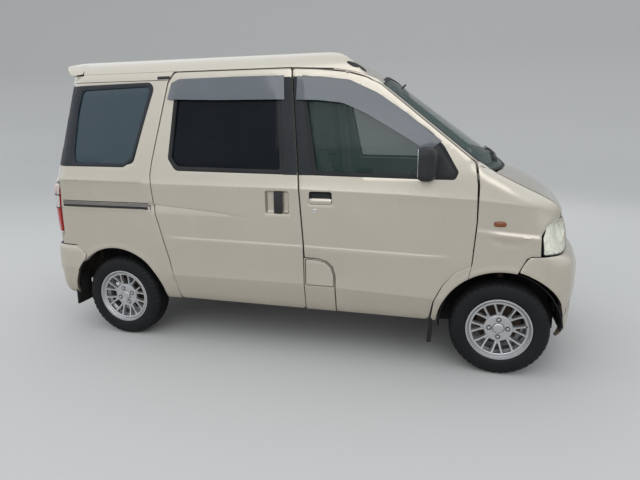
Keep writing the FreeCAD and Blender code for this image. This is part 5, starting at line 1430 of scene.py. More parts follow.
# its inner frame
bm = bmesh.new()
for sgn in (-1, 1):
    rounded_box(bm, (1.36, sgn * 0.50, 1.035), (0.24, 0.05, 0.02), 0.006, Matrix.Rotation(0.42, 3, "Y"))
rounded_box(bm, (1.282, 0, 1.083), (0.03, 0.86, 0.018), 0.006)
rounded_box(bm, (1.49, 0, 0.965), (0.03, 0.60, 0.02), 0.006)
bm_object("bonnet_frame", bm, [PAINT_IN], body="bonnet")

# ------------------------------------------------------------------ front plane between the lamps, and lamps
NOSE_C = [(0, 1.6495), (0.1, 1.638), (0.2, 1.616), (0.3, 1.599), (0.4, 1.584), (0.5, 1.566), (0.56, 1.552), (0.62, 1.531), (0.66, 1.500), (0.70, 1.440)]
NOSE_C = smooth_open([(-a_, b_) for a_, b_ in NOSE_C[1:3][::-1]] + NOSE_C, 0.022)
NOSE_C = NOSE_C[NOSE_C[:, 0] > -0.02]


def front_fn(uv):
    """(y, z) on the nose below the bonnet's edge"""
    y, z = uv[:, 0], uv[:, 1]
    a = np.abs(y)
    x = np.interp(a, NOSE_C[:, 0], NOSE_C[:, 1])
    x = x - 0.060 * np.clip((z - 0.72) / 0.36, 0, 1) * (1 + 0.25 * sstep(0.4, 0.6, a))
    x = x + 0.004 * np.sin(np.clip((z - 0.70) / 0.18, 0, 1) * math.pi)
    return np.stack([x, y, z], 1)


NP = rounded([(-0.326, 0.722, 0.01), (0.326, 0.722, 0.01), (0.326, 0.864, 0.01), (0.0, 0.860, 0), (-0.326, 0.864, 0.01)], 0.012)
NH = rounded([(-0.30, 0.752, 0.014), (0.30, 0.752, 0.014), (0.30, 0.786, 0.014), (-0.30, 0.786, 0.014)], 0.012)
panel("nose_panel_skin", NP, [NH], front_fn, 0.020, [PAINT, PLASTIC, PLASTIC, PLASTIC], "body", grid=0.02)
bm = bmesh.new()
ys_ = np.linspace(-0.312, 0.312, 49)
for zc_, hz, d0, d1 in ((0.763, 0.0022, 0.012, 0.022), (0.776, 0.0022, 0.012, 0.022), (0.769, 0.026, 0.024, 0.027)):
    rows = []
    for y_ in ys_:
        q = front_fn(np.array([[y_, zc_]]))[0]
        rows.append([(q[0] - d0, y_, zc_ - hz), (q[0] - d0, y_, zc_ + hz), (q[0] - d1, y_, zc_ + hz), (q[0] - d1, y_, zc_ - hz)])
    vs = grid_mesh(bm, np.array(rows), close_v=True)
    bm.faces.new(vs[0]); bm.faces.new(vs[-1][::-1])
bm_object("nose_grille_bars", bm, [PLASTIC])

# headlamp: by share u along from the inner end to the rear end, and height
HLC = smooth_open([(1.619, 0.300), (1.612, 0.350), (1.600, 0.425), (1.585, 0.500), (1.568, 0.560), (1.545, 0.615), (1.512, 0.656), (1.471, 0.684), (1.430, 0.700)], 0.012)
hl_s = np.concatenate([[0], np.cumsum(np.linalg.norm(np.diff(HLC, axis=0), axis=1))])


def lamp_fn(sgn, depth=0.0):
    def f(uv):
        s, z = uv[:, 0], uv[:, 1]
        x = np.interp(s, hl_s, HLC[:, 0])
        y = np.interp(s, hl_s, HLC[:, 1])
        tx = np.interp(s, hl_s, np.gradient(HLC[:, 0]))
        ty = np.interp(s, hl_s, np.gradient(HLC[:, 1]))
        L_ = np.hypot(tx, ty)
        nx, ny = ty / L_, -tx / L_
        lean = -0.062 * np.clip((z - 0.74) / 0.17, 0, 1.1) ** 1.6 * (0.85 + 0.15 * sstep(0.15, 0.35, s))
        belly = 0.004
        q = lean + belly - depth
        return np.stack([x + nx * q, sgn * (y + ny * q), z], 1)
    return f


s_end = np.interp(1.447, HLC[::-1, 0], hl_s[::-1])


def s_of_x(x):
    return float(np.interp(x, HLC[::-1, 0], hl_s[::-1]))


def s_of_y(y):
    return float(np.interp(y, HLC[:, 1], hl_s))


HL = [(s_of_y(0.336), 0.714, 0.012), (s_of_y(0.60), 0.711, 0.03), (s_of_x(1.447), 0.711, 0.012), (s_of_x(1.441), 0.80, 0.02), (s_of_x(1.466), 0.858, 0.03), (s_of_x(1.503), 0.886, 0.03),
      (s_of_y(0.606), 0.903, 0.04), (s_of_y(0.52), 0.884, 0.04), (s_of_y(0.43), 0.873, 0.04), (s_of_y(0.336), 0.864, 0.012)]
hl_out = rounded(HL, 0.010)
for side, fn, flip, s in SIDES:
    # right side: s grows towards the rear, the face must look outwards
    panel("headlamp_lens_" + side, inset(hl_out, 0.0015), [], lamp_fn(s), 0.003, [LENS, LENS, LENS], "body", grid=0.016, edge=0.002, flip=(s < 0), smooth=60)
    panel("headlamp_border_" + side, inset(hl_out, -0.0022), [inset(hl_out, 0.0030)], lamp_fn(s, 0.0012), 0.05, [PLASTIC, PLASTIC, PLASTIC], "body", grid=0.03, edge=0.001, flip=(s < 0), smooth=50)
    # housing behind the lens: bright bowl, amber part at the outer end
    bm = bmesh.new()
    c_out = inset(hl_out, 0.006)
    f0 = lamp_fn(s, 0.006)
    base, F = fill(c_out, [], 0.016)
    P = f0(base)
    dcen = dist_to(base, c_out)
    back = lamp_fn(s, 0.052)(base)
    k = sstep(0, 0.030, dcen)[:, None]
    P = P * (1 - k) + back * k
    # faces of the housing, dished back towards its middle
    vs = [bm.verts.new(p) for p in P]
    for t in F:
        try:
            f = bm.faces.new([vs[i] for i in t])
        except ValueError:
            pass
    bm_object("headlamp_housing_" + side, bm, [REFLECTOR], smooth=60)
    # main bowl and bulb shield
    q = f0(np.array([[s_of_y(0.480), 0.800]]))[0]
    ax = Vector((0.93, s * 0.36, 0.05)).normalized()
    rot = ax.to_track_quat("Z", "Y").to_matrix()
    bm = bmesh.new()
    prof = [(0.060, 0.0), (0.058, -0.010), (0.048, -0.026), (0.030, -0.038), (0.012, -0.044), (0.0001, -0.045)]
    P = np.zeros((len(prof), 40, 3))
    for i, (r_, h_) in enumerate(prof):
        for j in range(40):
            a = 2 * math.pi * j / 40
            v = rot @ Vector((r_ * math.cos(a) * 1.15, r_ * math.sin(a), h_))
            P[i, j] = (q[0] - 0.014 + v.x, q[1] + v.y, q[2] + v.z)
    grid_mesh(bm, P, close_v=True)
    prof = [(0.0001, 0.004), (0.010, 0.002), (0.013, -0.006), (0.013, -0.030), (0.0001, -0.032)]
    P = np.zeros((len(prof), 20, 3))
    for i, (r_, h_) in enumerate(prof):
        for j in range(20):
            a = 2 * math.pi * j / 20
            v = rot @ Vector((r_ * math.cos(a), r_ * math.sin(a), h_))
            P[i, j] = (q[0] - 0.016 + v.x, q[1] + v.y, q[2] + v.z)
    grid_mesh(bm, P, close_v=True)
    bm_object("headlamp_bowl_" + side, bm, [REFLECTOR], smooth=60)
    am = rounded([(s_of_y(0.346), 0.738, 0.008), (s_of_y(0.392), 0.738, 0.008), (s_of_y(0.392), 0.860, 0.008), (s_of_y(0.346), 0.857, 0.008)], 0.008)
    panel("headlamp_amber_" + side, am, [], lamp_fn(s, 0.009), 0.012, [AMBER, AMBER, AMBER], "body", grid=0.012, edge=0.002, flip=(s < 0), smooth=60)

# ------------------------------------------------------------------ windscreen, cowl, pillars, roof
def ws_x(y, z, back=0.0):
    xc = 1.2023 + (0.5105 - 1.2023) * (z - 1.19) / 0.51
    sw = 0.134 * (np.minimum(np.abs(y), 0.66) / 0.7) ** 3.3
    return xc - sw - back


def ws_half(z):
    return 0.6405 + (0.5592 - 0.6405) * (z - 1.19) / 0.51


def ws_top(y):
    return 1.662 - 0.058 * (np.abs(y) / 0.57) ** 2.6


def ws_rows(nu, nv, grow=0.0, back=0.0, low=1.150):
    P = np.zeros((nv, nu, 3))
    for j, u in enumerate(np.linspace(-1, 1, nu)):
        # the top corner is rounded
        yt = (ws_half(1.61) + grow) * u
        zt = ws_top(yt) + grow - 0.030 * max(0.0, (abs(u) - 0.93) / 0.07) ** 2
        for i, v in enumerate(np.linspace(0, 1, nv)):
            z = low + (zt - low) * v
            y = u * (ws_half(z) + grow)
            P[i, j] = (ws_x(y, z, back), y, z)
    return P


WSP = ws_rows(57, 40, 0.0, 0.002)
sheet_object("windscreen_glass", WSP, 0.005, [GLASS_SCREEN, GLASS_SCREEN, GLASS_SCREEN], down=(-1, 0, 0), smooth=60)
# black print along the glass's edge and its rubber
def ring_band(name, outer_rows, inner_rows, mat, thick=0.003):
    def rim(P):
        return np.vstack([P[0, :], P[1:, -1], P[-1, -2::-1], P[-2:0:-1, 0]])
    A, B = rim(outer_rows), rim(inner_rows)
    n = len(A)
    bm = bmesh.new()
    nn = np.array([0.80, 0, 0.60]) * thick
    rows = np.stack([A, B, B - nn, A - nn])
    grid_mesh(bm, rows, close_u=True, close_v=True)
    return bm_object(name, bm, [mat], smooth=40)


def ws_inner(nu, nv, side_in, top_in, low_in, back):
    P = np.zeros((nv, nu, 3))
    for j, u in enumerate(np.linspace(-1, 1, nu)):
        yt = (ws_half(1.61) - side_in) * u
        zt = ws_top(yt) - top_in - 0.024 * max(0.0, (abs(u) - 0.93) / 0.07) ** 2
        lo = 1.150 + low_in
        for i, v in enumerate(np.linspace(0, 1, nv)):
            z = lo + (zt - lo) * v
            y = u * (ws_half(z) - side_in)
            P[i, j] = (ws_x(y, z, back), y, z)
    return P


ring_band("windscreen_print", ws_inner(57, 40, 0.001, 0.001, 0.0, 0.0078), ws_inner(57, 40, 0.026, 0.040, 0.060, 0.0078), GLOSS_BLACK, 0.001)
ring_band("windscreen_rubber", ws_inner(57, 40, -0.011, -0.009, -0.006, -0.0005), ws_inner(57, 40, 0.006, 0.006, 0.004, -0.0025), RUBBER, 0.014)

# A pillar and the strip up to the roof: across from the door's gap to the glass
door_edge = np.array([(1.0935, 1.170), (1.088, 1.192), (1.078, 1.2005), (0.960, 1.2945), (0.830, 1.3995), (0.700, 1.5035), (0.580, 1.598), (0.54, 1.6185), (0.494, 1.6425), (0.44, 1.659), (0.388, 1.6735), (0.30, 1.686)])
door_edge = smooth_open(door_edge, 0.010)
seam = [(0.617, 1.592), (0.563, 1.6175), (0.496, 1.6455), (0.429, 1.6655), (0.343, 1.6825), (0.30, 1.689)]
for side, fn, flip, s in SIDES:
    rows = []
    n = len(door_edge)
    for i in range(0, n, 3):
        x, z = door_edge[i]
        p0 = np.array([x, float(half(np.array([x]), np.array([z]), False)[0]), z])
        if z < 1.597 and x > 0.585:
            y1 = ws_half(z) + 0.010
            p1 = np.array([ws_x(y1, z, -0.001), y1, z])
            d0 = np.array([0.75, -0.42, 0.10])
            d1 = np.array([0.30, -0.93, 0.10])
        else:
            x1 = x + 0.002
            z1 = float(np.interp(x, [p[0] for p in seam][::-1], [p[1] for p in seam][::-1])) + 0.0015
            z1 = max(z1, z + 0.002)
            y1 = float(section_half(z1)) - 0.001
            p1 = np.array([x1, y1, z1])
            d0 = np.array([0.05, -0.25, 0.95])
            d1 = np.array([0.0, -0.40, 0.92])
        L_ = np.linalg.norm(p1 - p0)
        row = []
        for t in np.linspace(0, 1, 9):
            h00, h10, h01, h11 = 2 * t ** 3 - 3 * t * t + 1, t ** 3 - 2 * t * t + t, -2 * t ** 3 + 3 * t * t, t ** 3 - t * t
            p = h00 * p0 + h10 * d0 * L_ + h01 * p1 + h11 * d1 * L_
            row.append(p)
        rows.append(row)
    P = np.array(rows)
    # blend the two kinds of rows where they meet
    for _ in range(4):
        P[1:-1, 1:] = 0.25 * P[:-2, 1:] + 0.5 * P[1:-1, 1:] + 0.25 * P[2:, 1:]
    P[:, :, 1] *= s
    sheet_object("front_pillar_" + side, P, 0.012, [PAINT, PAINT_IN, PAINT_IN], down=(-0.5, -s, -0.2), smooth=50)

# roof skin: by x and by length along the section from the middle
def sec_at(s):
    return np.interp(s, sec_s, sec_r[:, 0]), np.interp(s, sec_s, sec_r[:, 1])


def s_for_z(z):
    k = sec_s > 0.45
    return np.interp(-z, -sec_r[k, 1], sec_s[k])


def roof_point(x, s_signed):
    s = np.abs(s_signed)
    y, z = sec_at(s)
    top = top_line(x)
    a = np.clip(y / 0.57, 0, 1.1)
    top = top - 0.046 * a ** 2.6 * sstep(0.30, 0.585, x)
    rear_drop = 0.0
    z2 = smin(z, top, 0.012)
    return np.stack([x + 0 * z2, np.sign(s_signed) * y, z2], -1)


def roof_side_z(x):
    return line(x, [(-1.32, 1.7068), (-0.70, 1.7068), (-0.66, 1.7065), (0.06, 1.7055), (0.071, 1.7045), (0.223, 1.6965), (0.30, 1.6925), (0.343, 1.6865), (0.429, 1.6695), (0.496, 1.6495), (0.563, 1.6215), (0.60, 1.603)])


def roof_rows(nu, nv):
    P = np.zeros((nv, nu, 3))
    us = np.sin(np.linspace(-1, 1, nu) * math.pi / 2 * 0.0 + 0) if False else np.linspace(-1, 1, nu)
    for j, u in enumerate(us):
        # front end of this line: the glass's top edge
        x_front = None
        for i, v in enumerate(np.linspace(0, 1, nv)):
            yy = 0.575 * abs(u)
            xf = float(ws_x(np.array(yy), ws_top(np.array(yy)) + 0.004, -0.012)) - 0.004
            x = -1.3145 + (xf + 1.3145) * v
            smax = float(s_for_z(roof_side_z(np.array(x))))
            P[i, j] = roof_point(np.array(x), np.array(u * smax))
    return P


RP = roof_rows(81 if not QUICK else 41, 90 if not QUICK else 45)
# four faint stiffening channels along the roof
for i in range(RP.shape[0]):
    for j in range(RP.shape[1]):
        x, y, z = RP[i, j]
        w = float(sstep(-1.22, -1.15, x) * (1 - sstep(0.02, 0.12, x)))
        for yc in (-0.36, -0.12, 0.12, 0.36):
            RP[i, j, 2] -= 0.0035 * w * math.exp(-((y - yc) / 0.022) ** 2)
sheet_object("roof_skin", with_edges(RP, depth=0.005), 0.016, [PAINT, PAINT_IN, HEADLINER], down=(0, 0, -1), smooth=50)
# lining under the roof
LP = RP[2:-2, 6:-6] - np.array([0, 0, 0.034])
sheet_object("roof_lining", LP, 0.004, [HEADLINER, HEADLINER, HEADLINER], down=(0, 0, -1), smooth=60)

# cowl between bonnet and glass
def cowl_rows():
    nu, nv = 61, 9
    P = np.zeros((nv, nu, 3))
    for j, u in enumerate(np.linspace(-1, 1, nu)):
        y = 0.632 * u
        xb = float(line(np.array(abs(y)), [(0, 1.258), (0.300, 1.246), (0.500, 1.218), (0.636, 1.190)])) + 0.004
        zb = float(bonnet_height(np.array(xb), np.array(y))) - 0.016
        yg = min(abs(y), 0.632) * (1 if y >= 0 else -1)
        zg = 1.176
        xg = float(ws_x(np.array(yg), np.array(zg), 0.0)) + 0.002
        for i, v in enumerate(np.linspace(0, 1, nv)):
            x = xb + (xg - xb) * v
            z = zb + (zg - zb) * v - 0.012 * math.sin(math.pi * v) + (0.006 * max(0, 1 - abs(v - 0.97) / 0.05))
            P[i, j] = (x, y, z)
    return P


sheet_object("cowl_top", cowl_rows(), 0.006, [PLASTIC, PLASTIC, PLASTIC], down=(0, 0, -1), smooth=40)
bm = bmesh.new()
for k in range(40):
    y = -0.56 + 1.12 * k / 39
    a = abs(y)
    xb = float(line(np.array(a), [(0, 1.258), (0.300, 1.246), (0.500, 1.218), (0.636, 1.190)]))
    zb = float(bonnet_height(np.array(xb), np.array(y))) - 0.016
    xg = float(ws_x(np.array(y), np.array(1.176)))
    xm, zm = (xb + xg) / 2 + 0.008, (zb + 1.176) / 2 - 0.006
    rounded_box(bm, (xm, y, zm), (max(0.016, (xb - xg) * 0.5), 0.005, 0.004), 0.001, Matrix.Rotation(0.5, 3, "Y"), seg=1)
bm_object("cowl_louvres", bm, [PLASTIC])


def rod_between(bm, a, b, r, n=10, r2=None):
    a, b = Vector(a), Vector(b)
    d = (b - a).normalized()
    q = d.to_track_quat("Z", "Y").to_matrix()
    P = np.zeros((2, n, 3))
    for i, (p, rr) in enumerate(((a, r), (b, r2 if r2 is not None else r))):
        for j in range(n):
            t = 2 * math.pi * j / n
            v = q @ Vector((rr * math.cos(t), rr * math.sin(t), 0))
            P[i, j] = p + v
    vs = grid_mesh(bm, P, close_v=True)
    bm.faces.new(vs[0][::-1])
    bm.faces.new(vs[1])


# dark corners between the pillar's foot, the fender and the cowl
bm = bmesh.new()
for sgn in (-1, 1):
    top = [(1.086, 0.694), (1.120, 0.684), (1.150, 0.660), (1.196, 0.636), (1.205, 0.620), (1.120, 0.618), (1.092, 0.640)]
    rows = []
    for dz in (-0.05, -0.004):
        rows.append([(a_, sgn * b_, 1.186 - (a_ - 1.09) * 0.46 + dz) for a_, b_ in top])
    vs = grid_mesh(bm, np.array(rows), close_v=True)
    bm.faces.new(vs[0]); bm.faces.new(vs[-1][::-1])
bm_object("cowl_corners", bm, [PLASTIC], smooth=30)

# two wipers, parked along the glass's foot
def on_glass(y, z, up):
    x = float(ws_x(np.array(y), np.array(z)))
    return Vector((x, y, z)) + Vector((0.593, 0, 0.805)).normalized() * up


for k, (py, ty) in enumerate(((-0.42, 0.10), (0.12, 0.56))):
    bm = bmesh.new()
    pivot = on_glass(py, 1.183, 0.004) + Vector((0.001, 0, -0.002))
    P = [(0.0001, 0.012), (0.009, 0.011), (0.012, 0.004), (0.012, -0.012)]
    rows = np.array([[(pivot.x + r_ * math.cos(t), pivot.y + r_ * math.sin(t), pivot.z + h_) for t in np.linspace(0, 2 * math.pi, 20, endpoint=False)] for r_, h_ in P])
    grid_mesh(bm, rows, close_v=True)
    mid = on_glass(py + 0.62 * (ty - py), 1.205, 0.017)
    rounded = rounded
    rod_between(bm, pivot + Vector((0, 0, 0.008)), pivot.lerp(mid, 0.5) + Vector((0.004, 0, 0.006)), 0.007, 10, 0.0055)
    rod_between(bm, pivot.lerp(mid, 0.5) + Vector((0.004, 0, 0.006)), mid, 0.0055, 10, 0.004)
    a, b = on_glass(py + 0.16, 1.186, 0.010), on_glass(ty + 0.10, 1.200, 0.010)
    rod_between(bm, a.lerp(b, 0.22) + Vector((0.004, 0, 0.005)), a.lerp(b, 0.78) + Vector((0.004, 0, 0.005)), 0.0032, 8)
    rod_between(bm, a, b, 0.0030, 8)
    # blade
    n = 24
    rows = []
    for i in range(n + 1):
        c = a.lerp(b, i / n)
        c = on_glass(c.y, c.z, 0.0)
        nn = Vector((0.593, 0, 0.805)).normalized()
        rows.append([tuple(c + nn * 0.009 + Vector((0.003, 0, -0.0025))), tuple(c + nn * 0.009 - Vector((0.003, 0, -0.0025))), tuple(c + nn * 0.001)])
    vs = grid_mesh(bm, np.array(rows), close_v=True)
    bm.faces.new(vs[0])
    bm.faces.new(vs[-1][::-1])
    bm_object("wiper_%d" % (k + 1), bm, [PLASTIC], smooth=50)

# ------------------------------------------------------------------ tailgate: (y, z) to x by turning the side table round
XT_Y = np.arange(0.0, 0.7321, 0.004)
XT = np.zeros((len(XT_Y), len(TZ)))
for j in range(len(TZ)):
    col = YT[:, j]
    k = TX < -1.15
    xs, ys = TX[k], np.maximum.accumulate(col[k])
    ys = ys + np.arange(len(ys)) * 1e-7
    XT[:, j] = np.interp(XT_Y, ys, xs)
for _ in range(3):
    XT[:, 1:-1] = 0.25 * XT[:, :-2] + 0.5 * XT[:, 1:-1] + 0.25 * XT[:, 2:]
    XT[1:-1] = 0.25 * XT[:-2] + 0.5 * XT[1:-1] + 0.25 * XT[2:]


def tail_x(y, z):
    u = np.clip(np.abs(y) / 0.004, 0, len(XT_Y) - 1.001)
    v = np.clip((z - TZ[0]) / 0.005, 0, len(TZ) - 1.001)
    i, j = u.astype(int), v.astype(int)
    a, b = u - i, v - j
    return XT[i, j] * (1 - a) * (1 - b) + XT[i + 1, j] * a * (1 - b) + XT[i, j + 1] * (1 - a) * b + XT[i + 1, j + 1] * a * b


def tail_shape(y, z):
    """pressed forms of the tailgate, outwards positive"""
    a = np.abs(y)
    d = np.zeros_like(y)
    # crease below the glass and the sunken field of the plate
    zc = 1.050
    w = 1 - sstep(0.54, 0.66, a)
    d += 0.008 * np.exp(-np.clip(zc - z, 0, 1) / 0.05) * (z <= zc) * w + 0.008 * (1 - sstep(0, 0.06, z - zc)) * (z > zc) * w
    field = sstep(0.30, 0.28, a) * sstep(0.668, 0.690, z) * (1 - sstep(0.860, 0.885, z))
    d += -0.014 * field
    d += 0.0035 * np.exp(-((z - 0.655) / 0.012) ** 2) * (a < 0.56)
    return d


def tail_fn(uv):
    y, z = uv[:, 0], uv[:, 1]
    x = tail_x(y, z) - tail_shape(y, z)
    return np.stack([x, y, z], 1)


def y_of_edge(z):
    x = float(line(np.array(z), [(b * MM, a * MM) for a, b in TAILGATE_EDGE]))
    return float(table(YT, np.array([x]), np.array([z]))[0])


tg = []
for z in np.linspace(1.040, 1.700, 28):
    tg.append((y_of_edge(z) - 0.001, z, 0.0))
tg_right = [(0.566, 0.644, 0.012), (0.566, 1.036, 0.004)] + [(min(y, 0.7255), z, 0.0) for y, z, r_ in tg] + [(0.585, 1.712, 0.03)]
tg_out = rounded([(a, b, c) for a, b, c in tg_right] + [(-a, b, c) for a, b, c in tg_right[::-1]], 0.012)
RG = [(545, 1165, 45), (500, 1625, 45), (-500, 1625, 45), (-545, 1165, 45)]
rg = rounded(mm(RG), 0.012)
TG_CUTS = [[(sg_ * 0.500, 1.146), (sg_ * 0.740, 1.146)] for sg_ in (-1, 1)] + [[(sg_ * 0.480, 1.640), (sg_ * 0.660, 1.640)] for sg_ in (-1, 1)]


def gate_black(c):
    y, z = np.abs(c[:, 0]), c[:, 1]
    return (z > 1.146) & (z < 1.640) & (y > 0.485)


panel("tailgate_skin", tg_out, [rg], tail_fn, 0.045, [PAINT, PAINT_IN, TRIM_IN, BAND_M], "tailgate", grid=G, flip=True, split=gate_black, cuts=TG_CUTS)


def tail_off(d):
    def f(uv):
        y, z = uv[:, 0], uv[:, 1]
        return np.stack([tail_x(y, z) - tail_shape(y, z) * 0.3 + d, y, z], 1)
    return f


panel("tailgate_glass", inset(rg, -0.012), [], tail_off(0.004), 0.004, [GLASS_DARK, GLASS_DARK, GLASS_DARK], "tailgate", grid=0.04, edge=0.001, flip=True, smooth=60)
panel("tailgate_glass_rubber", inset(rg, -0.016), [inset(rg, 0.014)], tail_off(-0.0025), 0.014, [RUBBER, RUBBER, RUBBER], "tailgate", grid=0.03, edge=0.002, flip=True, smooth=50)
# heater lines
bm = bmesh.new()
for i in range(11):
    z = 1.235 + 0.033 * i
    w_ = 0.46 - 0.03 * (z - 1.2)
    ys = np.linspace(-w_, w_, 30)
    pts = tail_off(0.0082)(np.stack([ys, np.full(30, z)], 1))
    rows = []
    for p in pts:
        rows.append([(p[0], p[1], p[2] - 0.0008), (p[0] + 0.0008, p[1], p[2]), (p[0], p[1], p[2] + 0.0008), (p[0] - 0.0004, p[1], p[2])])
    vs = grid_mesh(bm, np.array(rows), close_v=True)
    bm.faces.new(vs[0]); bm.faces.new(vs[-1][::-1])
bm_object("tailgate_heater_lines", bm, [CAST], body="tailgate")
# rear wiper
bm = bmesh.new()


def on_tail(y, z, up):
    p = tail_fn(np.array([[y, z]]))[0]
    return Vector((p[0] - up * 0.97, p[1], p[2] + up * 0.25))


pv = on_tail(0.0, 1.128, 0.0)
rows = [[(pv.x - h_, pv.y + r_ * math.cos(t), pv.z + r_ * math.sin(t)) for t in np.linspace(0, 2 * math.pi, 24, endpoint=False)] for h_, r_ in ((0.001, 0.026), (0.016, 0.024), (0.026, 0.016), (0.028, 0.0001))]
grid_mesh(bm, np.array(rows), close_v=True)
rod_between(bm, on_tail(0.0, 1.128, 0.020), on_tail(-0.16, 1.185, 0.022), 0.0075, 10, 0.005)
rod_between(bm, on_tail(-0.16, 1.185, 0.022), on_tail(-0.235, 1.208, 0.016), 0.005, 10, 0.004)
rod_between(bm, on_tail(-0.08, 1.190, 0.012), on_tail(-0.38, 1.222, 0.012), 0.0035, 10)
rod_between(bm, on_tail(-0.08, 1.184, 0.0085), on_tail(-0.38, 1.216, 0.0085), 0.0022, 8)
bm_object("rear_wiper", bm, [PLASTIC], body="tailgate", smooth=50)
# handle strip with the plate lamps, and the blank plate
bm = bmesh.new()
hx = float(tail_x(np.array([0.0]), np.array([0.9]))[0])
P = []
for y in np.linspace(-0.25, 0.25, 30):
    e = 1 - 0.25 * (abs(y) / 0.25) ** 6
    P.append([(hx - 0.002, y, 0.905), (hx - 0.020 * e, y, 0.900), (hx - 0.030 * e, y, 0.884), (hx - 0.026 * e, y, 0.868), (hx - 0.004, y, 0.866), (hx + 0.010, y, 0.885)])
vs = grid_mesh(bm, np.array(P), close_v=True)
bm.faces.new(vs[0][::-1]); bm.faces.new(vs[-1])
bm_object("tailgate_handle_strip", bm, [PAINT], body="tailgate", smooth=50)
bm = bmesh.new()
px = float(tail_fn(np.array([[0.0, 0.765]]))[0][0])
rounded_box(bm, (px - 0.004, 0, 0.765), (0.003, 0.33, 0.165), 0.001, seg=2)
for a, b, sx, sz in ((0, 0.077, 0.326, 0.004), (0, -0.077, 0.326, 0.004)):
    rounded_box(bm, (px - 0.0055, a, 0.765 + b), (0.003, sx, sz), 0.0012, seg=1)
for sgn in (-1, 1):
    rounded_box(bm, (px - 0.0055, sgn * 0.161, 0.765), (0.003, 0.004, 0.155), 0.0012, seg=1)
bm_object("rear_plate_blank", bm, [PLATE], body="tailgate")
bm = bmesh.new()
for sgn in (-1, 1):
    for q in range(1):
        rows = [[(px - 0.0055 - h_, sgn * 0.105 + r_ * math.cos(t), 0.765 + r_ * math.sin(t)) for t in np.linspace(0, 2 * math.pi, 16, endpoint=False)] for h_, r_ in ((0, 0.0085), (0.002, 0.0085), (0.003, 0.006), (0.003, 0.0001))]
        grid_mesh(bm, np.array(rows), close_v=True)
bm_object("rear_plate_screws", bm, [CHROME], body="tailgate")
bm = bmesh.new()
for sgn in (-1, 1):
    rounded_box(bm, (hx - 0.017, sgn * 0.09, 0.8655), (0.016, 0.05, 0.005), 0.002)
bm_object("plate_lamps", bm, [WHITE_LENS], body="tailgate")

# the spoiler on the tailgate's top: its sides carry on the roof's sides, its underside meets the gate
SP_M = [(-1.3190, 1.826), (-1.3190, 1.716), (-1.385, 1.7155), (-1.445, 1.7150), (-1.520, 1.7155), (-1.5375, 1.738), (-1.5330, 1.762), (-1.480, 1.793), (-1.400, 1.8155)]
SP_E = [(-1.3190, 1.790), (-1.3190, 1.7115), (-1.352, 1.7075), (-1.402, 1.7020), (-1.424, 1.716), (-1.461, 1.757), (-1.4600, 1.770), (-1.425, 1.785), (-1.370, 1.790)]
SP_Y = [0.576, 0.6235, 0.6240, 0.6245, 0.6195, 0.5900, 0.5800, 0.5760, 0.5740]
TOP_Y, TOP_Z = sec_r[:, 0], sec_r[:, 1]
rows = []
for u in np.sin(np.linspace(-1, 1, 57) * math.pi / 2):
    a = abs(u)
    w = float(sstep(0.40, 1.0, a)) ** 1.4
    row = []
    for (xm_, zm_), (xe_, ze_), ye_ in zip(SP_M, SP_E, SP_Y):
        x = xm_ + (xe_ - xm_) * w
        z = zm_ + (ze_ - zm_) * w
        y = ye_ * u
        if zm_ > 1.75:
            z = float(smin(np.array(z), np.interp(abs(y), TOP_Y, TOP_Z) - 0.001, 0.006))
            z = min(z, float(top_line(np.array(x))) - 0.001 if x > -1.36 else z)
        row.append((x, y, z))
    rows.append(row)
bm = bmesh.new()
vs = grid_mesh(bm, np.array(rows), close_v=True)
bm.faces.new(vs[0]); bm.faces.new(vs[-1][::-1])
bmesh.ops.recalc_face_normals(bm, faces=bm.faces)
sharp = [e for e in bm.edges if len(e.link_faces) == 2 and e.calc_face_angle() > math.radians(42)]
bmesh.ops.bevel(bm, geom=sharp, offset=0.0045, segments=2, profile=0.5, affect="EDGES")
bm_object("tailgate_spoiler", bm, [PAINT], body="tailgate", smooth=40)
bm = bmesh.new()
rounded_box(bm, (-1.5345, 0, 1.748), (0.012, 0.16, 0.015), 0.004)
bm_object("high_stop_lamp", bm, [RED], body="tailgate")

# ------------------------------------------------------------------ tail lamps: by share round the corner and height
REAR_C = smooth_open([(-1.6535, 0.560), (-1.6400, 0.600), (-1.6265, 0.640), (-1.6050, 0.675), (-1.5790, 0.700), (-1.5450, 0.7155), (-1.500, 0.721)], 0.010)
RC_S = np.concatenate([[0], np.cumsum(np.linalg.norm(np.diff(REAR_C, axis=0), axis=1))])


def tl_s(x):
    return float(np.interp(x, REAR_C[:, 0], RC_S))


def tl_y(y):
    return float(np.interp(y, REAR_C[:, 1], RC_S))


def tail_lamp_fn(sgn, depth=0.0):
    def f(uv):
        s, z = uv[:, 0], uv[:, 1]
        x = np.interp(s, RC_S, REAR_C[:, 0])
        y = np.interp(s, RC_S, REAR_C[:, 1])
        tx = np.interp(s, RC_S, np.gradient(REAR_C[:, 0]))
        ty = np.interp(s, RC_S, np.gradient(REAR_C[:, 1]))
        L_ = np.hypot(tx, ty)
        nx, ny = -ty / L_, tx / L_
        q = 0.004 * np.sin(np.clip((z - 0.70) / 0.33, 0, 1) * math.pi) - depth - 0.010 * sstep(0.98, 1.04, z)
        return np.stack([x + nx * q, sgn * (y + ny * q), z], 1)
    return f


TL = [(tl_y(0.578), 0.706, 0.010), (tl_s(-1.549), 0.706, 0.010), (tl_s(-1.545), 0.865, 0.01), (tl_s(-1.531), 1.026, 0.012), (tl_y(0.578), 1.026, 0.012)]
tl = rounded(TL, 0.008)


def tl_split(c):
    return c[:, 1] > 0.868


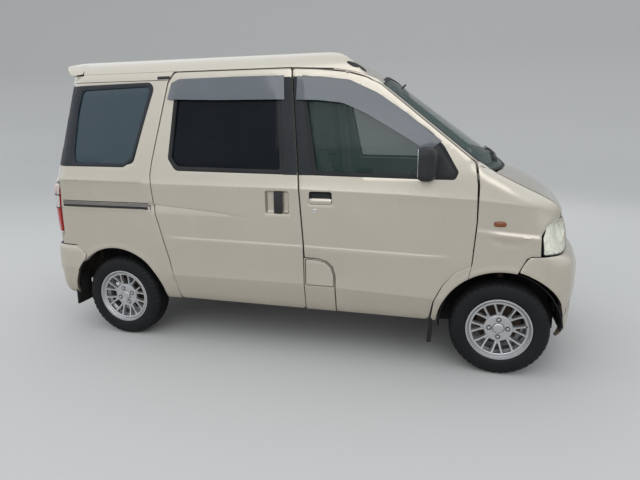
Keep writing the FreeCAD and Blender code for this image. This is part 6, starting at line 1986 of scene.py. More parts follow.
for side, fn, flip, s in SIDES:
    o = panel("tail_lamp_" + side, tl, [], tail_lamp_fn(s), 0.040, [RED, RED, PLASTIC, WHITE_LENS], "body", grid=0.012, edge=0.003, flip=(s > 0), smooth=50, split=tl_split,
              cuts=[[(tl[:, 0].min() - 0.01, 0.868), (tl[:, 0].max() + 0.01, 0.868)]])
    am = rounded([(tl_y(0.590), 0.960, 0.006), (tl_s(-1.556), 0.960, 0.006), (tl_s(-1.549), 1.014, 0.008), (tl_y(0.590), 1.014, 0.008)], 0.008)
    panel("tail_lamp_amber_" + side, am, [], tail_lamp_fn(s, -0.0012), 0.004, [PINK_LENS, PINK_LENS, PINK_LENS], "body", grid=0.012, edge=0.001, flip=(s > 0), smooth=50)
    # bright rims between the lamp's fields
    bm = bmesh.new()
    for z in (0.868, 0.953):
        ss_ = np.linspace(tl[:, 0].min() + 0.004, tl[:, 0].max() - 0.004, 26)
        rows = []
        for q in ss_:
            r_ = [tail_lamp_fn(s, -dd)(np.array([[q, z + dz]]))[0] for dd, dz in ((0.0, -0.004), (0.0028, -0.002), (0.0028, 0.002), (0.0, 0.004), (-0.003, 0))]
            rows.append(r_)
        vs = grid_mesh(bm, np.array(rows), close_v=True)
        bm.faces.new(vs[0]); bm.faces.new(vs[-1][::-1])
    bm_object("tail_lamp_ribs_" + side, bm, [PLASTIC])

# ------------------------------------------------------------------ wheels
FX, RX, WZ, WY = 1.255, -1.145, 0.270, 0.617


def tyre(name, x, s, body):
    bm = bmesh.new()
    prof = [(-0.0615, 0.1683), (-0.0649, 0.1785), (-0.0700, 0.1800), (-0.0745, 0.1850), (-0.0770, 0.1950), (-0.0786, 0.2060), (-0.0790, 0.2170), (-0.0784, 0.2290), (-0.0764, 0.2400),
            (-0.0730, 0.2490), (-0.0700, 0.2545), (-0.0660, 0.2590), (-0.0600, 0.2640), (-0.0520, 0.2672), (-0.0430, 0.2686), (-0.0425, 0.2630), (-0.0365, 0.2630), (-0.0360, 0.2690), (-0.0200, 0.2697),
            (-0.0150, 0.2699), (-0.0145, 0.2635), (-0.0085, 0.2635), (-0.0080, 0.2700)]
    full = prof + [(-a, b) for a, b in prof[::-1]]
    seg = 180 if not QUICK else 72
    # letters-free side ribs
    full2 = []
    for a, b in full:
        full2.append((a, b))
    P = np.zeros((len(full2), seg, 3))
    for i, (d, r) in enumerate(full2):
        for j in range(seg):
            a = 2 * math.pi * j / seg
            rr, dd = r, d
            if 0.243 < r < 0.2675 and abs(d) > 0.05 and (j % 4) in (0,):
                rr = r - 0.0035
                dd = d - math.copysign(0.0022, d)
            if 0.2675 <= r and 0.018 < abs(d) < 0.034 and (j % 4) == 1:
                rr = r - 0.0045
            P[i, j] = (x + rr * math.cos(a), s * (WY + dd), WZ + rr * math.sin(a))
    # flat where it rests
    low = P[:, :, 2] < 0.0
    P[:, :, 2] = np.where(P[:, :, 2] < 0.0008, 0.0008 + (P[:, :, 2] - 0.0008) * 0.15, P[:, :, 2])
    P[:, :, 2] = np.maximum(P[:, :, 2], 0.0)
    grid_mesh(bm, P, close_v=True)
    # inner surface
    lathe(bm, [(-0.0615, 0.1683), (-0.055, 0.172), (-0.070, 0.205), (-0.060, 0.250), (0.0, 0.258), (0.060, 0.250), (0.070, 0.205), (0.055, 0.172), (0.0615, 0.1683)], (x, s * WY, WZ), s, 48)
    bmesh.ops.remove_doubles(bm, verts=bm.verts, dist=1e-5)
    o = bm_object(name, bm, [TYRE], body=body, smooth=38)
    return o


def wheel(name, x, s, turn, body):
    """one alloy wheel: drop-centre rim, eight pairs of thin spokes, four nuts and a plain cap"""
    bm = bmesh.new()
    y0 = s * WY
    rim = [(0.0725, 0.1700), (0.0725, 0.1765), (0.0712, 0.1780), (0.0670, 0.1780), (0.0640, 0.1765), (0.0620, 0.1690), (0.0560, 0.1665), (0.0520, 0.1665), (0.0500, 0.1655), (0.0400, 0.1655),
           (0.0260, 0.1650), (0.0140, 0.1490), (-0.0300, 0.1490), (-0.0420, 0.1650), (-0.0620, 0.1670), (-0.0650, 0.1765), (-0.0725, 0.1780), (-0.0725, 0.1720), (-0.0640, 0.1640), (-0.0480, 0.1590),
           (-0.0340, 0.1430), (0.0160, 0.1430), (0.0300, 0.1540), (0.0480, 0.1585), (0.0520, 0.1580), (0.0570, 0.1605), (0.0600, 0.1640), (0.0660, 0.1665)]
    lathe(bm, rim + [rim[0]], (x, y0, WZ), s, 128 if not QUICK else 64)
    # outer ring of the face that the spokes run into
    face = [(0.0575, 0.1600), (0.0600, 0.1580), (0.0600, 0.1500), (0.0575, 0.1470), (0.0500, 0.1460), (0.0430, 0.1480), (0.0400, 0.1560), (0.0440, 0.1600)]
    lathe(bm, face + [face[0]], (x, y0, WZ), s, 128 if not QUICK else 64)
    # hub disc with a dished cap seat
    nr, na = (30, 160) if not QUICK else (16, 72)
    P = []
    for r in list(np.linspace(0.0290, 0.0700, nr)):
        row = []
        for j in range(na):
            a = 2 * math.pi * j / na
            near = min(math.hypot(r * math.cos(a) - 0.0495 * math.cos(math.radians(90 * i + turn)), r * math.sin(a) - 0.0495 * math.sin(math.radians(90 * i + turn))) for i in range(4))
            d = 0.0455 - 0.0145 * float(sstep(0.0150, 0.0122, near)) - 0.004 * float(sstep(0.036, 0.030, r))
            row.append((x + r * math.cos(a), y0 + s * d, WZ + r * math.sin(a)))
        P.append(row)
    for d, r in ((0.0430, 0.0760), (0.0370, 0.0790), (0.0240, 0.0780), (0.0160, 0.0700), (0.0160, 0.0290)):
        P.append([(x + r * math.cos(2 * math.pi * j / na), y0 + s * d, WZ + r * math.sin(2 * math.pi * j / na)) for j in range(na)])
    P.append(P[0])
    grid_mesh(bm, np.array(P), close_v=True)

    def at(d, r, a):
        return (x + r * math.cos(a), y0 + s * d, WZ + r * math.sin(a))

    # spokes: eight pairs, each a V that opens outwards
    for i in range(8):
        a0 = math.radians(45 * i + turn)
        for sg in (-1, 1):
            n = 12
            rows = []
            for k in range(n + 1):
                f = k / n
                r = 0.072 + (0.1490 - 0.072) * f
                a = a0 + sg * math.radians(5.0 + 6.3 * f)
                d_top = 0.0440 + (0.0590 - 0.0440) * (f ** 1.25)
                w = (0.0058 + 0.0018 * abs(2 * f - 1) ** 2)
                h = 0.020 + 0.006 * f
                ring = []
                for u, v in ((-1.0, -0.25), (-0.72, 0.0), (0.72, 0.0), (1.0, -0.25), (1.25, -1.0), (-1.25, -1.0)):
                    da = u * w / r
                    ring.append(at(d_top + v * h, r, a + da))
                rows.append(ring)
            vs = grid_mesh(bm, np.array(rows), close_v=True)
            bm.faces.new(vs[0]); bm.faces.new(vs[-1][::-1])
        # the web that closes each pair towards the hub
        for (ra, rb, d0, d1, half_a) in ((0.070, 0.094, 0.0400, 0.0440, 7.4),):
            rows = []
            for r, d in ((ra, d0), (rb, d1 - 0.003)):
                ring = []
                for q in np.linspace(-half_a, half_a, 6):
                    ring.append(at(d, r, a0 + math.radians(q * (0.072 / r) ** 0.3)))
                rows.append(ring)
            top = np.array(rows)
            bot = top.copy()
            bot[..., 1] -= s * 0.014
            ringed = np.concatenate([top[0][None], top[1][None], bot[1][None], bot[0][None]])
            vs = grid_mesh(bm, ringed, close_u=True)
            bm.faces.new([v[0] for v in vs]); bm.faces.new([v[-1] for v in vs][::-1])
    bmesh.ops.remove_doubles(bm, verts=bm.verts, dist=1e-6)
    o = bm_object(name, bm, [ALLOY], body=body, smooth=35)
    # nuts in round wells, centre cap
    bm = bmesh.new()
    for i in range(4):
        a = math.radians(90 * i + turn)
        cx, cz = x + 0.050 * math.cos(a), WZ + 0.050 * math.sin(a)
        rows = []
        for d, r in ((0.0380, 0.0092), (0.0460, 0.0092), (0.0485, 0.0076), (0.0498, 0.0045), (0.0500, 0.0001)):
            rows.append([(cx + r * math.cos(t), y0 + s * d, cz + r * math.sin(t)) for t in np.linspace(0, 2 * math.pi, 6, endpoint=False)])
        grid_mesh(bm, np.array(rows), close_v=True)
    bm_object(name + "_nuts", bm, [CHROME], body=body, smooth=30)
    bm = bmesh.new()
    lathe(bm, [(0.0410, 0.0305), (0.0470, 0.0300), (0.0500, 0.0280), (0.0515, 0.0240), (0.0520, 0.0232), (0.0526, 0.0226), (0.0533, 0.0150), (0.0537, 0.0001)], (x, y0, WZ), s, 64)
    bm_object(name + "_cap", bm, [ALLOY], body=body, smooth=35)
    bm = bmesh.new()
    b = turn + 11.0
    p = Vector(at(0.0475, 0.1745, math.radians(b)))
    q = Vector(at(0.0600, 0.1500, math.radians(b)))
    rod_between(bm, Vector(at(0.036, 0.160, math.radians(b))), Vector(at(0.066, 0.147, math.radians(b))), 0.0045, 12, 0.004)
    bm_object(name + "_valve", bm, [RUBBER], body=body, smooth=40)
    return o


for w, x, s, turn in (("front_right", FX, -1.0, 0.0), ("front_left", FX, 1.0, 22.5), ("rear_right", RX, -1.0, 20.0), ("rear_left", RX, 1.0, 8.0)):
    tyre("tyre_mesh_" + w, x, s, "wheel_" + w)
    wheel("alloy_" + w, x, s, turn, "wheel_" + w)

# ------------------------------------------------------------------ door mirrors
for side, fn, flip, s in SIDES:
    bm = bmesh.new()
    # shell: rings by height, soft outline in plan
    out = []
    for t in np.linspace(0, 1, 17):
        z = 1.104 + (1.271 - 1.104) * t
        e = (1 - abs(2 * t - 1) ** 4.5) ** 0.5 if 0 < t < 1 else 0.0
        e = max(e, 0.30) if t in (0, 1) else max(e, 0.45)
        c = np.array([0.838, -0.800])
        ring = []
        shape = rounded_outline = None
        base = rounded([(0.797, -0.742, 0.010), (0.868, -0.738, 0.022), (0.896, -0.775, 0.035), (0.880, -0.845, 0.040), (0.840, -0.870, 0.022), (0.799, -0.866, 0.008)], 0.008)
        base = base[:]
        k = 0.55 + 0.45 * e
        q = c + (base - c) * np.array([0.35 + 0.65 * e, k])
        q[:, 0] = np.minimum(q[:, 0], 0.896)
        # the back of the shell (mirror side) stays flat
        flat = base[:, 0] < 0.803
        q[flat, 0] = np.where(e > 0.6, base[flat, 0], q[flat, 0])
        for (a, b) in q:
            ring.append((a, -s * b if s > 0 else b, z))
        out.append(ring)
    n = len(out[0])
    vs = grid_mesh(bm, np.array(out), close_v=True)
    bm.faces.new(vs[0]); bm.faces.new(vs[-1][::-1])
    bm_object("mirror_shell_" + side, bm, [PLASTIC], body="front_door_" + side, smooth=50)
    bm = bmesh.new()
    rounded_box(bm, (0.7965, s * 0.8035, 1.195), (0.003, 0.108, 0.140), 0.0012, seg=2)
    bm_object("mirror_glass_" + side, bm, [MIRROR_M], body="front_door_" + side, smooth=40)
    bm = bmesh.new()
    rounded_box(bm, (0.877, s * 0.7240, 1.152), (0.034, 0.052, 0.046), 0.010, Matrix.Rotation(-s * 0.1, 3, "Z"), seg=3)
    bm_object("mirror_arm_" + side, bm, [PLASTIC], body="front_door_" + side, smooth=50)
    # sail plate behind it
    sp_out = rounded([(0.846, 1.114, 0.004), (0.976, 1.114, 0.016), (0.984, 1.138, 0.010), (0.908, 1.256, 0.010), (0.846, 1.318, 0.004)], 0.010)
    panel("mirror_sail_" + side, sp_out, [], pane_fn(None, s, -0.0034), 0.006, [PLASTIC, PLASTIC, PLASTIC], "front_door_" + side, grid=0.03, edge=0.003, flip=flip, smooth=50)

# ------------------------------------------------------------------ visors over the side windows
def visor(name, low, top, s, body, out=0.030):
    """a curved shield: top edge stuck on the frame, lower edge standing off"""
    n = len(low)
    rows = []
    lo = smooth_open(low, 0.010)
    to = smooth_open(top, 0.010)
    m = 60
    tl_ = np.linspace(0, 1, m)
    la = np.stack([np.interp(tl_, np.linspace(0, 1, len(lo)), lo[:, k]) for k in range(2)], 1)
    ta = np.stack([np.interp(tl_, np.linspace(0, 1, len(to)), to[:, k]) for k in range(2)], 1)
    P = np.zeros((m, 8, 3))
    for j, v in enumerate(np.linspace(0, 1, 8)):
        p = ta * (1 - v) + la * v
        y = table(YT, p[:, 0], p[:, 1])
        e = np.minimum(1.0, np.minimum(tl_, 1 - tl_) / 0.05)
        off = 0.003 + out * (0.25 * v + 0.75 * np.sin(v * math.pi / 2)) * 0.55 * (0.35 + 0.65 * e)
        P[:, j] = np.stack([p[:, 0], s * (y + off), p[:, 1]], 1)
    return sheet_object(name, P, 0.0028, [VISOR, VISOR, VISOR], body, down=(0, -s, 0), smooth=50)


for side, fn, flip, s in SIDES:
    visor("sliding_visor_" + side, [(-0.715, 1.545), (-0.40, 1.535), (0.030, 1.530)], [(-0.690, 1.640), (-0.640, 1.662), (-0.30, 1.664), (0.022, 1.662)], s, "body")
    visor("front_visor_" + side, [(0.100, 1.527), (0.224, 1.523), (0.368, 1.505), (0.503, 1.446), (0.664, 1.352), (0.835, 1.250)],
          [(0.100, 1.655), (0.231, 1.650), (0.400, 1.627), (0.561, 1.552), (0.712, 1.450), (0.905, 1.300)], s, "front_door_" + side)

# ------------------------------------------------------------------ handles, rail, repeaters
for side, fn, flip, s in SIDES:
    f = (lambda uv, s=s: np.stack([uv[:, 0], s * half(uv[:, 0], uv[:, 1], False), uv[:, 1]], 1))

    def cup(name, outline, depth, body, mat):
        o = inset(rounded(outline, 0.005), -0.0012)
        base, F = fill(o, [], 0.0055 if not QUICK else 0.010)
        P = f(base)
        dd = dist_to(base, o)
        P[:, 1] -= s * (depth * sstep(0.0, 0.012, dd) + 0.0016)
        bm = bmesh.new()
        vs = [bm.verts.new(p) for p in P]
        Q = P.copy()
        Q[:, 1] -= s * 0.006
        ws = [bm.verts.new(p) for p in Q]
        for t in F:
            bm.faces.new([vs[i] for i in t])
            bm.faces.new([ws[i] for i in t[::-1]])
        for i in range(len(o)):
            j = (i + 1) % len(o)
            bm.faces.new((vs[i], ws[i], ws[j], vs[j]))
        return bm_object(name, bm, [mat], body=body, smooth=50)

    # sliding door: upright grip in a recess
    cup("sliding_handle_cup_" + side, SLIDE_CUP, 0.021, "body", PAINT)
    bm = bmesh.new()
    P = []
    for t in np.linspace(0, 1, 19):
        z = 0.890 + 0.127 * t
        yb = float(half(np.array([0.0]), np.array([z]), False)[0])
        o = 0.0075 * math.sin(math.pi * min(max(t, 0.03), 0.97)) ** 0.5
        P.append([(-0.025, s * (yb - 0.016), z), (-0.025, s * (yb + o * 0.7), z), (-0.018, s * (yb + o), z), (0.014, s * (yb + o), z), (0.021, s * (yb + o * 0.7), z), (0.021, s * (yb - 0.016), z)])
    vs = grid_mesh(bm, np.array(P), close_v=True)
    bm.faces.new(vs[0][::-1]); bm.faces.new(vs[-1])
    bm_object("sliding_handle_grip_" + side, bm, [PLASTIC], body="body", smooth=50)
    # front door: lift handle, a black hollow above and a painted lip below
    cup("front_handle_cup_" + side, FRONT_CUP, 0.022, "front_door_" + side, PLASTIC)
    bm = bmesh.new()
    P = []
    for t in np.linspace(0, 1, 23):
        x = 0.1885 + 0.1285 * t
        yb = float(half(np.array([x]), np.array([0.965]), False)[0])
        e = min(1.0, math.sin(math.pi * min(max(t, 0.02), 0.98)) * 2.6) ** 0.5
        o = 0.0075 * e
        zt_ = 0.984 - 0.006 * (1 - e)
        P.append([(x, s * (yb - 0.018), 0.9495), (x, s * (yb + o * 0.3), 0.9495 + 0.003 * (1 - e)), (x, s * (yb + o * 0.85), 0.957), (x, s * (yb + o), 0.966), (x, s * (yb + o * 0.8), zt_ - 0.006), (x, s * (yb + o * 0.2 - 0.001), zt_), (x, s * (yb - 0.018), zt_ - 0.004)])
    vs = grid_mesh(bm, np.array(P), close_v=True)
    bm.faces.new(vs[0][::-1]); bm.faces.new(vs[-1])
    bm_object("front_handle_lip_" + side, bm, [PAINT], body="front_door_" + side, smooth=50)
    bm = bmesh.new()
    yk = float(half(np.array([0.218]), np.array([0.912]), False)[0])
    lathe(bm, [(yk - 0.004, 0.0125), (yk + 0.0012, 0.0125), (yk + 0.0022, 0.0105), (yk + 0.0016, 0.0085), (yk + 0.0016, 0.0001)], (0.218, 0.0, 0.912), s, 28)
    rounded_box(bm, (0.218, s * (yk + 0.0018), 0.912), (0.0022, 0.0008, 0.009), 0.0003, seg=1)
    bm_object("door_lock_" + side, bm, [CHROME], body="front_door_" + side, smooth=40)
    # side repeater: orange oval on a dark base
    for nm, a, b, o0, o1, mt in (("base", 0.0335, 0.0165, 0.0, 0.004, PLASTIC), ("lens", 0.0315, 0.0148, 0.003, 0.0110, AMBER_DARK)):
        rows = []
        for k in range(7):
            q = k / 6
            rr = math.cos(q * math.pi / 2)
            oo = o0 + (o1 - o0) * math.sin(q * math.pi / 2)
            ring = []
            for t in np.linspace(0, 2 * math.pi, 36, endpoint=False):
                ct, st = math.cos(t), math.sin(t)
                xx, zz = 1.2195 + a * max(rr, 0.002) * math.copysign(abs(ct) ** 0.55, ct), 0.875 + b * max(rr, 0.002) * math.copysign(abs(st) ** 0.7, st)
                yy = float(half(np.array([xx]), np.array([zz]), False)[0])
                ring.append((xx, s * (yy + oo - 0.0015), zz))
            rows.append(ring)
        bm = bmesh.new()
        vs = grid_mesh(bm, np.array(rows), close_v=True)
        bm.faces.new(vs[-1])
        bm_object("repeater_%s_%s" % (nm, side), bm, [mt], smooth=50)
    # rail for the sliding door along the quarter panel
    yr = lambda x, z: float(half(np.array([x]), np.array([z]), False)[0])
    for nm, z0, z1, o, mt in (("line", 0.9175, 0.9245, 0.0008, RUBBER), ("cover", 0.8985, 0.9175, 0.0040, RAIL_M), ("groove", 0.8800, 0.8985, 0.0006, PLASTIC), ("lip", 0.8660, 0.8800, 0.0050, PAINT)):
        P = []
        for x in np.linspace(-1.512, -0.845, 60):
            e = 1.0 if x > -1.49 else max(0.2, (x + 1.512) / 0.022)
            P.append([(x, s * (yr(x, z0) - 0.002), z0), (x, s * (yr(x, z0) + o * e), z0 + 0.0015), (x, s * (yr(x, (z0 + z1) / 2) + o * e), (z0 + z1) / 2), (x, s * (yr(x, z1) + o * e), z1 - 0.0015), (x, s * (yr(x, z1) - 0.002), z1)])
        bm = bmesh.new()
        vs = grid_mesh(bm, np.array(P), close_v=True)
        bm.faces.new(vs[0][::-1]); bm.faces.new(vs[-1])
        bm_object("door_rail_%s_%s" % (nm, side), bm, [mt], smooth=40)
    # roof rail caps over the gutter ends
    for nm, x0, x1, za, zb, o_, mt in (("roof_cap_", -0.785, -0.702, 1.6635, 1.6805, 0.0022, PLASTIC), ("roof_gutter_", -1.384, -0.716, 1.6565, 1.6600, 0.0006, RUBBER)):
        P = []
        for x in np.linspace(x0, x1, 30):
            ring = []
            for z_, oo in ((za, -0.003), (za, o_), ((za + zb) / 2, o_ * 1.25), (zb, o_), (zb, -0.003)):
                ring.append((x, s * (yr(x, z_) + oo), z_))
            P.append(ring)
        bm = bmesh.new()
        vs = grid_mesh(bm, np.array(P), close_v=True)
        bm.faces.new(vs[0][::-1]); bm.faces.new(vs[-1])
        bm_object(nm + side, bm, [mt], smooth=40)

# aerial foot on the right front roof corner
P = []
c0, c1 = np.array([0.379, -0.615, 1.728]), np.array([0.490, -0.610, 1.669])
ax = (c1 - c0) / np.linalg.norm(c1 - c0)
nn = np.array([0.35, -0.45, 0.82]); nn /= np.linalg.norm(nn)
bb = np.cross(nn, ax)
for k in range(8):
    q = k / 7
    r_ = math.cos(q * math.pi / 2)
    h_ = 0.016 * math.sin(q * math.pi / 2)
    ring = []
    for t in np.linspace(0, 2 * math.pi, 36, endpoint=False):
        p = (c0 + c1) / 2 + ax * 0.062 * max(r_, 0.003) * math.cos(t) + bb * 0.018 * max(r_, 0.003) * math.sin(t)
        xx, yy = p[0], p[1]
        zz = p[2]
        y_here = float(section_half(min(zz, 1.78)))
        ring.append(tuple(p + nn * (h_ - 0.006)))
    P.append(ring)
bm = bmesh.new()
vs = grid_mesh(bm, np.array(P), close_v=True)
bm.faces.new(vs[-1])
bm_object("aerial_foot", bm, [PLASTIC], smooth=50)

# ------------------------------------------------------------------ fill behind the gaps, so that no light shows through them
bm = bmesh.new()
for s in (-1, 1):
    # upright behind the seam between the doors
    for z0, z1 in ((0.33, 1.10),):
        P = []
        for z in np.linspace(0.32, 1.695, 30):
            xm = float(line(np.array(z), [(0.30, 0.150), (0.70, 0.148), (1.11, 0.120), (1.70, 0.067)]))
            y = float(table(YT, np.array([xm]), np.array([z]))[0]) - 0.030
            P.append([(xm - 0.030, s * y, z), (xm + 0.030, s * y, z), (xm + 0.030, s * (y - 0.02), z), (xm - 0.030, s * (y - 0.02), z)])
        vs = grid_mesh(bm, np.array(P), close_v=True)
        bm.faces.new(vs[0][::-1]); bm.faces.new(vs[-1])
bm_object("centre_pillar_seals", bm, [RUBBER])

# ------------------------------------------------------------------ seats
def block(outline, y0, y1, name):
    """closed prism between two planes with its rims rounded, ready for the cloth"""
    o = rounded(mm(outline), 0.02)
    bm = bmesh.new()
    base, F = fill(o, [], 0.03)
    n = len(base)
    vs = [bm.verts.new((p[0], y0, p[1])) for p in base]
    ws = [bm.verts.new((p[0], y1, p[1])) for p in base]
    for t in F:
        bm.faces.new([vs[i] for i in t])
        bm.faces.new([ws[i] for i in t[::-1]])
    for i in range(len(o)):
        j = (i + 1) % len(o)
        bm.faces.new((vs[i], ws[i], ws[j], vs[j]))
    bmesh.ops.recalc_face_normals(bm, faces=bm.faces)
    me = bpy.data.meshes.new(name)
    bm.to_mesh(me)
    bm.free()
    ob = bpy.data.objects.new(name, me)
    bpy.context.scene.collection.objects.link(ob)
    return ob


def cushion(name, outline, y0, y1, channels, centre_half, yc, replaces_node, cap=0.024, body="body", fill_=0.75, along="x", voxel=0.012):
    """a padded piece: pressure swells a remeshed block, then sewn channels are pressed in"""
    ob = block(outline, y0, y1, name)
    bpy.context.view_layer.objects.active = ob
    for o in bpy.context.selected_objects:
        o.select_set(False)
    ob.select_set(True)
    m = ob.modifiers.new("remesh", "REMESH")
    m.mode = "VOXEL"
    m.voxel_size = 0.020 if QUICK else voxel
    bpy.ops.object.modifier_apply(modifier=m.name)
    me = ob.data
    start = np.zeros(len(me.vertices) * 3)
    me.vertices.foreach_get("co", start)
    start = start.reshape(-1, 3)
    if not QUICK:
        c = ob.modifiers.new("cloth", "CLOTH")
        st = c.settings
        st.use_pressure = True
        st.uniform_pressure_force = 4.0
        st.quality = 5
        st.mass = 0.3
        st.tension_stiffness = 15
        st.compression_stiffness = 15
        st.shear_stiffness = 5
        st.bending_stiffness = 0.5
        st.effector_weights.gravity = 0
        c.collision_settings.use_collision = False
        sc_ = bpy.context.scene
        for fr in range(1, 15):
            sc_.frame_set(fr)
        dg = bpy.context.evaluated_depsgraph_get()
        ev = ob.evaluated_get(dg)
        co = np.zeros(len(ev.data.vertices) * 3)
        ev.data.vertices.foreach_get("co", co)
        co = co.reshape(-1, 3)
        ob.modifiers.remove(c)
        sc_.frame_set(1)
    else:
        co = start.copy()
        cen = start.mean(0)
        co = start + (start - cen) * 0.02
    d = co - start
    L_ = np.linalg.norm(d, axis=1, keepdims=True)
    d = d * np.minimum(1.0, cap / np.maximum(L_, 1e-9))
    me.vertices.foreach_set("co", (start + d).reshape(-1))
    me.update()
    # sewn lines
    nr = np.zeros(len(me.vertices) * 3)
    me.vertices.foreach_get("normal", nr)
    nr = nr.reshape(-1, 3)
    co = start + d
    press = np.zeros(len(co))
    lo, hi = start.min(0), start.max(0)
    yy = np.abs(co[:, 1] - yc)
    edge_line = np.exp(-((yy - centre_half) / 0.007) ** 2)
    press += 0.013 * edge_line
    for (ax_, val) in channels:
        v = co[:, 0] if ax_ == "x" else co[:, 2]
        press += 0.012 * np.exp(-((v - val) / 0.007) ** 2) * (yy < centre_half)
    side_ = np.abs(nr[:, 1]) < 0.7
    co = co - nr * (press * side_)[:, None]
    co[:, 1] = np.clip(co[:, 1], y0 - 0.010, y1 + 0.010)
    me.vertices.foreach_set("co", co.reshape(-1))
    me.materials.clear()
    me.materials.append(CLOTH)
    me.materials.append(CLOTH2)
    me.materials.append(THREAD)
    idx = []
    for p in me.polygons:
        c = np.mean([co[i] for i in p.vertices], axis=0)
        a = abs(c[1] - yc)
        k = 0
        if abs(a - centre_half) < 0.0035 and abs(p.normal[1]) < 0.6:
            k = 2
        elif a < centre_half and abs(p.normal[1]) < 0.6:
            k = 1
        idx.append(k)
    me.polygons.foreach_set("material_index", idx)
    me.shade_smooth()
    sub = ob.modifiers.new("sub", "SUBSURF")
    sub.levels = sub.render_levels = 1
    if not QUICK:
        bpy.ops.object.modifier_apply(modifier=sub.name)
    else:
        ob.modifiers.remove(sub)
    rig.ride(ob, body)
    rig.padded(ob, fill=fill_)
    made[name] = ob
    return ob


seat_pieces = []
for side, s in (("right", -1.0), ("left", 1.0)):
    yc = 0.330 * s
    seat_pieces.append(cushion("front_seat_cushion_" + side, [(118, 655, 20), (630, 655, 30), (630, 755, 45), (560, 764, 20), (118, 736, 30)], yc - 0.238, yc + 0.238,
                               [("x", 0.26), ("x", 0.40), ("x", 0.54)], 0.155, yc, "front_seats"))
    seat_pieces.append(cushion("front_seat_back_" + side, [(112, 748, 20), (-74, 1282, 40), (-158, 1264, 40), (26, 696, 30), (104, 696, 10)], yc - 0.228, yc + 0.228,
                               [("z", 0.86), ("z", 0.98), ("z", 1.10), ("z", 1.20)], 0.150, yc, "front_seats"))
    seat_pieces.append(cushion("front_headrest_" + side, [(-96, 1336, 24), (-132, 1472, 30), (-208, 1454, 30), (-178, 1326, 24)], yc - 0.124, yc + 0.124, [], 0.085, yc, "front_seats", cap=0.014, voxel=0.009))
seat_pieces.append(cushion("rear_seat_cushion", [(-692, 590, 15), (-216, 590, 30), (-212, 694, 40), (-262, 704, 20), (-692, 682, 20)], -0.550, 0.550, [("x", -0.34), ("x", -0.50)], 0.27, 0.0, "rear_seat", voxel=0.014))
seat_pieces.append(cushion("rear_seat_back", [(-694, 648, 20), (-862, 1222, 35), (-940, 1204, 35), (-786, 648, 20)], -0.550, 0.550, [("z", 0.84), ("z", 1.00), ("z", 1.12)], 0.27, 0.0, "rear_seat", voxel=0.014))
for side, s in (("right", -1.0), ("left", 1.0)):
    seat_pieces.append(cushion("rear_headrest_" + side, [(-872, 1268, 20), (-898, 1392, 24), (-958, 1380, 24), (-936, 1256, 20)], s * 0.300 - 0.114, s * 0.300 + 0.114, [], 0.08, s * 0.300, "rear_seat", cap=0.012, voxel=0.009))

bm = bmesh.new()
for s in (-1, 1):
    for d in (-0.06, 0.06):
        rod_between(bm, (-0.118, s * 0.33 + d, 1.245), (-0.140, s * 0.33 + d, 1.380), 0.0065, 12)
        rod_between(bm, (-0.895, s * 0.30 + d, 1.190), (-0.915, s * 0.30 + d, 1.310), 0.0065, 12)
bm_object("headrest_stems", bm, [CHROME], smooth=50)
bm = bmesh.new()
for s in (-1, 1):
    rounded_box(bm, (0.375, s * 0.33, 0.628), (0.44, 0.36, 0.044), 0.010)
    for q in (-0.175, 0.175):
        rounded_box(bm, (0.375, s * 0.33 + q, 0.608), (0.46, 0.03, 0.014), 0.003)
for x in (-0.61, -0.31):
    for y in (-0.46, 0, 0.46):
        rounded_box(bm, (x, y, 0.50), (0.03, 0.03, 0.18), 0.004)
    rounded_box(bm, (x, 0, 0.582), (0.03, 0.98, 0.024), 0.004)
bm_object("seat_bases", bm, [DARK_METAL])

# ------------------------------------------------------------------ steering wheel and dashboard
sc_v = Vector((0.650, -0.330, 1.010))
tilt = math.radians(38)
sdv = Vector((-math.cos(tilt), 0, math.sin(tilt)))
rotw = sdv.to_track_quat("Z", "Y").to_matrix()
bm = bmesh.new()
P = np.zeros((64, 14, 3))
for i in range(64):
    a = 2 * math.pi * i / 64
    for j in range(14):
        t = 2 * math.pi * j / 14
        rr = 0.0138 * (1 + 0.05 * math.cos(8 * a))
        v = rotw @ Vector(((0.182 + rr * math.cos(t)) * math.cos(a), (0.182 + rr * math.cos(t)) * math.sin(a), rr * math.sin(t)))
        P[i, j] = sc_v + v
grid_mesh(bm, P, close_u=True, close_v=True)
rows = []
for r_, h_ in ((0.030, -0.018), (0.052, -0.014), (0.060, 0.0), (0.058, 0.010), (0.048, 0.0155), (0.020, 0.019), (0.0001, 0.0195)):
    ring = []
    for t in np.linspace(0, 2 * math.pi, 40, endpoint=False):
        k = 1.0 + 0.10 * math.cos(2 * t)
        v = rotw @ Vector((r_ * k * math.cos(t), r_ * math.sin(t), h_))
        ring.append(sc_v + v)
    rows.append([tuple(q) for q in ring])
vs = grid_mesh(bm, np.array(rows), close_v=True)
bm.faces.new(vs[0][::-1])
ey = rotw.inverted() @ Vector((0, 1, 0))
base_a = math.atan2(ey.y, ey.x)
for a in (0.0, math.pi, -math.pi / 2 if True else 0):
    rows = []
    aa = base_a + a
    for r_ in np.linspace(0.050, 0.176, 9):
        w_ = 0.020 - 0.008 * (r_ - 0.05) / 0.126
        h_ = 0.004 - 0.008 * math.sin((r_ - 0.05) / 0.126 * math.pi)
        c = Vector((r_ * math.cos(aa), r_ * math.sin(aa), h_))
        t = Vector((-math.sin(aa), math.cos(aa), 0))
        ring = []
        for u, v in ((-1, -0.006), (-1, 0.003), (-0.6, 0.006), (0.6, 0.006), (1, 0.003), (1, -0.006)):
            q = rotw @ (c + t * u * w_ + Vector((0, 0, v)))
            ring.append(tuple(sc_v + q))
        rows.append(ring)
    vs = grid_mesh(bm, np.array(rows), close_v=True)
    bm.faces.new(vs[0]); bm.faces.new(vs[-1][::-1])
bm_object("steering_wheel_mesh", bm, [DASH], body="steering_wheel", smooth=50)

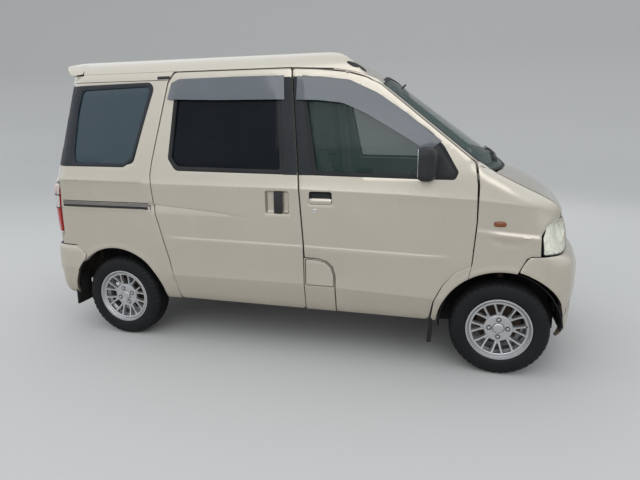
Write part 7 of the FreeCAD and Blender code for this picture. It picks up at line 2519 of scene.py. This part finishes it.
do = rounded(mm([(1083, 730, 10), (1083, 1082, 14), (1040, 1098, 20), (985, 1094, 30), (900, 1078, 40), (806, 1008, 40), (796, 930, 30), (880, 850, 30), (902, 730, 20)]), 0.016)
bm = bmesh.new()
rows = []
for y in np.linspace(-0.578, 0.578, 60):
    dy = 0.0
    ring = []
    hood = math.exp(-((y + 0.33) / 0.17) ** 4)
    pas = math.exp(-((y - 0.33) / 0.20) ** 4)
    mid = math.exp(-((y) / 0.13) ** 4)
    for x, z in do:
        k = sstep(0.93, 0.80, x)
        zz = z + 0.014 * hood * float(sstep(1.0, 1.06, z) * sstep(1.0, 0.93, x))
        xx = x - 0.0 * k
        # instrument well, shelf on the left, centre stack
        if x < 0.90 and 0.93 < z < 1.07:
            xx += 0.020 * hood * math.exp(-((z - 1.015) / 0.03) ** 2)
            xx += 0.035 * pas * math.exp(-((z - 0.985) / 0.022) ** 2)
        ring.append((xx, y, zz))
    rows.append(ring)
vs = grid_mesh(bm, np.array(rows), close_v=True)
bm.faces.new(vs[0][::-1]); bm.faces.new(vs[-1])
bm_object("dashboard_mesh", bm, [DASH], smooth=50)
bm = bmesh.new()
rod_between(bm, sc_v - sdv * 0.022, sc_v - sdv * 0.30, 0.030, 20, 0.034)
rounded_box(bm, tuple(sc_v - sdv * 0.075), (0.07, 0.10, 0.07), 0.016, rotw, seg=3)
for sg in (-1, 1):
    a = sc_v - sdv * 0.055
    rod_between(bm, a, a + Vector((0.01, sg * 0.15, 0.028)), 0.006, 10, 0.005)
bm_object("steering_column_cover", bm, [DASH], smooth=50)
bm = bmesh.new()
rounded_box(bm, (0.800, 0.0, 0.965), (0.016, 0.19, 0.055), 0.005)
for i in range(3):
    a = Vector((0.797, -0.06 + 0.06 * i, 0.900))
    rod_between(bm, a + Vector((0.03, 0, 0)), a + Vector((-0.006, 0, 0)), 0.018, 24, 0.016)
for y0 in (-0.50, -0.14, 0.14, 0.50):
    for i in range(4):
        rounded_box(bm, (0.822, y0, 1.010 + 0.009 * i), (0.014, 0.085, 0.003), 0.001, Matrix.Rotation(-0.5, 3, "Y"), seg=1)
bm_object("dashboard_controls", bm, [PLASTIC], smooth=50)
bm = bmesh.new()
rounded_box(bm, (0.812, -0.33, 1.040), (0.004, 0.22, 0.055), 0.0018, Matrix.Rotation(0.35, 3, "Y"))
bm_object("instrument_face", bm, [GLOSS_BLACK])
bm = bmesh.new()
rounded_box(bm, (0.600, 0.0, 1.595), (0.018, 0.20, 0.055), 0.008, Matrix.Rotation(-0.15, 3, "Y"), seg=3)
rod_between(bm, (0.608, 0, 1.60), (0.640, 0, 1.632), 0.006, 10)
bm_object("inner_mirror", bm, [PLASTIC], smooth=50)
for s, nm in ((-1, "right"), (1, "left")):
    bm = bmesh.new()
    rounded_box(bm, (0.495, s * 0.30, 1.655), (0.10, 0.36, 0.012), 0.005, Matrix.Rotation(0.42, 3, "Y"), seg=3)
    bm_object("sun_visor_" + nm, bm, [HEADLINER], smooth=50)

# ------------------------------------------------------------------ inner structure of the body
bm = bmesh.new()
rounded_box(bm, (1.100, 0, 0.842), (0.014, 1.20, 0.496), 0.004)
rounded_box(bm, (1.100, 0, 0.488), (0.014, 0.70, 0.220), 0.004)
rounded_box(bm, (1.118, 0, 1.072), (0.090, 1.16, 0.012), 0.004)
for k in range(5):
    rounded_box(bm, (1.109, -0.48 + 0.24 * k, 0.79), (0.010, 0.10, 0.36), 0.004, seg=2)
for s in (-1, 1):
    rounded_box(bm, (1.235, s * 0.60, 0.930), (0.30, 0.030, 0.10), 0.008, Matrix.Rotation(0.10, 3, "Y"))
    rounded_box(bm, (1.40, s * 0.350, 0.60), (0.30, 0.012, 0.25), 0.004)
rounded_box(bm, (1.530, 0, 0.680), (0.030, 0.96, 0.050), 0.006)
rounded_box(bm, (1.522, 0, 0.835), (0.020, 0.84, 0.030), 0.006)
bm_object("front_inner_body", bm, [PAINT_IN], smooth=40)
bm = bmesh.new()
for s in (-1, 1):
    rounded_box(bm, (1.255, s * 0.366, 0.440), (0.66, 0.008, 0.52), 0.002)
    rounded_box(bm, (1.552, s * 0.45, 0.50), (0.010, 0.18, 0.30), 0.002)
    rounded_box(bm, (0.925, s * 0.48, 0.36), (0.010, 0.26, 0.26), 0.002)
    rounded_box(bm, (1.275, s * 0.50, 0.701), (0.36, 0.23, 0.020), 0.006)
    rounded_box(bm, (1.585, s * 0.470, 0.36), (0.010, 0.26, 0.20), 0.002)
    rounded_box(bm, (-1.145, s * 0.46, 0.46), (0.62, 0.008, 0.36), 0.002)
bm_object("wheel_house_plates", bm, [FLAP_M], smooth=40)
bm = bmesh.new()
for s in (-1, 1):
    rounded_box(bm, (0.080, s * 0.608, 0.333), (1.558, 0.096, 0.066), 0.008)
    rounded_box(bm, (0.080, s * 0.6615, 0.345), (1.540, 0.010, 0.060), 0.003)
    P = []
    for z in np.linspace(0.36, 1.700, 30):
        xm = float(line(np.array(z), [(0.36, 0.123), (1.10, 0.106), (1.70, 0.073)]))
        hw = float(line(np.array(z), [(0.36, 0.055), (1.10, 0.034), (1.70, 0.026)]))
        y1 = float(table(YT, np.array([xm]), np.array([z]))[0]) - 0.066
        y0 = y1 - 0.040
        P.append([(xm - hw, s * y1, z), (xm + hw, s * y1, z), (xm + hw * 0.8, s * y0, z), (xm - hw * 0.8, s * y0, z)])
    vs = grid_mesh(bm, np.array(P), close_v=True)
    bm.faces.new(vs[0][::-1]); bm.faces.new(vs[-1])
    # wheel houses' outer edge behind the quarter panel and a rear corner filler
    rounded_box(bm, (-1.588, s * 0.620, 0.660), (0.040, 0.09, 0.060), 0.008)
    # cant rail under the roof's edge
    P = []
    for x in np.linspace(-1.28, 0.50, 40):
        zz = float(roof_side_z(np.array(x))) + 0.004
        sd_ = float(s_for_z(np.array(zz)))
        p = roof_point(np.array(x), np.array(s * sd_))
        P.append([(p[0], p[1] - s * 0.020, p[2] - 0.014), (p[0], p[1] - s * 0.022, p[2] + 0.006), (p[0], p[1] - s * 0.075, p[2] + 0.012), (p[0], p[1] - s * 0.075, p[2] - 0.040)])
    vs = grid_mesh(bm, np.array(P), close_v=True)
    bm.faces.new(vs[0][::-1]); bm.faces.new(vs[-1])
bm_object("side_inner_body", bm, [PAINT_IN], smooth=40)

# ------------------------------------------------------------------ which piece stands for which CAD node
for piece, nodes in (("roof_skin", ["roof"]), ("quarter_panel_right", ["quarter_panels"]), ("front_inner_body", ["front_frame"]), ("side_inner_body", ["side_frames"]),
                     ("fender_right", ["fenders"]), ("bonnet_skin", ["bonnet"]), ("nose_panel_skin", ["nose_panel"]), ("front_bumper_skin", ["front_bumper"]),
                     ("rear_bumper_skin", ["rear_bumper"]), ("headlamp_housing_right", ["headlamps"]), ("tail_lamp_right", ["tail_lamps"]), ("tailgate_skin", ["tailgate"]),
                     ("tailgate_glass", ["tailgate_window"]), ("windscreen_glass", ["windscreen"]), ("sliding_window_glass_right", ["side_windows"]),
                     ("sliding_door_right_skin", ["sliding_doors"]), ("front_door_right_skin", ["front_door_right"]), ("front_door_left_skin", ["front_door_left"]),
                     ("front_window_glass_right", ["front_window_right"]), ("front_window_glass_left", ["front_window_left"]), ("mirror_shell_right", ["mirror_right"]),
                     ("mirror_shell_left", ["mirror_left"]), ("fuel_flap_skin", ["fuel_flap"]), ("dashboard_mesh", ["dashboard"]), ("steering_wheel_mesh", ["steering_wheel"]),
                     ("front_seat_cushion_right", ["front_seats"]), ("rear_seat_cushion", ["rear_seat"]),
                     ("tyre_mesh_front_right", ["tyre_front_right"]), ("tyre_mesh_front_left", ["tyre_front_left"]), ("tyre_mesh_rear_right", ["tyre_rear_right"]), ("tyre_mesh_rear_left", ["tyre_rear_left"]),
                     ("alloy_front_right", ["rim_front_right"]), ("alloy_front_left", ["rim_front_left"]), ("alloy_rear_right", ["rim_rear_right"]), ("alloy_rear_left", ["rim_rear_left"])):
    name = {"sliding_door_right_skin": "sliding_door_right_skin"}.get(piece, piece)
    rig.replaces(made[name], *nodes)

for prefix, slot_name in (("roof_skin", "body_paint"), ("quarter", "body_paint"), ("fender", "body_paint"), ("bonnet_skin", "body_paint"), ("front_door", "body_paint"), ("sliding_door_", "body_paint"),
                          ("tailgate_skin", "body_paint"), ("front_bumper_skin", "body_paint"), ("rear_bumper_skin", "body_paint"), ("nose_panel_skin", "body_paint"), ("tyre_mesh", "tyre"), ("alloy_", "alloy")):
    for n_, o_ in made.items():
        if n_.startswith(prefix) and o_.data.materials and o_.data.materials[0] in (PAINT, PAINT_LOW, TYRE, ALLOY):
            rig.slot(o_, slot_name)

for node, mat_ in (("floor_pan", CARPET), ("chassis_rails", DARK_METAL), ("engine", ENGINE_M), ("propshaft", DARK_METAL), ("fuel_tank", DARK_METAL), ("exhaust", CAST), ("rear_axle", CAST),
                   ("front_suspension", CAST), ("front_knuckle_right", CAST), ("front_knuckle_left", CAST), ("front_liners", FLAP_M), ("radiator", DARK_METAL), ("mud_flaps", FLAP_M)):
    ob = frame["nodes"][node]
    if not ob.material_slots:
        ob.data.materials.append(mat_)
    for ms in ob.material_slots:
        ms.material = mat_

# ------------------------------------------------------------------ floor, light, camera
floor_m = bpy.data.materials.new("studio_floor")
floor_m.use_nodes = True
fb = floor_m.node_tree.nodes["Principled BSDF"]
fb.inputs["Base Color"].default_value = (0.44, 0.435, 0.42, 1)
fb.inputs["Roughness"].default_value = 0.85
fb.inputs["Specular IOR Level"].default_value = 0.2
bm = bmesh.new()
R_ = 14.0
P = []
for i in range(2):
    P.append([(-R_ + 2 * R_ * i, -9.0, 0.0), (-R_ + 2 * R_ * i, 6.0, 0.0), (-R_ + 2 * R_ * i, 8.2, 0.35), (-R_ + 2 * R_ * i, 9.6, 1.4), (-R_ + 2 * R_ * i, 10.2, 3.0), (-R_ + 2 * R_ * i, 10.2, 9.0)])
grid_mesh(bm, np.array(P))
me = bpy.data.meshes.new("studio")
bm.to_mesh(me)
bm.free()
me.materials.append(floor_m)
me.shade_smooth()
studio = bpy.data.objects.new("studio", me)
bpy.context.scene.collection.objects.link(studio)
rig.stage(studio)

world = bpy.data.worlds.new("studio_light")
bpy.context.scene.world = world
world.use_nodes = True
wn = world.node_tree
bg = wn.nodes["Background"]
tc = wn.nodes.new("ShaderNodeTexCoord")
sp3 = wn.nodes.new("ShaderNodeSeparateXYZ")
wn.links.new(tc.outputs["Generated"], sp3.inputs[0])
rp = wn.nodes.new("ShaderNodeValToRGB")
rp.color_ramp.elements[0].position = 0.30
rp.color_ramp.elements[0].color = (0.44, 0.43, 0.41, 1)
rp.color_ramp.elements[1].position = 0.72
rp.color_ramp.elements[1].color = (1.30, 1.37, 1.46, 1)
mr = wn.nodes.new("ShaderNodeMapRange")
mr.inputs["From Min"].default_value = -1
mr.inputs["From Max"].default_value = 1
wn.links.new(sp3.outputs[2], mr.inputs[0])
wn.links.new(mr.outputs[0], rp.inputs[0])
wn.links.new(rp.outputs[0], bg.inputs[0])
bg.inputs[1].default_value = 0.88


def area_light(name, loc, target, size, size_y, power, colour=(1, 1, 1)):
    d = bpy.data.lights.new(name, "AREA")
    d.shape = "RECTANGLE"
    d.size, d.size_y = size, size_y
    d.energy = power
    d.color = colour
    o = bpy.data.objects.new(name, d)
    o.location = loc
    o.rotation_euler = (Vector(target) - Vector(loc)).to_track_quat("-Z", "Y").to_euler()
    bpy.context.scene.collection.objects.link(o)
    return o


area_light("key", (1.2, -5.2, 4.6), (0, 0, 0.8), 7.0, 4.0, 95, (1.0, 0.99, 0.98))
for fill in (area_light("top", (-0.5, 0.5, 5.5), (0, 0, 1.0), 7.0, 5.0, 30, (0.95, 0.975, 1.0)), area_light("left_fill", (1.0, 6.0, 3.2), (0, 0, 0.8), 5.0, 3.0, 60),
             area_light("rear_fill", (-6.0, -1.5, 2.8), (0, 0, 0.8), 4.0, 3.0, 40)):
    fill.visible_glossy = False

cam_d = bpy.data.cameras.new("camera")
cam_d.lens = 28.125
cam_d.sensor_width = 36.0
cam = bpy.data.objects.new("camera", cam_d)
yaw, pitch, roll = 0.2663, 0.2355, -0.0118
sy_, cy_ = math.sin(yaw), math.cos(yaw)
sp_, cp_ = math.sin(pitch), math.cos(pitch)
fwd = Vector((-sy_ * cp_, cy_ * cp_, -sp_))
right = Vector((cy_, sy_, 0))
upv = right.cross(fwd)
r2 = right * math.cos(roll) + upv * math.sin(roll)
u2 = -right * math.sin(roll) + upv * math.cos(roll)
M = Matrix(((r2.x, u2.x, -fwd.x, 0.9837), (r2.y, u2.y, -fwd.y, -3.4321), (r2.z, u2.z, -fwd.z, 1.4144), (0, 0, 0, 1)))
cam.matrix_world = M
bpy.context.scene.collection.objects.link(cam)
bpy.context.scene.camera = cam
bpy.context.scene.view_settings.view_transform = "Standard"
bpy.context.scene.view_settings.look = "None"

with open("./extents.json", "w") as f_:
    json.dump({"cad": [list(map(float, p)) for p in cad_box], "visual": [list(map(float, p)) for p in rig.bounds()]}, f_)
